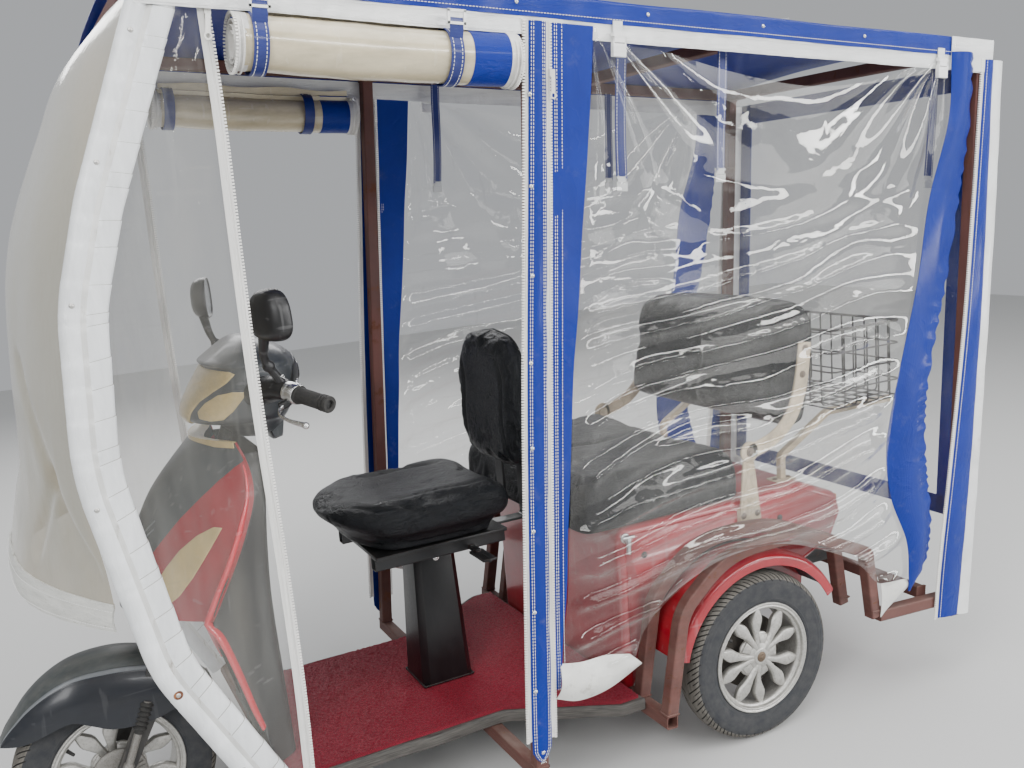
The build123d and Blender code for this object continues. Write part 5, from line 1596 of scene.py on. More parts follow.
@dataclass
class RearPanels:
    """Clear wrinkled side panels of the passenger space, with blue borders and white hem."""

    front: tuple[tuple[float, float], ...] = (
        (0.618, 1.640), (0.620, 1.30), (0.624, 0.90), (0.626, 0.50), (0.624, 0.290))
    border_inner: tuple[tuple[float, float], ...] = (
        (0.524, 1.640), (0.534, 1.462), (0.547, 1.306), (0.561, 1.107), (0.576, 0.945), (0.582, 0.801),
        (0.589, 0.653), (0.595, 0.503), (0.606, 0.396), (0.612, 0.291))
    trail_front: tuple[tuple[float, float], ...] = (
        (-0.488, 1.656), (-0.482, 1.497), (-0.425, 1.305), (-0.402, 1.112), (-0.370, 0.942), (-0.335, 0.770),
        (-0.327, 0.670), (-0.346, 0.565), (-0.399, 0.453), (-0.411, 0.358), (-0.415, 0.318))
    trail_rear: tuple[tuple[float, float], ...] = (
        (-0.560, 1.656), (-0.566, 1.500), (-0.542, 1.305), (-0.508, 1.108), (-0.466, 0.935), (-0.445, 0.810),
        (-0.448, 0.707), (-0.469, 0.601), (-0.494, 0.491), (-0.483, 0.386), (-0.424, 0.318))
    bottom: tuple[tuple[float, float], ...] = (
        (0.600, 0.330), (0.512, 0.330), (0.436, 0.318), (0.385, 0.418), (0.278, 0.492), (0.163, 0.530),
        (0.012, 0.532), (-0.148, 0.482), (-0.245, 0.428), (-0.318, 0.362), (-0.414, 0.330))
    top: tuple[tuple[float, float], ...] = (
        (0.540, 1.640), (0.500, 1.615), (0.300, 1.588), (0.020, 1.548), (-0.180, 1.556), (-0.360, 1.598),
        (-0.500, 1.640))
    rows: int = 190
    cols: int = 170

    def surface(self) -> Points:
        """Gives the clear panel's points before it is leaned: a patch between its four edges, folded."""
        left = upright([(x - 0.004, z) for x, z in self.border_inner], self.rows)
        right = upright([(x - 0.006, z) for x, z in self.trail_front], self.rows)
        above, below = upright(self.top, self.cols), upright(self.bottom, self.cols)
        t = np.linspace(0, 1, self.rows)[:, None, None]
        w = np.linspace(0, 1, self.cols)[None, :, None]
        corners = (1 - t) * ((1 - w) * above[0] + w * above[-1]) + t * ((1 - w) * below[0] + w * below[-1])
        rows = ((1 - w) * left[:, None, :] + w * right[:, None, :] + (1 - t) * above[None, :, :]
                + t * below[None, :, :] - corners)
        rows[..., 1] = BAND_Y
        x, z = rows[..., 0], rows[..., 2]
        fade = np.clip(np.minimum(w[..., 0], 1 - w[..., 0]) / 0.10, 0, 1) * np.clip((1 - t[..., 0]) / 0.05, 0, 1)
        warp = ripple(rows, 2.6, 1.0)
        low = np.clip((1.42 - z) / 0.70, 0, 1)
        slope = z + 0.17 * x + 0.055 * warp
        phase = slope / 0.088 + 0.55 * ripple(rows * (0.6, 1, 1), 4.0, 9.0)
        crest = 1 - np.abs(np.mod(phase, 1.0) - 0.5) * 2
        alive = np.clip(0.62 + 1.5 * ripple(rows * (0.5, 1, 1.6), 5.0, 12.0), 0.22, 1.0)
        crinkle = 1 + 0.45 * ripple(rows, 38.0, 2.0)
        out = 0.0240 * low * alive * crinkle * np.clip((crest - 0.50) / 0.50, 0, 1) ** 1.35
        out = out - 0.0050 * low * np.cos(2 * math.pi * phase)
        out = out + 0.0035 * low * np.sin(slope * 2 * math.pi / 0.047 + 3.0 * warp) * (1 - alive)
        for cx, reach in ((0.54, 0.62), (-0.47, 0.70)):
            dx, dz = x - cx, z - 1.66
            away = np.hypot(dx, dz)
            out = out + 0.0085 * np.sin(np.arctan2(dz, dx) * 15 + 2 * warp) * np.exp(-(away / reach) ** 2)
        out = out + 0.010 * warp + 0.0040 * ripple(rows, 7.0, 4.0)
        belly = 0.016 * np.exp(-((z - 0.60) / 0.16) ** 2)
        rows[..., 1] += np.clip((out + belly) * fade, -0.030, 0.030) + 0.002
        return rows

    def build(self) -> None:
        """Makes the clear panels, their borders, hems and the back panel."""
        clear = Form().grid(self.surface())
        clear.mirrored().shift(canopy)
        panel = clear.build("side_clear_panels", Body.VEHICLE, [CLEAR_FOLDED], ["rear_windows"], sharp=180,
                            outward=False)
        form = Form()
        self.borders(form)
        self.hems(form)
        form.mirrored()
        self.back(form)
        form.shift(canopy).build("side_panel_borders", Body.VEHICLE,
                                 [BLUE, THREAD, WHITE_DIRTY, CLEAR, ZIP_TAPE, TOOTH], sharp=60)

    def borders(self, form: Form) -> None:
        """Adds the blue strips at the panel's front and trailing edges."""
        count = 130
        front, inner = upright(self.front, count), upright(self.border_inner, count)
        rows = ruled(front, inner, 9)
        rows[..., 1] += 0.003 + 0.0035 * ripple(rows, 7.0, 3.0)
        form.slab(rows, -0.0016, 0)
        for inset in (0.006, 0.0105, 0.022):
            stitches(form, front + (-inset, 0.0056, 0), (0, 1, 0), 1)
        lead, trail = upright(self.trail_front, count), upright(self.trail_rear, count)
        rows = ruled(lead, trail, 15)
        share = np.linspace(0, 1, 15)[None, :]
        run = np.linspace(0, 1, count)[:, None]
        gather = np.clip((share - 0.62) / 0.3, 0, 1)
        curl = 0.010 * np.sin(share * math.pi) + 0.0065 * np.sin(run * 9.0 + share * 3.0)
        puckers = 0.0035 * gather * np.sin(run * 210.0 + 3 * np.sin(run * 37.0))
        rows[..., 1] += 0.005 + curl + puckers
        form.slab(rows, -0.0018, 0)
        for at in (9, 10):
            stitches(form, rows[:, at] + (0, 0.0012, 0), (0, 1, 0), 1)

    def hems(self, form: Form) -> None:
        """Adds the white cloth that closes the panel below, before and behind the wheel arch."""
        for high, low, bulge in (
                (((0.612, 0.345), (0.560, 0.338), (0.500, 0.340), (0.438, 0.330)),
                 ((0.622, 0.268), (0.565, 0.252), (0.490, 0.262), (0.405, 0.300)), 0.022),
                (((-0.322, 0.352), (-0.360, 0.350), (-0.412, 0.350)),
                 ((-0.326, 0.262), (-0.350, 0.282), (-0.418, 0.325)), 0.006)):
            rows = ruled(upright(high, 26), upright(low, 26), 10)
            across = np.sin(np.linspace(0, math.pi, 10))[None, :]
            rows[..., 1] += 0.004 + bulge * across * (0.7 + 0.5 * ripple(rows, 14.0, 2.0))
            form.slab(rows.transpose(1, 0, 2), 0.0020, 2)

    def back(self, form: Form) -> None:
        """Adds the clear back panel with its blue frame."""
        x, half, high, low = REAR_POST_X - 0.020, 0.440, 1.640, 0.470
        ys, zs = np.linspace(-half, half, 60), np.linspace(high, low, 70)
        rows = np.array([[(x, y, z) for y in ys] for z in zs])
        rows[..., 0] += 0.007 * ripple(rows, 4.0, 2.0) + 0.003 * ripple(rows, 12.0, 2.0)
        form.grid(rows, 3)
        for y0, y1, z0, z1 in ((-half, -half + 0.05, high, low), (half - 0.05, half, high, low),
                               (-half, half, high, high - 0.06), (-half, half, low + 0.05, low)):
            strip = np.array([[(x - 0.004, y, z) for y in np.linspace(y0, y1, 12)] for z in np.linspace(z0, z1, 12)])
            form.slab(strip, 0.0016, 0)


@dataclass
class Roof:
    """Blue roof sheet folded over the rails, and the white valance under its edge."""

    front: float = 1.380
    rear: float = REAR_POST_X - TUBE / 2 - 0.006
    crown: float = 0.026
    band: float = 0.042
    valance: float = 0.034

    def build(self) -> None:
        """Makes the roof, the valance and their fastenings."""
        roof = Form()
        xs = np.linspace(self.front, self.rear, 120)
        ys = np.linspace(-BAND_Y - 0.0022, BAND_Y + 0.0022, 60)
        rows = np.array([[(x, y, RAIL_TOP + 0.0012 + self.crown * (1 - (y / BAND_Y) ** 2)) for y in ys] for x in xs])
        sag = np.abs(np.sin((rows[..., 0] - MID_POST_X) / 0.63 * math.pi)) * (1 - (rows[..., 1] / BAND_Y) ** 4).clip(0)
        rows[..., 2] -= 0.009 * sag - 0.002 * ripple(rows, 7.0)
        drops = [self.side(xs, hand) for hand in (-1, 1)]
        whole = np.concatenate([drops[0][:, ::-1], rows, drops[1]], axis=1)
        roof.slab(whole, -0.0018, 0)
        for hand in (-1, 1):
            line = np.stack([xs, np.full_like(xs, hand * (BAND_Y + 0.0046)), np.full_like(xs, RAIL_TOP - 0.034)],
                            axis=1)
            stitches(roof, line, (0, hand, 0), 1)
            for x in np.arange(-0.50, 1.30, 0.298):
                stud(roof, (x, hand * (BAND_Y + 0.0042), RAIL_TOP - 0.018), (0, hand, 0), 0.0044, 2)
        for x in (1.372, MID_POST_X, 0.025):
            seam = np.stack([np.full(60, x), ys, RAIL_TOP + 0.004 + self.crown * (1 - (ys / BAND_Y) ** 2)], axis=1)
            stitches(roof, seam, (0, 0, 1), 1)
        sheet = roof.shift(canopy).build("roof_cover", Body.VEHICLE, [BLUE, THREAD, STUD], ["roof_sheet"], sharp=60)
        self.edging()

    def side(self, xs: Points, hand: float) -> Points:
        """Gives the band folded down over one rail, from the roof's edge down."""
        drop = np.array([0.0015, 0.006, 0.014, 0.024, 0.034, self.band])
        rows = np.array([[(x, hand * (BAND_Y + 0.0026), RAIL_TOP - d) for d in drop] for x in xs])
        pucker = 0.0016 * ripple(rows, 14.0, 3.0) + 0.0012 * np.sin(rows[..., 0] * 70)
        rows[..., 1] += hand * np.clip(pucker, -0.0012, 0.003) * (drop / self.band)[None, :]
        rows[..., 2] += (0.003 * ripple(rows * (1, 0, 0), 5.0, 6.0)) * (drop / self.band)[None, :]
        return rows

    def edging(self) -> None:
        """Adds the white valance, its buckles and the white rear corners."""
        form = Form()
        xs = np.linspace(self.front - 0.006, self.rear + 0.004, 200)
        drop = np.linspace(-0.010, self.valance, 8)
        rows = np.array([[(x, BAND_Y + 0.0006, RAIL_TOP - self.band - d) for x in xs] for d in drop])
        low = (drop.clip(0) / self.valance)[:, None]
        rows[..., 1] += 0.0020 * np.sin(rows[..., 0] * 150 + 2 * ripple(rows, 9.0)) * low * 0.6 + 0.0015 * low
        rows[..., 2] += 0.004 * low * ripple(rows * (1, 0, 0), 4.0, 2.0)
        form.slab(rows, 0.0016, 0)
        for d in (0.004, 0.030):
            line = np.stack([xs, np.full_like(xs, BAND_Y + 0.0038), np.full_like(xs, RAIL_TOP - self.band - d)], axis=1)
            stitches(form, line, (0, 1, 0), 1)
        corner = np.array([[(x, BAND_Y + 0.0056 + 0.001 * math.sin(x * 90 + z * 50), z)
                            for x in np.linspace(-0.488, REAR_POST_X - 0.030, 16)]
                           for z in np.linspace(RAIL_TOP + 0.002, RAIL_TOP - 0.075, 8)])
        form.slab(corner, 0.002, 0)
        for x, z in ((0.468, 1.604), (-0.452, 1.612)):
            Buckle().add(form, (x, BAND_Y + 0.004, z), (0, 1, 0), 2)
            webbing = np.array([[(x + dx, BAND_Y + 0.0045, zz) for dx in (-0.011, 0.011)]
                                for zz in (z + 0.020, z + 0.050)])
            form.slab(webbing, -0.0018, 0)
        form.mirrored().shift(canopy)
        valance = form.build("white_valance", Body.VEHICLE, [WHITE, THREAD, BUCKLE_WHITE], ["roof_valance"], sharp=50)


@dataclass
class HangingStraps:
    """Loose roll-up straps that hang inside from the roof rails, each with its buckle half."""

    places: tuple[tuple[float, float, float], ...] = (
        (0.430, 0.445, 1.350), (0.170, 0.445, 1.370), (-0.485, 0.445, 1.360), (0.462, -0.445, 1.385),
        (-0.112, -0.445, 1.400))
    width: float = 0.025

    def build(self) -> None:
        """Makes the straps and the clear buckle halves at their ends."""
        form = Form()
        for k, (x, y, low) in enumerate(self.places):
            zs = np.linspace(RAIL_TOP - 0.034, low, 24)
            sway = 0.006 * np.sin(zs * 9 + k) * np.clip((1.6 - zs) * 4, 0, 1)
            left = np.stack([x - self.width / 2 + sway, np.full_like(zs, y), zs], axis=1)
            turn = np.clip((1.6 - zs) * 2.2, 0, 1) * (0.35 if k % 2 else -0.25)
            right = left + np.stack([self.width * np.cos(turn), self.width * np.sin(turn), 0 * zs], axis=1)
            form.slab(ruled(left, right, 3), 0.0016, 0)
            for share in (0.15, 0.85):
                stitches(form, left * (1 - share) + right * share + (0, 0.002, 0), (0, 1, 0), 1)
            Buckle(width=0.026, height=0.034, deep=0.006).add(form, (left[-1] + right[-1]) / 2 - (0, 0.003, 0.012),
                                                              (0, 1, 0), 2)
        form.shift(canopy).build("hanging_straps", Body.VEHICLE, [WEBBING, THREAD, BUCKLE_CLEAR], sharp=50)


@dataclass
class Wheels:
    """Three road wheels: treaded tyres on cast rims with paired paddle spokes."""

    rear_y: float = 0.402
    tread_pitches: int = 48
    slant: float = 0.85
    groove: float = 0.0036
    pairs: int = 5
    half_profile: tuple[tuple[float, float], ...] = (
        (0.2100, 0.0), (0.2097, 0.008), (0.2088, 0.016), (0.2068, 0.0245), (0.2030, 0.0315), (0.1975, 0.0360),
        (0.1915, 0.0384), (0.1850, 0.0396), (0.1760, 0.0400), (0.1670, 0.0400), (0.1590, 0.0396), (0.1520, 0.0388),
        (0.1460, 0.0376), (0.1408, 0.0358))
    # Share of a tread pitch, then how deep the long and the short groove are there
    pattern: tuple[tuple[float, float, float], ...] = (
        (0.0, 0, 0), (0.020, 1, 0), (0.125, 1, 0), (0.145, 0, 0), (0.330, 0, 0), (0.520, 0, 0), (0.538, 0, 1),
        (0.615, 0, 1), (0.633, 0, 0), (0.820, 0, 0))
    barrel: tuple[tuple[float, float], ...] = (
        (0.1195, -0.0400), (0.1372, -0.0400), (0.1390, -0.0384), (0.1390, -0.0357), (0.1300, -0.0350),
        (0.1272, -0.0325), (0.1272, 0.0325), (0.1300, 0.0350), (0.1390, 0.0357), (0.1392, 0.0380), (0.1382, 0.0396),
        (0.1362, 0.0400), (0.1347, 0.0392), (0.1333, 0.0380), (0.1318, 0.0378), (0.1304, 0.0388), (0.1288, 0.0392),
        (0.1274, 0.0380), (0.1266, 0.0352), (0.1262, 0.0312), (0.1244, 0.0292), (0.1218, 0.0284), (0.1204, 0.0262),
        (0.1196, 0.0200), (0.1192, -0.0300), (0.1195, -0.0400))
    # Radius along a spoke, half width, angle from the pair's middle, height of the outer face
    stations: tuple[tuple[float, float, float, float], ...] = (
        (0.0160, 0.0072, 8.0, 0.0300), (0.0420, 0.0078, 10.0, 0.0296), (0.0620, 0.0090, 12.0, 0.0290),
        (0.0790, 0.0136, 14.2, 0.0288), (0.0900, 0.0166, 15.4, 0.0287), (0.0985, 0.0160, 16.2, 0.0284),
        (0.1120, 0.0112, 17.2, 0.0276), (0.1225, 0.0070, 17.8, 0.0266))

    def build(self) -> None:
        """Makes the three wheels and the brake plates beside them."""
        places = ((Body.FRONT_WHEEL, (WHEELBASE, 0.0, TYRE_R), 1, "front"),
                  (Body.LEFT_WHEEL, (0.0, self.rear_y, TYRE_R), 1, "rear", "_left"),
                  (Body.RIGHT_WHEEL, (0.0, -self.rear_y, TYRE_R), -1, "rear", "_right"))
        for body, centre, hand, end, *tail in places:
            suffix = tail[0] if tail else ""

            def placed(points: Points, hand: int = hand, centre: Place = centre) -> Points:
                """Moves a wheel drawn at the origin to its place."""
                return vehicle(points * (1, hand, 1) + np.asarray(centre))

            tyre = Form()
            self.tread(tyre)
            tyre.shift(placed).build(f"{end}_wheel_tyre{suffix}", body, [TYRE, TREAD, GROOVE_SHADE], [f"{end}_tyre{suffix}"],
                                     sharp=32)
            rim = Form()
            self.rim(rim, rear=end == "rear")
            rim.shift(placed).build(f"{end}_wheel_rim{suffix}", body, [ALLOY, HUB_CAP, GRIP, DRUM],
                                    [f"{end}_rim{suffix}"], bevel=0.0009, sharp=33)
        self.front_plate()

    def tread(self, form: Form) -> None:
        """Adds the tyre: its profile turned, with slanted grooves cut in the tread and ribs on the walls."""
        half = curve_through(np.array(self.half_profile), 40)
        run = run_of(half)
        profile = np.concatenate([half[::-1], half[1:] * (1, -1), [(0.1276, -0.0346), (0.1276, 0.0346), half[-1]]])
        side = np.concatenate([run[::-1], run[1:], [run[-1]] * 3])
        share = np.array([i + step for i in range(self.tread_pitches) for step, _, _ in self.pattern])
        long, short = (np.tile([row[k] for row in self.pattern], self.tread_pitches) for k in (1, 2))
        reach_long = np.clip((side - 0.0075) / 0.0018, 0, 1) * np.clip((0.0455 - side) / 0.0016, 0, 1)
        reach_short = np.clip((side - 0.0230) / 0.0018, 0, 1) * np.clip((0.0425 - side) / 0.0016, 0, 1)
        cut = self.groove * (reach_long[:, None] * long + reach_short[:, None] * 0.8 * short)
        ribs = sum(0.0007 * np.exp(-((profile[:, 0] - r) / 0.0011) ** 2) for r in (0.1440, 0.1478, 0.1795, 0.1868))
        turn = (share[None, :] * 2 * math.pi / self.tread_pitches
                + self.slant * np.minimum(side, 0.046)[:, None] / TYRE_R)
        radius = profile[:, :1] - cut
        wide = (profile[:, 1] + np.sign(profile[:, 1]) * ribs)[:, None] * np.ones_like(turn)
        rows = np.stack([radius * np.cos(turn), wide, radius * np.sin(turn)], axis=2)
        form.grid(rows, 0, around=True)
        # Faces deep in a groove take the near-black groove finish: painted shade.
        for k, column in enumerate(side[:-1]):
            deep = np.minimum(cut[k], cut[k + 1]) + np.minimum(np.roll(cut[k], -1), np.roll(cut[k + 1], -1)) > 0.002
            first = k * len(share)
            form.marks[first:first + len(share)] = np.where(deep, 2, int(column < 0.0425)).tolist()

    def rim(self, form: Form, rear: bool) -> None:
        """Adds the barrel, hub, spokes, cap and, at the rear, the half shaft and the drum.

        Args:
            form: The form that gets it, with the wheel's middle at the origin.
            rear: Whether this is a driven rear wheel.
        """
        form.lathe(self.barrel, (0, 0, 0), (0, 1, 0), 120)
        for pair in range(self.pairs):
            middle = 2 * math.pi * pair / self.pairs
            for hand in (-1, 1):
                self.spoke(form, middle, hand)
            self.pad(form, middle + math.pi / self.pairs)
        lobes = np.arange(100) * 2 * math.pi / 100
        swell = 1 + 0.055 * np.cos(self.pairs * lobes + math.pi)
        plate = [(0.0100, 0.0200), (0.0500, 0.0190), (0.0560, 0.0172), (0.0570, 0.0120), (0.0500, 0.0105),
                 (0.0100, 0.0100)]
        rows = np.array([[(r * s * math.cos(a), y, r * s * math.sin(a)) for a, s in zip(lobes, swell)] for r,
                         y in plate])
        form.grid(rows, 0, around=True)
        boss = [(0.0120, 0.0316), (0.0190, 0.0318), (0.0205, 0.0306), (0.0218, 0.0290), (0.0300, 0.0280),
                (0.0325, 0.0262), (0.0335, 0.0180), (0.0340, -0.0400), (0.0300, -0.0450), (0.0120, -0.0450)]
        form.lathe(boss, (0, 0, 0), (0, 1, 0), 60)
        cap = [(0.0001, 0.0346), (0.0060, 0.0345), (0.0105, 0.0338), (0.0128, 0.0322), (0.0138, 0.0300),
               (0.0138, 0.0250)]
        form.lathe(cap, (0, 0, 0), (0, 1, 0), 36, 1)
        form.lathe([(0.0001, 0.0368), (0.0048, 0.0366), (0.0060, 0.0354), (0.0062, 0.0330)], (0, 0, 0), (0, 1, 0), 6, 1)
        at = math.radians(36)
        stem = np.array([(r * math.cos(at), y, r * math.sin(at)) for r,
                         y in ((0.1200, 0.010), (0.1120, 0.014), (0.1000, 0.022))])
        form.rod(stem, 0.0042, 12, 2, scale=[1.3, 1.0, 0.85])
        if rear:
            form.lathe([(0.0125, -0.038), (0.0125, -0.160), (0.0001, -0.160)], (0, 0, 0), (0, 1, 0), 24, 1)
            drum = [(0.030, -0.006), (0.070, -0.004), (0.088, -0.008), (0.092, -0.013), (0.092, -0.036),
                    (0.086, -0.039), (0.030, -0.039)]
            form.lathe(drum, (0, 0, 0), (0, 1, 0), 72, 3)

    def spoke(self, form: Form, middle: float, hand: int) -> None:
        """Adds one paddle spoke: narrow at the hub, widest two thirds out, with a sloped outer face."""
        rows = []
        for radius, half, turn, top in self.stations:
            a = middle + math.radians(turn) * hand
            out, across = np.array([math.cos(a), 0, math.sin(a)]), np.array([-math.sin(a), 0, math.cos(a)]) * hand
            section = ((-half, 0.0120), (-half * 1.02, top - 0.0080), (-half + 0.0018, top - 0.0012),
                       (-half * 0.15, top), (half - 0.0040, top - 0.0008), (half, top - 0.0062), (half, 0.0120))
            rows.append([out * radius + across * u + np.array([0, v, 0]) for u, v in section])
        form.grid(np.array(rows), 0, around=True, ends=True)

    def pad(self, form: Form, turn: float) -> None:
        """Adds the low raised pad on the hub plate between two pairs."""
        out, across = np.array([math.cos(turn), 0, math.sin(turn)]), np.array([-math.sin(turn), 0, math.cos(turn)])
        rows = [[out * r + across * u * half + np.array([0, y, 0]) for u, y in (
            (-1, 0.0140), (-1, top), (1, top), (1, 0.0140))] for r, half, top in (
                (0.0260, 0.0060, 0.0262), (0.0400, 0.0100, 0.0250), (0.0540, 0.0135, 0.0222))]
        form.grid(np.array(rows), 0, around=True, ends=True)

    def front_plate(self) -> None:
        """Adds the finned brake plate beside the front wheel, its lever and the axle nut on the fork."""
        form = Form()
        centre = (WHEELBASE, 0.0, TYRE_R)
        plate = [(0.012, 0.0548), (0.036, 0.0546), (0.050, 0.0535), (0.056, 0.0515), (0.058, 0.0490), (0.058, 0.0465),
                 (0.012, 0.0465)]
        form.lathe(plate, centre, (0, 1, 0), 72, 0)
        for k in range(14):
            a = math.radians(160 + 12 * k)
            out = np.array([math.cos(a), 0, math.sin(a)])
            many_blocks(form, (0.017, 0.0024, 0.0030), (np.asarray(centre) + out * 0.045 + (0, 0.0548, 0))[None],
                        out[None], (0, 1, 0), 0)
        form.lathe([(0.0001, 0.0885), (0.0070, 0.0880), (0.0075, 0.0850)], centre, (0, 1, 0), 16, 1)
        form.lathe([(0.0130, 0.0850), (0.0130, 0.0780), (0.0001, 0.0780)], centre, (0, 1, 0), 6, 1)
        form.lathe([(0.0155, 0.0780), (0.0155, 0.0762), (0.0001, 0.0762)], centre, (0, 1, 0), 28, 1)
        arm = np.array(centre) + [(-0.020, 0.057, 0.030), (-0.036, 0.058, 0.052), (-0.052, 0.058, 0.078)]
        form.rod(arm, 0.0042, 10, 1)
        form.shift(vehicle).build("front_brake_plate", Body.STEERING, [DRIVE, BRIGHT], bevel=0.0006, sharp=40)


@dataclass
class DeckMat:
    """Looped vinyl mat on the deck, cut to the deck's flared outline."""

    top: float = 0.200
    low: float = 0.1885
    pitch: float = 0.0031
    edge: float = 0.009
    # Place along the deck and the deck's half width there
    outline: tuple[tuple[float, float], ...] = ((1.130, 0.262), (0.620, 0.262), (0.386, 0.400), (0.326, 0.400))

    def build(self) -> None:
        """Makes the mat's looped top and its sides."""
        xs = np.arange(self.outline[-1][0] + self.edge, self.outline[0][0] - self.edge, self.pitch)
        order = np.array(self.outline[::-1])
        half = np.interp(xs, order[:, 0], order[:, 1]) - self.edge
        cols = int(2 * 0.391 / (self.pitch * 1.15))
        share = np.linspace(-1, 1, cols)
        rows = np.zeros((len(xs), cols, 3))
        rows[..., 0] = xs[:, None]
        rows[..., 1] = half[:, None] * share[None, :]
        loops = ripple(rows, 150.0, 3.0) + 0.7 * ripple(rows, 310.0, 9.0)
        worn = 0.5 + 0.5 * ripple(rows, 3.0, 1.0)
        rows[..., 2] = self.top - 0.0032 + 0.0042 * loops * (0.65 + 0.35 * worn) + 0.0012 * ripple(rows, 8.0, 6.0)
        rim = rows[[0, -1]].copy()
        rim[..., 2] = self.low
        whole = np.concatenate([rim[:1], rows, rim[1:]])
        sides = whole[:, [0, -1]].copy()
        sides[..., 2] = self.low
        whole = np.concatenate([sides[:, :1], whole, sides[:, 1:]], axis=1)
        Form().grid(whole).shift(vehicle).build("looped_deck_mat", Body.VEHICLE, [MAT], ["deck_mat"], sharp=180)


def oval(knots: Sequence[tuple[float, float]], count: int = 160) -> Points:
    """Closes a half outline by its mirror image and smooths it.

    Args:
        knots: Half outline as (along, across) places, from one end of the middle line to the other.
        count: Points in the whole outline.

    Returns:
        Closed outline, one row for each point.
    """
    half = even(curve_through(np.array(knots), 200), 0.004)
    loop = np.concatenate([half, half[-2:0:-1] * (1, -1)])
    return even(np.concatenate([loop, loop[:1]]), 1e-9 + np.linalg.norm(
        np.diff(loop, axis=0, append=loop[:1]), axis=1).sum() / count)[:-1]


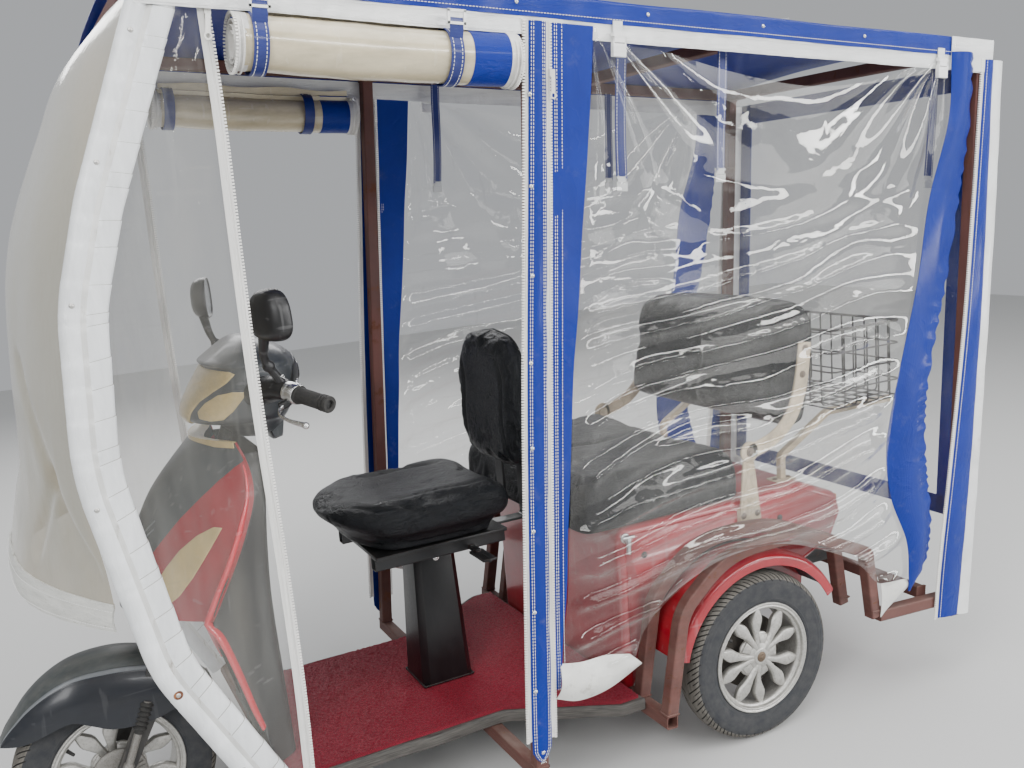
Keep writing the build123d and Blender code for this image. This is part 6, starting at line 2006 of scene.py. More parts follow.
@dataclass
class Padded:
    """One padded piece: a remeshed cover, filled by a short cloth run, then creased and subdivided.

    Local places are (along, across, out of the sitting side); `place` turns them into vehicle places.
    """

    name: str
    node: str
    body: Body
    loop: Points
    # How far each ring stands in from the outline, and its height
    levels: tuple[tuple[float, float], ...]
    place: Callable[[Points], Points]
    # Start and end of each crease as (along, across), its depth and its width
    creases: tuple[tuple[float, float, float, float, float, float], ...] = ()
    dish: float = 0.0
    dish_middle: tuple[float, float] = (0.0, 0.0)
    dish_reach: float = 0.14
    held: float = 0.020
    pressure: float = 4.0
    cap: float = 0.014
    voxel: float = 0.0062
    frames: int = 20
    piping: float = 0.012

    def build(self) -> None:
        """Makes the piece and its piping."""
        form = Form()
        inward = self.inward()
        centre = self.loop.mean(axis=0)
        rings = []
        for share in (0.04, 0.35, 0.7):
            rings.append(self.ring(centre + (self.loop + inward * self.levels[0][0] - centre) * share,
                                   self.levels[0][1]))
        rings += [self.ring(self.loop + inward * inset, h) for inset, h in self.levels]
        for share in (0.82, 0.6, 0.35, 0.04):
            rings.append(self.ring(centre + (self.loop + inward * self.levels[-1][0] - centre) * share,
                                   self.levels[-1][1]))
        form.grid(np.array(rings), 0, around=True, ends=True)
        cover = form.build(self.name, self.body, [LEATHER], [self.node], sharp=180)
        remesh = cover.modifiers.new("even", "REMESH")
        remesh.mode, remesh.voxel_size = "VOXEL", self.voxel
        settle(cover)
        smooth = cover.modifiers.new("soft", "SMOOTH")
        smooth.factor, smooth.iterations = 0.5, 4
        settle(cover)
        self.fill(cover)
        points = self.read(cover.data)
        self.write(cover.data, vehicle(self.place(self.crease(points))))
        rounds = cover.modifiers.new("rounds", "SUBSURF")
        rounds.levels = rounds.render_levels = 1
        settle(cover)
        cover.data.shade_smooth()
        LOG.info("%s: %d faces after filling", self.name, len(cover.data.polygons))
        self.trim()

    def inward(self) -> Points:
        """Gives the inward direction at each outline point."""
        step = np.roll(self.loop, -1, axis=0) - np.roll(self.loop, 1, axis=0)
        normal = np.stack([-step[:, 1], step[:, 0]], axis=1)
        normal /= np.linalg.norm(normal, axis=1, keepdims=True)
        toward = self.loop.mean(axis=0) - self.loop
        return normal * np.sign((normal * toward).sum(axis=1).sum())

    @staticmethod
    def ring(loop: Points, height: float) -> Points:
        """Sets an outline at a height."""
        return np.column_stack([loop, np.full(len(loop), height)])

    @staticmethod
    def read(mesh: bpy.types.Mesh) -> Points:
        """Reads a mesh's points."""
        flat = np.zeros(len(mesh.vertices) * 3)
        mesh.vertices.foreach_get("co", flat)
        return flat.reshape(-1, 3)

    @staticmethod
    def write(mesh: bpy.types.Mesh, points: Points) -> None:
        """Writes a mesh's points."""
        mesh.vertices.foreach_set("co", points.ravel())
        mesh.update()

    def fill(self, cover: bpy.types.Object) -> None:
        """Blows the cover up with a short cloth run and keeps a capped share of its movement."""
        start = self.read(cover.data)
        group = cover.vertex_groups.new(name="held")
        low = [int(i) for i in np.nonzero(start[:, 2] < self.levels[0][1] + self.held)[0]]
        group.add(low, 1.0, "REPLACE")
        cloth = cover.modifiers.new("filling", "CLOTH")
        settings = cloth.settings
        settings.quality, settings.mass = 4, 0.3
        settings.tension_stiffness = settings.compression_stiffness = 14.0
        settings.shear_stiffness, settings.bending_stiffness = 8.0, 0.6
        settings.vertex_group_mass = "held"
        settings.use_pressure, settings.uniform_pressure_force = True, self.pressure
        settings.shrink_min = -0.035
        settings.effector_weights.gravity = 0.0
        cloth.collision_settings.use_collision = False
        cloth.point_cache.frame_start, cloth.point_cache.frame_end = 1, self.frames
        scene = bpy.context.scene
        for step in range(1, self.frames + 1):
            scene.frame_set(step)
        graph = bpy.context.evaluated_depsgraph_get()
        moved = self.read(cover.evaluated_get(graph).data) - start
        length = np.maximum(np.linalg.norm(moved, axis=1, keepdims=True), 1e-9)
        cover.modifiers.clear()
        scene.frame_set(1)
        self.write(cover.data, start + moved * np.minimum(1.0, self.cap / length))

    def crease(self, points: Points) -> Points:
        """Dishes the sitting side and presses the creases into it."""
        out = points.copy()
        top = np.clip((points[:, 2] - (self.levels[0][1] + self.levels[-1][1]) / 2) / 0.02, 0, 1)
        away = np.hypot(points[:, 0] - self.dish_middle[0], points[:, 1] - self.dish_middle[1])
        out[:, 2] -= self.dish * np.exp(-(away / self.dish_reach) ** 2) * top
        for u0, v0, u1, v1, deep, wide in self.creases:
            line = np.array([u1 - u0, v1 - v0])
            share = np.clip(((points[:, :2] - (u0, v0)) @ line) / (line @ line), 0, 1)
            off = points[:, :2] - ((u0, v0) + share[:, None] * line)
            wave = 0.006 * np.sin(share * 9.0 + u0 * 40)
            gap = np.hypot(off[:, 0], off[:, 1] + wave)
            ends = np.clip(np.minimum(share, 1 - share) / 0.2, 0.0, 1.0) ** 0.5
            out[:, 2] -= deep * ends * np.exp(-(gap / wide) ** 2) * top
        out[:, 2] += 0.0012 * ripple(points, 14.0, 3.0) * top
        return out

    def trim(self) -> None:
        """Adds the piping round the underside's edge."""
        inset = self.inward() * 0.004
        ring = self.ring(self.loop + inset, self.levels[0][1] + self.piping)
        form = Form()
        section = circle(0.0042, 10)
        ahead = np.roll(ring, -1, axis=0) - np.roll(ring, 1, axis=0)
        ahead /= np.linalg.norm(ahead, axis=1, keepdims=True)
        side = np.cross(ahead, (0.0, 0.0, 1.0))
        rows = ring[:, None, :] + section[None, :, :1] * side[:, None, :] + section[None, :, 1:] * np.array([0, 0, 1.0])
        form.grid(np.concatenate([rows, rows[:1]]), 0, around=True)
        form.shift(lambda p: vehicle(self.place(p))).build(self.name + "_piping", self.body, [PIPING], sharp=60)


def upholstery() -> list[Padded]:
    """Describes the four padded pieces of the driver's seat and the bench.

    Returns:
        The pieces, in the order in which they are built.
    """
    lean = math.atan2(0.060, 0.328)

    def driver_seat(p: Points) -> Points:
        """Thins the cushion towards its raised nose: along is forward, out is upward."""
        nose = np.clip((p[..., 0] - 0.800) / 0.135, 0, 1) ** 1.6
        up = p[..., 2] + nose * 0.040 * np.clip((0.690 - p[..., 2]) / 0.100, 0, 1) + 0.004 * nose
        return np.stack([p[..., 0], p[..., 1], up], axis=-1)

    def driver_back(p: Points) -> Points:
        """Stands the driver's backrest up: along is upward, out is forward."""
        return np.stack([0.431 + p[..., 2], p[..., 1], p[..., 0]], axis=-1)

    def bench_back(p: Points) -> Points:
        """Stands the bench's backrest up, leaned back."""
        up, out = p[..., 0], p[..., 2]
        return np.stack([-0.256 - up * math.sin(lean) + out * math.cos(lean), p[..., 1],
                         0.716 + up * math.cos(lean) + out * math.sin(lean)], axis=-1)

    cushion = Padded(
        "driver_seat_cushion", "driver_cushion", Body.VEHICLE,
        oval([(0.932, 0.0), (0.921, 0.072), (0.884, 0.132), (0.834, 0.176), (0.760, 0.191), (0.660, 0.194),
              (0.572, 0.188), (0.528, 0.168), (0.509, 0.110), (0.507, 0.0)]),
        ((0.064, 0.587), (0.046, 0.588), (0.042, 0.604), (0.030, 0.626), (0.006, 0.640), (0.000, 0.654),
         (0.001, 0.674), (0.009, 0.694), (0.028, 0.703), (0.070, 0.705)),
        driver_seat,
        creases=((0.555, 0.118, 0.815, 0.118, 0.0085, 0.010), (0.560, -0.118, 0.800, -0.120, 0.0080, 0.011),
                 (0.600, 0.152, 0.850, 0.140, -0.0030, 0.012), (0.640, 0.020, 0.760, 0.075, 0.0034, 0.016),
                 (0.700, -0.060, 0.800, 0.000, 0.0030, 0.016), (0.575, 0.040, 0.650, 0.075, 0.0030, 0.012),
                 (0.850, -0.050, 0.890, 0.060, 0.0030, 0.014)),
        dish=0.012, dish_middle=(0.700, 0.0), dish_reach=0.135, pressure=2.4, cap=0.006, piping=0.068)
    backrest = Padded(
        "driver_seat_backrest", "driver_backrest", Body.VEHICLE,
        oval([(0.708, 0.0), (0.712, 0.090), (0.738, 0.138), (0.800, 0.160), (0.870, 0.163), (0.940, 0.156),
              (0.995, 0.134), (1.030, 0.090), (1.044, 0.0)]),
        ((0.020, 0.003), (0.006, 0.005), (0.001, 0.013), (0.000, 0.022), (0.002, 0.036), (0.010, 0.047),
         (0.026, 0.053), (0.050, 0.055)),
        driver_back,
        creases=((0.740, 0.108, 0.985, 0.104, 0.0060, 0.007), (0.740, -0.108, 0.985, -0.104, 0.0060, 0.007),
                 (0.985, -0.104, 1.012, 0.000, 0.0050, 0.007), (0.985, 0.104, 1.012, 0.000, 0.0050, 0.007),
                 (0.760, -0.040, 0.790, 0.050, 0.0030, 0.012)),
        dish=0.006, dish_middle=(0.860, 0.0), dish_reach=0.100, held=0.012, cap=0.006, voxel=0.0052, piping=0.008)
    bench = Padded(
        "bench_seat_cushion", "bench_cushion", Body.VEHICLE,
        oval([(0.415, 0.0), (0.414, 0.240), (0.406, 0.308), (0.376, 0.323), (0.200, 0.325), (0.000, 0.324),
              (-0.040, 0.312), (-0.056, 0.260), (-0.057, 0.0)], 220),
        ((0.030, 0.577), (0.008, 0.578), (0.001, 0.588), (0.000, 0.604), (0.001, 0.650), (0.008, 0.676),
         (0.024, 0.690), (0.050, 0.697)),
        lambda p: p,
        creases=((0.040, 0.0, 0.360, 0.0, 0.0070, 0.010), (0.330, -0.27, 0.332, 0.27, 0.0050, 0.009),
                 (0.120, 0.090, 0.240, 0.200, 0.0035, 0.014), (0.100, -0.220, 0.220, -0.120, 0.0035, 0.014),
                 (0.250, 0.060, 0.300, 0.180, 0.0030, 0.012)),
        dish=0.010, dish_middle=(0.180, 0.16), dish_reach=0.160, cap=0.012, voxel=0.0072)
    bench_rest = Padded(
        "bench_seat_backrest", "bench_backrest", Body.BENCH_BACK,
        oval([(0.002, 0.0), (0.004, 0.250), (0.020, 0.316), (0.060, 0.331), (0.180, 0.332), (0.270, 0.322),
              (0.312, 0.282), (0.326, 0.200), (0.330, 0.0)], 220),
        ((0.024, 0.004), (0.006, 0.006), (0.000, 0.018), (0.000, 0.060), (0.004, 0.080), (0.018, 0.092),
         (0.045, 0.096)),
        bench_back,
        creases=((0.030, 0.0, 0.300, 0.0, 0.0060, 0.009), (0.150, -0.300, 0.152, 0.300, 0.0055, 0.010),
                 (0.060, 0.100, 0.120, 0.240, 0.0030, 0.012), (0.190, -0.200, 0.260, -0.100, 0.0030, 0.012)),
        dish=0.0, held=0.016, cap=0.008, voxel=0.0072, piping=0.010)
    return [cushion, backrest, bench, bench_rest]


def inlay(form: Form, surface: Callable[[Points], Points], outline: Points, lift: float, mark: int,
          lip: float = 0.10) -> None:
    """Adds a raised patch with a rounded edge on a curved surface.

    Args:
        form: The form that gets it.
        surface: Turns rows of two parameters into places.
        outline: Closed outline in the surface's parameters, star-shaped about its middle.
        lift: Height of the patch above the surface.
        mark: Finish number.
        lip: Share of the patch that its rounded edge takes.
    """
    middle = outline.mean(axis=0)
    rows = []
    for share, height in ((0.03, 1.0), (0.3, 1.0), (0.55, 1.0), (0.78, 1.0), (1 - lip, 1.0), (1 - lip * 0.45, 0.88),
                          (1 - lip * 0.12, 0.55), (1.0, -0.6)):
        at = middle + (outline - middle) * share
        ahead = surface(at + (1e-3, 0)) - surface(at - (1e-3, 0))
        above = surface(at + (0, 1e-3)) - surface(at - (0, 1e-3))
        normal = np.cross(ahead, above)
        normal /= np.linalg.norm(normal, axis=1, keepdims=True)
        rows.append(surface(at) + normal * lift * height)
    form.grid(np.array(rows), mark, around=True)
    form.add(rows[0], [tuple(range(len(outline)))], mark)


@dataclass
class HeadCover:
    """Cover round the handlebar: beaked hood, wide headlight, leaf inserts, dash and shroud."""

    # Height, then the plan outline there: nose, widest place, back, half width
    levels: tuple[tuple[float, float, float, float, float], ...] = (
        (0.8860, 1.074, 1.056, 1.032, 0.030), (0.8900, 1.090, 1.056, 1.020, 0.050),
        (0.8980, 1.104, 1.057, 1.006, 0.066),
        (0.9120, 1.120, 1.058, 0.993, 0.084), (0.9270, 1.138, 1.058, 0.984, 0.104),
        (0.9350, 1.180, 1.059, 0.980, 0.120),
        (0.9450, 1.201, 1.060, 0.975, 0.130), (0.9600, 1.203, 1.060, 0.967, 0.138),
        (0.9800, 1.195, 1.060, 0.958, 0.148),
        (1.0000, 1.182, 1.060, 0.952, 0.156), (1.0200, 1.168, 1.060, 0.951, 0.160),
        (1.0400, 1.153, 1.060, 0.953, 0.159),
        (1.0520, 1.145, 1.061, 0.957, 0.156), (1.0570, 1.152, 1.061, 0.959, 0.155),
        (1.0620, 1.152, 1.062, 0.962, 0.152),
        (1.0720, 1.137, 1.063, 0.972, 0.142), (1.0850, 1.118, 1.064, 0.990, 0.122),
        (1.0980, 1.099, 1.065, 1.012, 0.092),
        (1.1070, 1.084, 1.066, 1.034, 0.060), (1.1115, 1.074, 1.066, 1.052, 0.028),
        (1.1125, 1.067, 1.066, 1.064, 0.004))
    # Half outlines in (degrees from the nose, height)
    lamp: tuple[tuple[float, float], ...] = (
        (0, 1.0505), (30, 1.0505), (52, 1.0490), (60, 1.0440), (52, 1.0260), (40, 1.0080), (29, 0.9880), (23, 0.9660),
        (20, 0.9480), (14, 0.9375), (0, 0.9360))
    leaf: tuple[tuple[float, float], ...] = (
        (77, 1.0070), (62, 1.0090), (47, 1.0030), (36, 0.9860), (31, 0.9680), (34, 0.9530), (46, 0.9470), (59, 0.9490),
        (67, 0.9660), (73, 0.9900))
    shroud: tuple[tuple[float, float], ...] = ((-0.022, 0.002), (-0.096, -0.040), (-0.084, -0.108), (-0.062, -0.113))
    bar_mid: tuple[float, float] = (1.08165, 0.98129)

    def surface(self, at: Points) -> Points:
        """Gives places on the cover for angles from the nose and heights."""
        turn, z = at[..., 0], at[..., 1]
        knots = self.smooth()
        nose, mid, back, half = (np.interp(z, knots[:, 0], knots[:, k]) for k in range(1, 5))
        ahead, aside = np.cos(turn), np.sin(turn)
        ahead, aside = np.sign(ahead) * np.abs(ahead) ** 0.92, np.sign(aside) * np.abs(aside) ** 0.92
        x = mid + np.where(ahead > 0, (nose - mid) * ahead, (mid - back) * ahead)
        return np.stack([x, half * aside, z], axis=-1)

    def smooth(self) -> Points:
        """Gives the levels, smoothed."""
        return curve_through(np.array(self.levels), 161)

    def build(self) -> None:
        """Makes the cover with its inserts, and the headlight."""
        cover = Form()
        heights = self.smooth()[:, 0]
        turns = np.linspace(-math.pi, math.pi, 145)[:-1]
        at = np.stack(np.meshgrid(heights, turns, indexing="ij")[::-1], axis=-1)
        cover.grid(self.surface(at), 0, around=True, ends=True)
        leaf = np.array(self.leaf) * (math.pi / 180, 1.0)
        dense = even(np.concatenate([leaf, leaf[:1]]) * (0.15, 1.0), 0.003) / (0.15, 1.0)
        for hand in (1, -1):
            inlay(cover, self.surface, dense[:-1][::hand] * (hand, 1), 0.0016, 1)
            rim = dense[:-1].mean(axis=0) + (dense[:-1] - dense[:-1].mean(axis=0)) * 1.12
            inlay(cover, self.surface, rim[::hand] * (hand, 1), 0.0007, 0, lip=0.05)
        dash = np.array([(math.pi + 0.95 * math.cos(a), 1.012 + 0.048 * math.sin(a)) for a in np.linspace(0,
                                                                                                          2 * math.pi,
                                                                                                          61)])
        inlay(cover, self.surface, dash[:-1], 0.0022, 2)
        for turn, z, wide, tall, mark in ((3.14, 1.020, 0.42, 0.024, 3), (2.45, 1.002, 0.08, 0.010, 4),
                                          (3.83, 1.002, 0.08, 0.010, 4), (3.14, 0.975, 0.10, 0.008, 4)):
            dial = np.array([(turn + wide * math.cos(a), z + tall * math.sin(a))
                             for a in np.linspace(0, 2 * math.pi, 49)[:-1]])
            inlay(cover, self.surface, dial, 0.0042, mark)
        self.lower(cover)
        cover.shift(vehicle).build("head_cover_shell", Body.STEERING, [DARK, SAND, SOOT, GAUGE, BRIGHT], ["head_cover"],
                                   sharp=44)
        lamp = Form()
        half = np.array(self.lamp) * (math.pi / 180, 1.0)
        loop = np.concatenate([half, half[-2:0:-1] * (-1, 1)])
        loop = even(np.concatenate([loop, loop[:1]]) * (0.12, 1.0), 0.003)[:-1] / (0.12, 1.0)
        inlay(lamp, self.surface, loop, 0.0034, 0, lip=0.07)
        lamp.shift(vehicle).build("headlight_cover", Body.STEERING, [SAND], ["headlight"], sharp=50)

    def lower(self, form: Form) -> None:
        """Adds the shroud below the dash and the sleeves out to the switches."""
        x, z = self.bar_mid
        ring = np.array([(x + dx, z + dz) for dx, dz in self.shroud])
        loop = even(np.concatenate([ring, ring[:1]]), 0.006)[:-1]
        rows = [np.column_stack([loop[:, 0], np.full(len(loop), y), loop[:, 1]]) for y in np.linspace(-0.040, 0.040, 9)]
        middle = np.array(rows).mean(axis=(0, 1))
        swell = 1 - 0.16 * np.abs(np.linspace(-1, 1, 9)) ** 4
        out = np.array([middle * (1, 0, 1) + (row - middle * (1, 0, 1)) * (s, 1, s) for row, s in zip(rows, swell)])
        form.grid(out, 0, around=True, ends=True)
        for hand in (1, -1):
            line = np.array([(x - 0.008, 0.125 * hand, z + 0.018), (x - 0.026, 0.190 * hand, z + 0.030),
                             (x - 0.037, 0.234 * hand, z + 0.0365), (x - 0.048, 0.262 * hand, z + 0.0318)])
            form.rod(curve_through(line, 14), 0.0215, 24, 2, scale=np.linspace(1.5, 0.95, 14))


@dataclass
class Controls:
    """Grips, switch rings, levers and mirrors on the handlebar."""

    bar_mid: tuple[float, float, float] = (1.08165, 0.0, 0.98129)
    rise: tuple[float, float, float] = (-0.0366, 0.235, 0.0367)
    tip: tuple[float, float, float] = (-0.0966, 0.366, 0.0127)
    ring: tuple[tuple[float, float], ...] = (
        (0.0118, 0.0300), (0.0200, 0.0300), (0.0212, 0.0312), (0.0212, 0.0378), (0.0196, 0.0384), (0.0196, 0.0400),
        (0.0212, 0.0406), (0.0212, 0.0590), (0.0202, 0.0612), (0.0160, 0.0616), (0.0118, 0.0616))
    mirror_turn: float = 18.0
    mirror_half: tuple[float, float] = (0.0565, 0.0505)
    mirror_at: tuple[float, float, float] = (-0.026, 0.328, 0.1935)
    # Depth from the glass and size of the shell there
    shell: tuple[tuple[float, float], ...] = (
        (0.0020, 0.02), (0.0020, 0.60), (0.0020, 0.915), (0.0000, 0.930), (-0.0004, 0.965), (0.0016, 0.992),
        (0.0060, 1.0), (0.0150, 0.985), (0.0240, 0.930), (0.0310, 0.830), (0.0360, 0.680), (0.0390, 0.480),
        (0.0402, 0.240), (0.0404, 0.02))

    def along(self, s: float, hand: int, forward: float = 0.0, down: float = 0.0) -> Points:
        """Gives a place on a grip's line, s metres from the bend, or ahead of and below it."""
        rise, tip = (np.asarray(self.bar_mid) + v for v in (self.rise, self.tip))
        at = rise + (tip - rise) / np.linalg.norm(tip - rise) * s
        return at * (1, hand, 1) + (forward, 0, -down)

    def build(self) -> None:
        """Makes the grips, the switches with their levers, and the mirrors."""
        grips, switches, mirrors = Form(), Form(), Form()
        for hand in (1, -1):
            axis = self.along(1.0, hand) - self.along(0.0, hand)
            start = self.along(0.0, hand)
            grips.lathe(self.grip_profile(), start, axis, 40, 0)
            switches.lathe(self.ring, start, axis, 48, 0)
            self.lever(switches, hand)
            self.mirror(mirrors, hand)
        grips.shift(vehicle).build("ribbed_grips", Body.STEERING, [GRIP], ["handlebar_grips"], sharp=30)
        switches.shift(vehicle).build("switches_and_levers", Body.STEERING, [BRIGHT, SOOT], ["bar_switches"], sharp=35)
        mirrors.shift(vehicle).build("mirror_shells", Body.STEERING, [SOOT, GLASS, BRIGHT], ["mirrors"], sharp=42)

    @staticmethod
    def grip_profile() -> list[tuple[float, float]]:
        """Gives the grip's turned outline: flange, fine ribs, three end rings and the hollow end."""
        out = [(0.0118, 0.0620), (0.0186, 0.0620), (0.0190, 0.0632), (0.0188, 0.0655), (0.0158, 0.0664)]
        for k in range(14):
            s = 0.0690 + 0.0041 * k
            out += [(0.0158, s), (0.0151, s + 0.0005), (0.0151, s + 0.0012), (0.0158, s + 0.0017)]
        for s in (0.1275, 0.1355, 0.1435):
            out += [(0.0150, s), (0.0166, s + 0.0006), (0.0168, s + 0.0058), (0.0150, s + 0.0064)]
        return out + [(0.0160, 0.1512), (0.0150, 0.1520), (0.0096, 0.1520), (0.0088, 0.1508), (0.0080, 0.1440),
                      (0.0001, 0.1436)]

    def lever(self, form: Form, hand: int) -> None:
        """Adds the clamp's perch and the curved lever with its ball end."""
        root, knee, end = (self.along(s, hand, ahead, down) for s, ahead, down in (
            (0.044, 0.004, 0.014), (0.058, 0.046, 0.030), (0.146, 0.048, 0.034)))
        form.rod([root - (0, 0, -0.004), root + (0.012, 0, -0.006), root + (0.026, 0, -0.010)], 0.0086, 14, 1)
        path = even(filleted([root + (0.010, 0, -0.004), knee, (knee + end) / 2 + (0.006, 0, -0.002), end],
                             (0.020, 0.120)), 0.004)
        share = np.linspace(0, 1, len(path))
        form.sweep(path, rounded_section(0.0110, 0.0062, 0.0028), (0, 0.2, 1), 0,
                   scale=1.0 - 0.30 * np.sin(share * math.pi) ** 2)
        turns = np.linspace(0, math.pi, 12)
        ball = [(max(1e-4, 0.0070 * math.sin(a)), -0.0070 * math.cos(a)) for a in turns]
        form.lathe(ball, end, (0, 1, 0), 20, 0)

    def mirror(self, form: Form, hand: int) -> None:
        """Adds one mirror: stem with its ball joint and nut, domed shell, glass."""
        middle = np.asarray(self.bar_mid)
        foot = self.along(0.018, hand)
        knee = middle + (-0.0066, hand * 0.262, 0.1037)
        neck = middle + (-0.0036, hand * 0.314, 0.1600)
        stem = even(filleted([foot + (0, 0, 0.010), knee, neck], (0.060,)), 0.006)
        share = np.linspace(0, 1, len(stem))
        form.rod(stem, 0.0082, 16, 0,
                 scale=np.interp(share, (0, 0.3, 0.32, 0.40, 0.42, 1), (1.25, 1.0, 1.5, 1.5, 0.95, 1.45)))
        form.rod([stem[2], stem[2] + (0, 0, 0.011)], 0.0092, 6, 2)
        form.lathe([(0.0118, 0.0090), (0.0172, 0.0090), (0.0178, 0.0105), (0.0178, 0.0265), (0.0170, 0.0280),
                    (0.0118, 0.0280)],
                   self.along(0.0, hand), self.along(1.0, hand) - self.along(0.0, hand), 36, 0)
        turn = math.radians(self.mirror_turn) * hand
        back, side = np.array([math.cos(turn), math.sin(turn), 0]), np.array([-math.sin(turn), math.cos(turn), 0])
        angle = np.linspace(0, 2 * math.pi, 73)[:-1]
        wide = np.sign(np.cos(angle)) * np.abs(np.cos(angle)) ** 0.74 * self.mirror_half[0]
        tall = np.sign(np.sin(angle)) * np.abs(np.sin(angle)) ** 0.74 * self.mirror_half[1]
        wide = wide * (1 - 0.10 * tall / self.mirror_half[1])
        centre = middle + np.asarray(self.mirror_at) * (1, hand, 1)
        rows = np.array([centre + back * deep + size * (wide[:, None] * side + tall[:, None] * np.array([0, 0, 1.0]))
                         for deep, size in self.shell])
        first = len(form.faces)
        form.grid(rows, 0, around=True, ends=True)
        form.marks[first:first + 2 * len(angle)] = [1] * (2 * len(angle))
        form.marks[-2] = 1


@dataclass
class LegShield:
    """Bowed leg shield: dark middle, red wings with beige leaves and a bright edge painted as a highlight, and the knee
    panel behind.
    """

    # Height, nose, wing's rear edge, half width
    levels: tuple[tuple[float, float, float, float], ...] = (
        (0.565, 1.385, 1.232, 0.228), (0.620, 1.371, 1.202, 0.2275), (0.680, 1.350, 1.168, 0.225),
        (0.740, 1.324, 1.138, 0.215), (0.800, 1.290, 1.114, 0.199), (0.855, 1.242, 1.112, 0.176),
        (0.905, 1.190, 1.128, 0.150))
    # Height and the share of the half width where the red starts
    border: tuple[tuple[float, float], ...] = (
        (0.565, 0.20), (0.600, 0.24), (0.640, 0.30), (0.680, 0.38), (0.720, 0.47), (0.760, 0.56), (0.800, 0.67),
        (0.830, 0.77), (0.855, 0.89), (0.868, 0.985))
    thick: float = 0.005
    # Leaf insert as (share of the half width, height)
    leaf: tuple[tuple[float, float], ...] = (
        (0.865, 0.742), (0.810, 0.744), (0.720, 0.728), (0.630, 0.700), (0.560, 0.664), (0.510, 0.628), (0.500, 0.604),
        (0.560, 0.590), (0.660, 0.592), (0.730, 0.612), (0.780, 0.646), (0.820, 0.690))
    knee: tuple[tuple[float, float, float, float, float], ...] = (
        (0.200, 1.084, 0.160, 1.132, 0.196), (0.300, 1.088, 0.166, 1.158, 0.206), (0.420, 1.093, 0.176, 1.192, 0.218),
        (0.565, 1.098, 0.186, 1.231, 0.227), (0.680, 1.094, 0.188, 1.167, 0.224), (0.740, 1.089, 0.186, 1.137, 0.214),
        (0.800, 1.082, 0.178, 1.113, 0.198), (0.850, 1.076, 0.164, 1.112, 0.178), (0.880, 1.074, 0.150, 1.122, 0.160))

    def surface(self, at: Points) -> Points:
        """Gives places on the shield for shares of the half width and heights."""
        knots = curve_through(np.array(self.levels), 121)
        share, z = at[..., 0], at[..., 1]
        nose, wing, half = (np.interp(z, knots[:, 0], knots[:, k]) for k in (1, 2, 3))
        return np.stack([nose - (nose - wing) * np.abs(share) ** 1.9, half * share, z], axis=-1)

    def build(self) -> None:
        """Makes the middle, the wings and the knee panel."""
        heights = np.linspace(self.levels[0][0], self.levels[-1][0], 90)
        red = np.interp(heights, *np.array(self.border).T)
        middle = Form()
        share = np.linspace(-1, 1, 61)
        at = np.stack([red[:, None] * share[None, :], np.repeat(heights[:, None], 61, axis=1)], axis=-1)
        middle.slab(self.surface(at), -self.thick, 0)
        # Thin pale rods trace the middle's moulded ridges, painted pale as highlights.
        for z0, z1, reach in ((0.690, 0.752, 0.32), (0.676, 0.736, 0.34)):
            for hand in (1, -1):
                spots = np.stack([np.linspace(0.02, reach, 20) * hand, z0 + (z1 - z0) * np.linspace(0, 1, 20) ** 1.4],
                                 axis=-1)
                middle.rod(self.surface(spots) + (0.0004, 0, 0), 0.0016, 8, 1)
        self.cap(middle)
        middle.shift(vehicle).build("leg_shield_front", Body.VEHICLE, [DARK, RIB_HIGHLIGHT, SAND], ["leg_shield_middle"],
                                    sharp=50)
        wings = Form()
        share = np.linspace(0, 1, 44)
        at = np.stack([red[:, None] + (1 - red[:, None]) * share[None, :], np.repeat(heights[:, None], 44, axis=1)],
                      axis=-1)
        wings.slab(self.surface(at), -self.thick, 0)
        leaf = np.array(self.leaf)
        leaf = even(np.concatenate([leaf, leaf[:1]]) * (0.24, 1.0), 0.004)[:-1] / (0.24, 1.0)
        inlay(wings, self.surface, leaf, 0.0018, 1, lip=0.08)
        self.stripe(wings, heights)
        wings.mirrored().shift(vehicle).build("leg_shield_red_wings", Body.VEHICLE, [RED, SAND, RED_EDGE_HIGHLIGHT],
                                              ["leg_shield_wings"], sharp=50)
        self.knees()

    def stripe(self, form: Form, heights: Points) -> None:
        """Adds the rounded bead along the wing's rear edge, its brighter red a painted highlight."""
        upper = self.surface(np.stack([np.full_like(heights, 0.965), heights], axis=-1))[:-12]
        lower = curve_through(np.array([(1.157, 0.209, 0.300), (1.172, 0.214, 0.350), (1.195, 0.221, 0.440),
                                        (1.219, 0.225, 0.520), upper[0] - (0.004, 0, 0.010)]), 40)
        line = np.concatenate([lower, upper])
        section = np.array([(0.0120 * math.cos(a), 0.0055 * math.sin(a)) for a in np.linspace(0, 2 * math.pi, 17)[:-1]])
        wide = np.interp(np.linspace(0, 1, len(line)), (0, 0.15, 0.35, 0.75, 1.0), (0.8, 1.15, 1.3, 1.0, 0.3))
        form.sweep(line, section, (0.45, 0.9, 0), 2, scale=wide)

    def cap(self, form: Form) -> None:
        """Adds the beige strip that closes the shield's top edge back to the knee panel."""
        share = np.linspace(-1, 1, 61)
        outer = self.surface(np.stack([share, np.full(61, 0.905)], axis=-1)) + (0.001, 0, 0.001)
        inner = np.stack([1.078 + 0.045 * np.abs(share) ** 6, 0.148 * share, np.full(61, 0.882)], axis=-1)
        rows = np.array([outer + (0.002, 0, -0.012), outer + (0.0025, 0, 0.0),
                         outer * 0.90 + inner * 0.10 + (0, 0, 0.001),
                         outer * 0.80 + inner * 0.20 - (0, 0, 0.003), outer * 0.76 + inner * 0.24 - (0, 0, 0.009)])
        form.slab(rows, 0.003, 2)

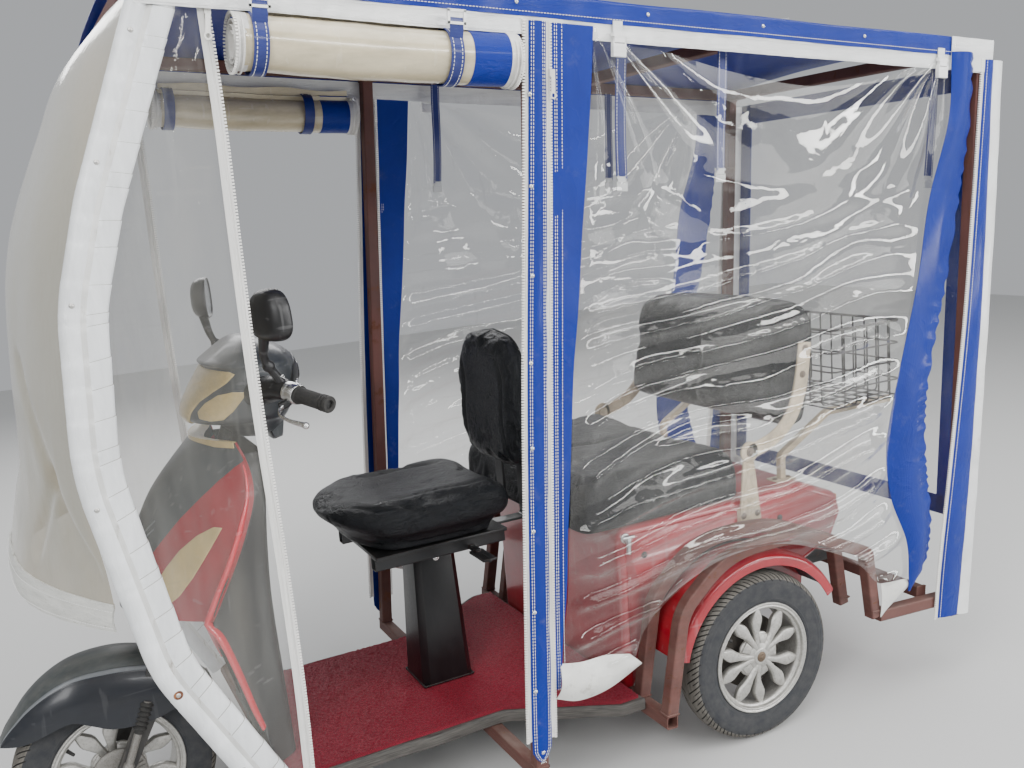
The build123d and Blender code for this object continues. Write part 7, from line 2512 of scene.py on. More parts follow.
    def knees(self) -> None:
        """Adds the knee panel: a trough behind the shield, with a glove box, a hook and a lock."""
        knots = curve_through(np.array(self.knee), 80)
        rows = []
        for z, back, back_half, edge, edge_half in knots:
            loop = [(edge, -edge_half, z), (back, -back_half, z), (back, back_half, z), (edge, edge_half, z)]
            rows.append(self.spaced(loop))
        form = Form().slab(np.array(rows), 0.0045, 0)
        x = 1.0835
        for size, centre in (((0.010, 0.190, 0.130), (x + 0.004, 0.0, 0.690)),
                             ((0.016, 0.012, 0.040), (x - 0.010, 0.0, 0.800))):
            form.block(size, centre, mark=1)
        form.rod([(x + 0.004, 0.0, 0.836), (x - 0.014, 0.0, 0.838), (x - 0.026, 0.0, 0.824), (x - 0.026, 0.0, 0.808)],
                 0.0042, 12, 2)
        form.lathe([(0.0001, -0.0100), (0.0100, -0.0098), (0.0122, -0.0084), (0.0126, 0.004)], (1.078, 0.078, 0.838),
                   (1, 0, 0), 28, 2)
        form.shift(vehicle).build("knee_panel_moulding", Body.VEHICLE, [SOOT, DARK, BRIGHT], ["knee_panel"],
                                  bevel=0.002, sharp=48)

    @staticmethod
    def spaced(loop: Sequence[Place]) -> Points:
        """Rounds a trough section's two corners and gives it a fixed count of points."""
        path = filleted(loop, (0.024, 0.024), 10)
        run = run_of(path)
        at = np.linspace(0, run[-1], 70)
        return np.stack([np.interp(at, run, path[:, k]) for k in range(3)], axis=1)


@dataclass
class FrontGuard:
    """Front mudguard: convex crown, a crisp raised rib on each shoulder painted pale as a highlight, dark flanks partly
    painted shade, with a wavy edge.
    """

    # Angle and radius about the axle along the crown
    crown: tuple[tuple[float, float], ...] = (
        (150, 0.258), (138, 0.260), (125, 0.262), (112, 0.266), (100, 0.268), (90, 0.2685), (80, 0.268), (71, 0.2655),
        (62, 0.262), (53, 0.2575), (45, 0.252), (37, 0.2490), (30, 0.247))
    # Place from the axle and height of the lower edge
    edge: tuple[tuple[float, float], ...] = (
        (-0.2234, 0.339), (-0.180, 0.3385), (-0.130, 0.338), (-0.090, 0.329), (-0.045, 0.327), (-0.020, 0.3290),
        (0.007, 0.335), (0.040, 0.352), (0.070, 0.366), (0.095, 0.364), (0.126, 0.352), (0.152, 0.341), (0.178, 0.334),
        (0.2139, 0.3330))
    plan: tuple[tuple[float, float], ...] = (
        (-0.240, 0.076), (-0.140, 0.083), (-0.040, 0.088), (0.050, 0.086), (0.100, 0.078), (0.140, 0.066),
        (0.180, 0.048), (0.205, 0.034), (0.220, 0.020))
    # Share of the half width, share of the drop to the lower edge
    section: tuple[tuple[float, float], ...] = (
        (0.0, 0.0), (0.20, 0.012), (0.40, 0.045), (0.55, 0.095), (0.66, 0.160), (0.80, 0.280), (0.90, 0.430),
        (0.965, 0.620), (0.99, 0.820), (1.0, 1.0))
    rib_at: float = 0.50
    rib_high: float = 0.0024
    stations: int = 120

    def build(self) -> None:
        """Makes the mudguard."""
        angle, radius = np.radians([a for a, _ in self.crown]), np.array([r for _, r in self.crown])
        top = curve_through(np.stack([radius * np.cos(angle), TYRE_R + radius * np.sin(angle)], axis=1), 400)
        edge = curve_through(np.array(self.edge), 300)
        plan = curve_through(np.array(self.plan), 200)
        turn = np.linspace(0, 1, self.stations)
        x = -0.2230 + 0.4368 * (1 - (1 - turn) ** 1.25)
        high = np.interp(x, top[:, 0], top[:, 1])
        low = np.minimum(np.interp(x, edge[:, 0], edge[:, 1]), high - 0.0005)
        half = np.interp(x, plan[:, 0], plan[:, 1])
        shape = curve_through(np.array(self.section), 140)
        across = np.unique(np.concatenate([np.linspace(0, 1, 22),
                                           self.rib_at + np.array([-0.05, -0.034, -0.02, -0.010, 0, 0.010, 0.022])]))
        out_y, drop = (np.interp(across, np.linspace(0, 1, 140), shape[:, k]) for k in (0, 1))
        bump = np.interp(across, self.rib_at + np.array([-0.05, -0.034, -0.010, 0.010, 0.022]), (0, 0.8, 1.0, 0.3, 0.0),
                         left=0.0, right=0.0)
        fade = np.clip((turn - 0.02) / 0.08, 0, 1) * np.clip((1 - turn) / 0.06, 0, 1)
        right = np.zeros((self.stations, len(across), 3))
        right[..., 0] = WHEELBASE + x[:, None]
        right[..., 1] = half[:, None] * out_y[None, :] * (1 + 0.02 * fade[:, None] * bump[None, :])
        right[..., 2] = high[:, None] - (high - low)[:, None] * drop[None, :] + self.rib_high * fade[:,
                                                                                                     None] * bump[None,
                                                                                                                  :]
        rows = np.concatenate([(right * (1, -1, 1))[:, :0:-1], right], axis=1)
        form = Form().slab(rows, 0.0032, 1)
        cells = rows.shape[1] - 1
        middle = (len(across) - 1)
        for i in range(self.stations - 1):
            for j in range(cells):
                away = across[min(abs(j - middle + (0 if j >= middle else 1)), len(across) - 1)]
                # Crown faces stay grey; rib faces take the pale rib finish as a painted highlight; flank faces take the
                # darker flank finish, partly painted shade.
                mark = 0 if away < self.rib_at - 0.034 else 2 if away < self.rib_at + 0.004 else 1
                form.marks[2 * (i * cells + j)] = mark
        form.shift(vehicle).build("front_mudguard_moulding", Body.STEERING, [GUARD_CROWN, GUARD_FLANK, RIB_HIGHLIGHT],
                                  ["front_mudguard"], sharp=40)
        self.fittings()

    def fittings(self) -> None:
        """Adds what hangs beside the fork legs: dampers with their bellows and the axle's stay."""
        form = Form()
        for hand in (1, -1):
            top, foot = np.array([1.366, 0.083 * hand, 0.372]), np.array([1.4315, 0.083 * hand, 0.218])
            line = top + (foot - top) * np.linspace(0, 1, 5)[:, None]
            form.rod(line, 0.0085, 16, 0)
            axis = foot - top
            bellows = [(0.0098 + 0.0052 * (k % 2), 0.002 + 0.0052 * k) for k in range(13)]
            form.lathe([(0.0001, 0.002)] + bellows + [(0.0088, 0.071)], top, axis, 24, 1)
            form.lathe([(0.0001, 0.163), (0.0105, 0.163), (0.0115, 0.160), (0.0115, 0.140), (0.0088, 0.136)], top, axis,
                       24, 0)
        form.shift(vehicle).build("fork_dampers", Body.STEERING, [DRIVE, GRIP], sharp=40)


def held(section: Points, gap: float = 0.0012) -> Points:
    """Adds points just inside both ends of every long straight, so that flats stay flat in the shading.

    Args:
        section: Outline points in order.
        gap: Distance of the new points from the ends.

    Returns:
        The outline with the new points in it.
    """
    out: list[Points] = []
    for a, b in zip(section, np.roll(section, -1, axis=0)):
        out.append(a)
        length = float(np.linalg.norm(b - a))
        if length > 4 * gap:
            out += [a + (b - a) * gap / length, b - (b - a) * gap / length]
    return np.array(out)


def tube(form: Form, start: Place, end: Place, section: Points, mark: int = 0, hollow: bool = False) -> None:
    """Adds a straight tube, its far end closed or open.

    Args:
        form: Form that takes it.
        start: First end.
        end: Far end.
        section: Outline of the tube.
        mark: Finish number.
        hollow: Whether one can look into the far end.
    """
    a, b = np.asarray(start, float), np.asarray(end, float)
    ahead = (b - a) / np.linalg.norm(b - a)
    side = np.array((0.0, 1.0, 0.0)) if abs(ahead[1]) < 0.5 else np.array((1.0, 0.0, 0.0))
    side -= ahead * (ahead @ side)
    side /= np.linalg.norm(side)
    ring = section[:, :1] * side + section[:, 1:] * np.cross(side, ahead)
    rows = [a + ring, b + ring]
    if hollow:
        rows += [b + ring * 0.84, b - ahead * 0.025 + ring * 0.84]
    form.grid(np.array(rows), mark, around=True, ends=True)


def weld(form: Form, centre: Place, axis: Place, half: tuple[float, float], mark: int = 0) -> None:
    """Adds a lumpy weld bead round the end of a tube.

    Args:
        form: Form that takes it.
        centre: Middle of the tube's end.
        axis: Direction of the tube.
        half: Half lengths of the bead's rectangle, across the vehicle first where the tube allows it.
        mark: Finish number.
    """
    line = np.asarray(axis, float) / np.linalg.norm(axis)
    first = np.array((0.0, 1.0, 0.0)) if abs(line[1]) < 0.5 else np.array((1.0, 0.0, 0.0))
    second = np.cross(line, first)
    signs = ((1, 1), (-1, 1), (-1, -1), (1, -1), (1, 1))
    loop = even(np.array([np.asarray(centre) + a * half[0] * first + b * half[1] * second for a, b in signs]), 0.0022)
    lumps = 1 + 0.32 * np.sin(np.arange(len(loop)) * 2.1 + 9 * float(np.sum(centre)))
    form.sweep(loop, circle(0.0026, 6), line, mark, scale=lumps)


def prism(form: Form, outline: Sequence[tuple[float, float]], y0: float, y1: float, mark: int = 0) -> None:
    """Adds a plate with a side outline between two places across the vehicle."""
    line = np.asarray(outline, float)
    n = len(line)
    sides = [np.stack([line[:, 0], np.full(n, y), line[:, 1]], axis=1) for y in (y0, y1)]
    faces = [tuple(range(n)), tuple(range(2 * n - 1, n - 1, -1))]
    faces += [(i, (i + 1) % n, n + (i + 1) % n, n + i) for i in range(n)]
    form.add(np.concatenate(sides), faces, mark)


def bolt(form: Form, centre: Place, out: Place, radius: float = 0.008, mark: int = 0) -> None:
    """Adds a hexagon bolt head on its washer."""
    form.lathe([(0.0001, 0.0022), (radius * 1.45, 0.0022), (radius * 1.5, 0.0016), (radius * 1.5, -0.001)], centre, out,
               20, mark)
    form.lathe([(0.0001, radius * 0.75), (radius * 0.8, radius * 0.75), (radius, radius * 0.62), (radius, 0.001)],
               centre, out, 6, mark)


@dataclass
class FrameTubes:
    """Square tubes of the canopy's frame, with round edges and weld beads."""

    edge: float = 0.0036
    posts: tuple[tuple[float, float], ...] = ((MID_POST_X, 0.118), (REAR_POST_X, 0.212))
    rails: tuple[tuple[float, float, float], ...] = ((-0.620, 1.372, 1.675), (-0.590, -0.333, 0.262))
    crosses: tuple[tuple[float, float], ...] = (
        (1.357, 1.675), (MID_POST_X, 1.675), (0.025, 1.675), (REAR_POST_X, 1.675), (-0.510, 0.285))
    feet: tuple[tuple[float, float], ...] = ((MID_POST_X, 0.103), (1.120, 0.07099), ARCH[0])
    arch_y: tuple[float, float] = (SIDE_Y, 0.360)

    def build(self) -> None:
        """Makes the five sets of tubes."""
        square, half = held(rounded_section(TUBE, TUBE, self.edge, 3)), TUBE / 2
        posts, rails, crosses, feet, arches = (Form() for _ in range(5))
        for x, low in self.posts:
            tube(posts, (x, SIDE_Y, 1.660), (x, SIDE_Y, low), square, hollow=True)
            weld(posts, (x, SIDE_Y, 1.658), (0, 0, 1), (half, half))
            weld(posts, (x, SIDE_Y, low + 0.002), (0, 0, 1), (half, half))
        for x0, x1, z in self.rails:
            tube(rails, (x1, SIDE_Y, z), (x0, SIDE_Y, z), square, hollow=True)
        for x, z in self.crosses:
            tube(crosses, (x, 0, z), (x, 0.455, z), square)
            weld(crosses, (x, 0.453, z), (0, 1, 0), (half, half))
        for x, z in self.feet:
            tube(feet, (x, 0.148, z), (x, 0.485, z), square, hollow=True)
            weld(feet, (x, 0.150, z), (0, 1, 0), (half, half))
        for y in self.arch_y:
            corners = [(0.3162, y, 0.152)] + [(x, y, z) for x, z in ARCH[1:]]
            arches.sweep(filleted(corners, ARCH_BENDS, 18), square, (0, 1, 0))
            weld(arches, (0.3162, y, 0.154), (0, 0, 1), (half, half))
            weld(arches, (-0.318, y, 0.279), (0, 0, 1), (half, half))
        for name, form in (("canopy_posts", posts), ("canopy_side_rails", rails), ("canopy_cross_bars", crosses),
                           ("canopy_feet", feet), ("canopy_arches", arches)):
            form.mirrored().shift(canopy).build(name + "_welded", Body.VEHICLE, [OXIDE], [name], sharp=50)


@dataclass
class RearBody:
    """Red body shell with round edges, its ridged mudguards, lamps, latch and trim."""

    outline: tuple[tuple[float, float], ...] = (
        (0.235, 0.300), (0.320, 0.175), (0.320, 0.575), (-0.255, 0.575), (-0.372, 0.525), (-0.388, 0.470),
        (-0.350, 0.400), (-0.255, 0.362), (-0.235, 0.300))
    half: float = 0.322
    edge: float = 0.020
    wall: float = 0.004
    guard_turn: tuple[float, float] = (14.0, 152.0)
    # Radius and place across, from the body out to the lip
    guard: tuple[tuple[float, float], ...] = (
        (0.2620, 0.3220), (0.2621, 0.3600), (0.2622, 0.3950), (0.2628, 0.4040), (0.2655, 0.4090), (0.2640, 0.4140),
        (0.2622, 0.4180), (0.2645, 0.4220), (0.2655, 0.4265), (0.2640, 0.4320), (0.2618, 0.4370), (0.2585, 0.4430),
        (0.2530, 0.4470), (0.2440, 0.4480), (0.2330, 0.4480))
    lamp: tuple[float, float, float] = (-0.380, 0.240, 0.490)

    def shell(self) -> None:
        """Makes the hollow body with its latches."""
        line = filleted(self.outline[1:-1], (0.030, 0.040, 0.030, 0.022, 0.040), 8)
        line = np.vstack([[self.outline[0]], line, [self.outline[-1]]])
        ahead = along(line)
        outward = np.stack([ahead[:, 1], -ahead[:, 0]], axis=1)
        outward[0], outward[-1] = (0, 0), (0, 0)
        rows = []
        for turn in np.linspace(0, math.pi / 2, 7):
            inset = line - outward * self.edge * (1 - math.sin(turn))
            rows.append(np.insert(inset, 1, -(self.half - self.edge * (1 - math.cos(turn))), axis=1))
        rows += [row * (1, -1, 1) for row in reversed(rows)]
        form = Form().grid(np.array(rows))
        n = len(line)
        form.add(rows[0], [tuple(range(n))]).add(rows[-1], [tuple(range(n - 1, -1, -1))])
        body = form.shift(vehicle).build("rear_body_shell", Body.VEHICLE, [RED], ["rear_body"], sharp=50)
        wall = body.modifiers.new("wall", "SOLIDIFY")
        wall.thickness, wall.offset = self.wall, -1
        settle(body)
        trim = Form()
        for side in (1, -1):
            grip = np.array([(0.300, side * 0.334, 0.560), (0.3005, side * 0.3365, 0.545),
                             (0.3015, side * 0.3360, 0.518)])
            trim.sweep(even(grip, 0.004), rounded_section(0.010, 0.013, 0.004, 3), (1, 0, 0), 0)
            trim.rod([(0.300, side * 0.321, 0.552), (0.300, side * 0.3335, 0.552)], 0.0052, 16, 0)
            trim.rod([(0.284, side * 0.3345, 0.557), (0.316, side * 0.3345, 0.557)], 0.0042, 12, 0)
            trim.lathe([(0.0001, 0.0030), (0.0105, 0.0030), (0.0125, 0.0012), (0.0125, -0.001)],
                       (0.300, side * self.half, 0.552), (0, side, 0), 24, 0)
            arc = np.radians(np.linspace(*self.guard_turn, 70))
            ring = np.stack([0.2640 * np.cos(arc), np.full(70, side * 0.3235), TYRE_R + 0.2640 * np.sin(arc)], axis=1)
            trim.rod(ring, 0.0032, 8, 1)
            for x in (0.250, 0.060, -0.170):
                bolt(trim, (x, side * self.half, 0.500), (0, side, 0), 0.0055, 2)
        trim.shift(vehicle).build("body_latches_and_trim", Body.VEHICLE, [BRIGHT, SILL, BLACK], bevel=0.0006)

    def guards(self) -> None:
        """Makes the ridged mudguards, with a dark liner beneath, darkened further as painted shade."""
        outer = curve_through(np.array(self.guard), 64)
        inner = np.array([(0.2330, 0.4452), (0.2430, 0.4452), (0.2500, 0.4444), (0.2560, 0.4405), (0.2585, 0.4340),
                          (0.2585, 0.4000), (0.2585, 0.3220)])
        section = np.vstack([outer, inner])
        turns = np.radians(np.linspace(*self.guard_turn, 110))
        rows = np.stack([section[None, :, 0] * np.cos(turns)[:, None], np.repeat(section[None, :, 1], 110, axis=0),
                         TYRE_R + section[None, :, 0] * np.sin(turns)[:, None]], axis=2)
        form = Form().grid(rows, around=True, ends=True)
        n = len(section)
        # Inner faces take the dark flank finish: a dark liner, with painted shade.
        for k in range((len(turns) - 1) * n):
            if len(outer) <= k % n < n - 1:
                form.marks[k] = 1
        form.mirrored().shift(vehicle).build("rear_mudguard_mouldings", Body.VEHICLE, [RED, GUARD_FLANK],
                                             ["rear_mudguards"], sharp=60)

    def lamps(self) -> None:
        """Makes the tail lamps: a dark tray, an amber lens with ribs and two screws."""
        form = Form()
        x, y, z = self.lamp
        form.block((0.012, 0.112, 0.048), (x + 0.002, y, z), mark=1)
        form.block((0.014, 0.104, 0.040), (x - 0.009, y, z), mark=0)
        for k in range(16):
            form.block((0.0024, 0.0028, 0.036), (x - 0.0164, y - 0.046 + k * 0.0061, z), mark=0)
        for side in (1, -1):
            stud(form, (x - 0.0162, y + side * 0.050, z), (-1, 0, 0), 0.0028, 2)
        form.mirrored().shift(vehicle).build("tail_lamp_lenses", Body.VEHICLE, [AMBER, SOOT, BRIGHT], ["tail_lamps"],
                                             bevel=0.0012)

    def build(self) -> None:
        """Makes the body's pieces."""
        self.shell()
        self.guards()
        self.lamps()


@dataclass
class SeatStand:
    """Chipped black seat pillar and the steel frame under the driver's cushion."""

    x: float = 0.672
    foot: float = 0.200
    top: float = 0.547

    @staticmethod
    def octagon(x: float, wide: float, deep: float, cut: float, z: float) -> Points:
        """Gives a rectangle with cut corners at a height."""
        a, b = wide / 2, deep / 2
        return np.array([(x + px, py, z) for px, py in (
            (a, -b + cut), (a, b - cut), (a - cut, b), (-a + cut, b), (-a, b - cut), (-a, -b + cut), (-a + cut, -b),
            (a - cut, -b))])

    def build(self) -> None:
        """Makes the pillar and the frame."""
        pillar = Form()
        pillar.grid(np.array([self.octagon(self.x, 0.132, 0.130, 0.016, self.foot),
                              self.octagon(self.x, 0.106, 0.100, 0.014, self.top)]), around=True, ends=True)
        pillar.grid(np.array([self.octagon(self.x, 0.124, 0.118, 0.014, self.top - h) for h in (0.006, 0.0)]),
                    around=True, ends=True)
        weld(pillar, (self.x, 0, self.foot + 0.001), (0, 0, 1), (0.064, 0.065))
        bolt(pillar, (self.x, 0.0512, self.top - 0.030), (0, 1, 0), 0.0055, 1)
        pillar.shift(vehicle).build("seat_pillar", Body.VEHICLE, [BLACK, BRIGHT], ["seat_pedestal"], bevel=0.0022)

        steel = Form()
        square = held(rounded_section(0.030, 0.030, 0.003, 3))
        steel.block((0.040, 0.210, 0.030), (self.x, 0, 0.562))
        for side in (1, -1):
            tube(steel, (self.x - 0.150, side * 0.120, 0.562), (self.x + 0.180, side * 0.120, 0.562), square,
                 hollow=True)
            strap = filleted([(0.532, side * 0.060, 0.574), (0.427, side * 0.060, 0.574), (0.427, side * 0.060, 0.900)],
                             [0.010])
            steel.sweep(strap, held(rounded_section(0.040, 0.006, 0.002, 2)), (0, 1, 0))
            for z in (0.70, 0.86):
                bolt(steel, (0.424, side * 0.060, z), (-1, 0, 0), 0.0055, 1)
            for x in (0.56, 0.80):
                bolt(steel, (x, side * 0.120, 0.547), (0, 0, -1), 0.0055, 1)
        steel.block((0.330, 0.300, 0.008), (self.x + 0.015, 0, 0.581))
        steel.block((0.014, 0.050, 0.010), (0.612, 0.150, 0.553))
        steel.block((0.034, 0.078, 0.006), (0.612, 0.196, 0.549))
        steel.rod([(0.612, 0.190, 0.5485), (0.612, 0.236, 0.5475)], 0.0048, 12)
        steel.shift(vehicle).build("seat_frame_steel", Body.VEHICLE, [BLACK, BRIGHT], ["seat_frame"], bevel=0.0016)


@dataclass
class BenchIron:
    """Hinge plates, backrest arms and luggage rack in beige steel."""

    hinge: tuple[float, float] = (-0.067, 0.696)
    plate_y: tuple[float, float] = (0.3284, 0.3334)
    arm_y: float = 0.3369
    arm: tuple[tuple[float, float], ...] = (
        (-0.067, 0.696), (-0.115, 0.706), (-0.165, 0.728), (-0.205, 0.765), (-0.232, 0.820), (-0.246, 0.880),
        (-0.256, 0.945))

    def build(self) -> None:
        """Makes the fixed iron and the folding arms."""
        x, z = self.hinge
        top = [(x + 0.014 * math.cos(t), z + 0.014 * math.sin(t)) for t in np.linspace(0, math.pi, 14)]
        fixed = Form()
        prism(fixed, [(x + 0.034, 0.517), *top, (x - 0.034, 0.517)], *self.plate_y)
        prism(fixed, [(x + 0.034, 0.517), (x + 0.034, 0.551), (x - 0.034, 0.551), (x - 0.034, 0.517)], 0.3222, 0.3286)
        fixed.rod([(x, 0.3290, z), (x, 0.3420, z)], 0.0058, 16, 1)
        bolt(fixed, (x, 0.3405, z), (0, 1, 0), 0.0075, 1)
        for dx in (-0.022, 0.022):
            bolt(fixed, (x + dx, 0.3334, 0.534), (0, 1, 0), 0.0055, 1)
        fixed.mirrored().shift(vehicle).build("bench_hinge_plates", Body.VEHICLE, [BEIGE, HUB_CAP], ["backrest_hinges"],
                                              bevel=0.0008)

        arms = Form()
        line = even(curve_through(np.insert(np.array(self.arm), 1, self.arm_y, axis=1), 60), 0.006)
        width = np.interp(np.linspace(0, 1, len(line)), (0, 0.3, 0.7, 1), (1.0, 1.0, 1.12, 1.05))
        arms.sweep(line, held(rounded_section(0.006, 0.038, 0.002, 2), 0.0008), (0, 1, 0), scale=width)
        arms.lathe([(0.0063, -0.0030), (0.0255, -0.0030), (0.0262, -0.0020), (0.0262, 0.0020), (0.0255, 0.0030),
                    (0.0063, 0.0030)],
                   (x, self.arm_y, z), (0, 1, 0), 40)
        for ax, az in ((-0.243, 0.865), (-0.254, 0.930)):
            bolt(arms, (ax, self.arm_y + 0.003, az), (0, 1, 0), 0.006, 1)
        arms.mirrored().shift(vehicle).build("bench_arm_bars", Body.BENCH_BACK, [BEIGE, HUB_CAP], ["backrest_arms"],
                                             bevel=0.0005)

        rack = Form()
        path = filleted([(-0.235, 0.260, 0.575), (-0.235, 0.260, 0.640), (-0.400, 0.260, 0.731),
                         (-0.630, 0.260, 0.731)],
                        [0.020, 0.020])
        rack.sweep(path, held(rounded_section(0.018, 0.018, 0.0025, 3)), (0, 1, 0))
        rack.block((0.060, 0.046, 0.004), (-0.235, 0.260, 0.577))
        for dx in (-0.022, 0.022):
            bolt(rack, (-0.235 + dx, 0.260, 0.579), (0, 0, 1), 0.0045, 1)
        rack.mirrored().shift(vehicle).build("luggage_rack_bars", Body.VEHICLE, [BEIGE, HUB_CAP], ["basket_rack"],
                                             bevel=0.0006)


@dataclass
class Basket:
    """Luggage basket of welded round wire with a stout rim."""

    rear: float = -0.640
    front: float = -0.385
    half: float = 0.300
    low: float = 0.740
    high: float = 0.955
    wire: float = 0.0024
    rim: float = 0.0038

    def ring(self, z: float) -> Points:
        """Gives the basket's outline at a height, with round corners."""
        r, inset = 0.018, self.rim
        corners = ((self.front - inset, self.half - inset), (self.rear + inset, self.half - inset),
                   (self.rear + inset, -self.half + inset), (self.front - inset, -self.half + inset))
        out = []
        for k, (x, y) in enumerate(corners):
            sx, sy = (1 if k in (0, 3) else -1), (1 if k < 2 else -1)
            for i in range(7):
                turn = math.pi / 2 * (k + i / 6)
                out.append((x - sx * r + r * math.cos(turn), y - sy * r + r * math.sin(turn), z))
        out.append(out[0])
        return np.array(out)

    def build(self) -> None:
        """Makes the wires."""
        form = Form()
        for z, radius in ((self.high - self.rim, self.rim), (self.low + 0.150, self.wire),
                          (self.low + 0.100, self.wire),
                          (self.low + 0.050, self.wire), (self.low + self.wire, self.wire)):
            form.sweep(self.ring(z), circle(radius, 8), (0, 0, 1), ends=False)
        xs = np.linspace(self.rear + self.rim, self.front - self.rim, 7)
        ys = np.linspace(-self.half + self.rim, self.half - self.rim, 15)
        for x in xs[1:-1]:
            form.sweep(filleted([(x, -self.half + self.rim, self.high - 0.004),
                                 (x, -self.half + self.rim, self.low + 0.003),
                                 (x, self.half - self.rim, self.low + 0.003),
                                 (x, self.half - self.rim, self.high - 0.004)],
                                [0.010, 0.010], 5), circle(self.wire, 8), (1, 0, 0))
        for y in ys[1:-1]:
            form.rod(filleted([(self.rear + self.rim, y, self.high - 0.004),
                               (self.rear + self.rim, y, self.low + 0.007),
                               (self.front - self.rim, y, self.low + 0.007),
                               (self.front - self.rim, y, self.high - 0.004)],
                              [0.010, 0.010], 5), self.wire, 8)
        form.shift(vehicle).build("basket_wires", Body.VEHICLE, [WIRE], ["luggage_basket"])


@dataclass
class DeckEdging:
    """Wavy black rubber lip pressed on the deck's edges."""

    outline: tuple[tuple[float, float], ...] = ((1.128, 0.262), (0.620, 0.262), (0.386, 0.400), (0.328, 0.400))
    z: float = 0.1775

    def build(self) -> None:
        """Makes the lip on both sides."""
        form = Form()
        line = even(filleted([(x, y, self.z) for x, y in self.outline], [0.060, 0.040]), 0.008)
        wave = ripple(line, 9.0, 3.0)
        line[:, 1] += 0.0025 + 0.0030 * wave
        line[:, 2] += 0.0035 * ripple(line, 7.0, 8.0)
        form.sweep(line, rounded_section(0.028, 0.010, 0.0045, 3), (0, 0, 1))
        form.mirrored().shift(vehicle).build("deck_edge_lip", Body.VEHICLE, [SILL], sharp=60)


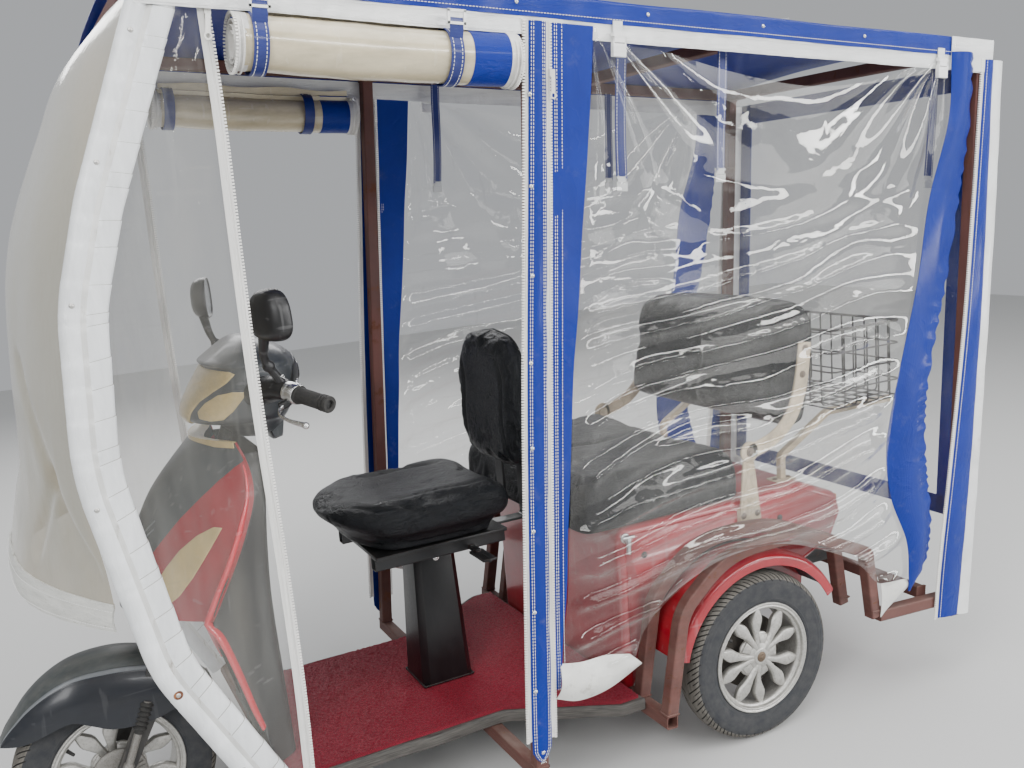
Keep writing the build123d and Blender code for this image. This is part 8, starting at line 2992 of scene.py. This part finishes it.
@dataclass
class Chassis:
    """Bent rails with cross members, front frame, leaf springs, driven axle and fork."""

    nose_x: float = 1.112
    rail: tuple[tuple[float, float], ...] = ((1.130, 0.148), (0.286, 0.148), (0.206, 0.275), (-0.505, 0.275))
    rail_y: float = 0.130
    spring: tuple[tuple[float, float], ...] = ((-0.165, 0.250), (-0.060, 0.236), (0.060, 0.236), (0.165, 0.250))
    axle_half: float = 0.338
    bore: float = 0.0126

    def rails(self) -> None:
        """Makes the two rails and the cross members."""
        form = Form()
        path = filleted([(x, self.rail_y, z) for x, z in self.rail], [0.060, 0.060], 12)
        form.sweep(path, held(rounded_section(0.036, 0.036, 0.004, 3)), (0, 1, 0))
        section = held(rounded_section(0.030, 0.036, 0.0035, 3))
        for x in (0.760, 0.380):
            tube(form, (x, 0, 0.148), (x, 0.112, 0.148), section)
            weld(form, (x, 0.1115, 0.148), (0, 1, 0), (0.015, 0.018))
        for x, z in ((1.040, 0.1665), (0.560, 0.1665), (-0.120, 0.2935), (-0.420, 0.2935)):
            bolt(form, (x, self.rail_y, z), (0, 0, 1), 0.0060, 1)
        form.mirrored().shift(vehicle).build("chassis_rails_welded", Body.VEHICLE, [CHASSIS, BRIGHT], ["chassis_rails"],
                                             sharp=50)

    def front(self) -> None:
        """Makes the down tube, the head tube with its bearing cups and the front cross member."""
        form = Form()
        up = np.array([-math.sin(STEER_RAKE), 0.0, math.cos(STEER_RAKE)])
        start, knee = rake(0.515), (1.160, 0.400)
        form.rod(filleted([(start[0], 0, start[1]), (knee[0], 0, knee[1]), (self.nose_x, 0, 0.150)], [0.150], 16),
                 0.021, 24)
        foot = rake(0.430)
        form.lathe([(0.0160, 0.0), (0.0290, 0.0), (0.0290, 0.012), (0.0262, 0.015), (0.0262, 0.155), (0.0290, 0.158),
                    (0.0290, 0.170), (0.0160, 0.170), (0.0160, 0.0)], (foot[0], 0, foot[1]), up, 40)
        section = held(rounded_section(0.030, 0.036, 0.0035, 3))
        tube(form, (self.nose_x, -0.112, 0.148), (self.nose_x, 0.112, 0.148), section)
        for side in (1, -1):
            weld(form, (self.nose_x, side * 0.1115, 0.148), (0, 1, 0), (0.015, 0.018))
            prism(form, [(1.094, 0.166), (1.152, 0.166), (1.124, 0.225)], side * 0.020 - 0.002, side * 0.020 + 0.002)
        form.shift(vehicle).build("front_frame_tubes", Body.VEHICLE, [CHASSIS], ["front_frame"], bevel=0.0010, sharp=50)

    def springs(self) -> None:
        """Makes the leaf springs with their short leaves and shackle bolts."""
        form = Form()
        main = even(filleted([(x, self.rail_y, z) for x, z in self.spring], [0.200, 0.200], 10), 0.008)
        form.sweep(main, rounded_section(0.044, 0.007, 0.0015, 2), (0, 1, 0))
        for reach, lift in ((0.108, 0.0058), (0.066, 0.0106)):
            leaf = main[np.abs(main[:, 0]) < reach] + (0, 0, lift)
            form.sweep(leaf, rounded_section(0.042, 0.0044, 0.0012, 2), (0, 1, 0))
        for x in (-0.158, 0.158):
            form.rod([(x, self.rail_y - 0.025, 0.2510), (x, self.rail_y + 0.025, 0.2510)], 0.0050, 14, 1)
            for side in (1, -1):
                form.block((0.016, 0.003, 0.022), (x, self.rail_y + side * 0.0200, 0.2560))
        for x in (-0.029, 0.029):
            for side in (1, -1):
                form.rod([(x, self.rail_y + side * 0.0160, 0.184), (x, self.rail_y + side * 0.0160, 0.252)], 0.0030, 10,
                         1)
            form.block((0.010, 0.044, 0.004), (x, self.rail_y, 0.1835))
        form.mirrored().shift(vehicle).build("leaf_spring_packs", Body.VEHICLE, [BLACK, HUB_CAP], ["rear_springs"],
                                             bevel=0.0006)

    def axle(self) -> None:
        """Makes the axle tube and the finned motor."""
        form = Form()
        half, bore = self.axle_half, self.bore
        side = [(bore, 0.0), (bore, half), (0.0300, half), (0.0310, half - 0.002), (0.0310, half - 0.010),
                (0.0262, half - 0.013),
                (0.0262, 0.120), (0.0380, 0.104), (0.0540, 0.097), (0.0740, 0.094), (0.0785, 0.089), (0.0795, 0.080)]
        for k in range(9):
            y = 0.070 - k * 0.0155
            side += [(0.0795, y + 0.0035), (0.0745, y + 0.0022), (0.0745, y - 0.0060), (0.0795, y - 0.0075)]
        side = [p for p in side if p[1] >= 0]
        profile = side + [(r, -y) for r, y in reversed(side)]
        form.lathe(profile, (0, 0, TYRE_R), (0, 1, 0), 72)
        for k in range(8):
            turn = math.pi * (k + 0.5) / 4
            for hand in (1, -1):
                bolt(form, (0.064 * math.cos(turn), hand * 0.0952, TYRE_R + 0.064 * math.sin(turn)), (0, hand, 0),
                     0.0042, 1)
        form.block((0.030, 0.060, 0.024), (0.070, 0.0, TYRE_R + 0.040), Matrix.Rotation(-0.52, 4, "Y"), 2)
        form.shift(vehicle).build("driven_axle", Body.VEHICLE, [DRIVE, HUB_CAP, SOOT], ["rear_axle"], bevel=0.0008,
                                  sharp=34)

    def fork(self) -> None:
        """Makes the steerer, the crown, both legs and the front axle."""
        form = Form()
        low, high = rake(0.227), rake(0.830)
        form.rod([(low[0], 0, low[1]), (high[0], 0, high[1])], 0.015, 28)
        prism(form, [rake(0.222, -0.030), rake(0.222, 0.040), rake(0.245, 0.040), rake(0.245, -0.030)], -0.072, 0.072)
        for side in (1, -1):
            y = side * 0.063
            prism(form,
                  [rake(0.245, -0.018), rake(0.245, 0.022), (1.456, 0.204), (1.452, 0.196), (1.440, 0.190),
                   (1.426, 0.192)],
                  y - 0.009, y + 0.009)
            form.lathe([(0.0075, -0.011), (0.0150, -0.011), (0.0150, 0.011), (0.0075, 0.011)], (WHEELBASE, y, TYRE_R),
                       (0, side, 0), 28)
            bolt(form, (WHEELBASE, side * 0.0745, TYRE_R), (0, side, 0), 0.0090, 1)
            bolt(form, (*rake(0.2335, 0.030)[:1], side * 0.060, rake(0.2335, 0.030)[1]), (0, side, 0), 0.0040, 1)
        form.rod([(WHEELBASE, -0.083, TYRE_R), (WHEELBASE, 0.083, TYRE_R)], 0.0075, 20, 1)
        form.shift(vehicle).build("fork_and_axle", Body.STEERING, [FORK, BRIGHT], ["front_fork"], bevel=0.0018,
                                  sharp=40)

    def build(self) -> None:
        """Makes the running gear's frame."""
        self.rails()
        self.front()
        self.springs()
        self.axle()
        self.fork()


@dataclass
class CarriedOver:
    """The frame's own pieces, which keep their shape and get a finish."""

    finishes: dict[str, Finish] = field(default_factory=lambda: NODE_FINISHES)

    def build(self) -> None:
        """Gives every frame node its finish."""
        for name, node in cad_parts.items():
            node.data.materials.clear()
            node.data.materials.append(self.finishes[name].material())
        LOG.info("frame nodes dressed: %d", len(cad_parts))


def main() -> None:
    """Builds the vehicle's pieces in order."""
    logging.basicConfig(level=logging.INFO, format="%(message)s")
    Studio().build()
    CarriedOver().build()
    for part in (Hoops(), Bubble(), FrontWindows(), RolledDoors(), PostCovers(), RearPanels(), Roof(),
                 HangingStraps(), Wheels(), DeckMat(), HeadCover(), Controls(), LegShield(), FrontGuard(),
                 FrameTubes(), RearBody(), SeatStand(), BenchIron(), Basket(), DeckEdging(), Chassis(), *upholstery()):
        part.build()
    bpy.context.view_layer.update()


if __name__ == "__main__":
    main()
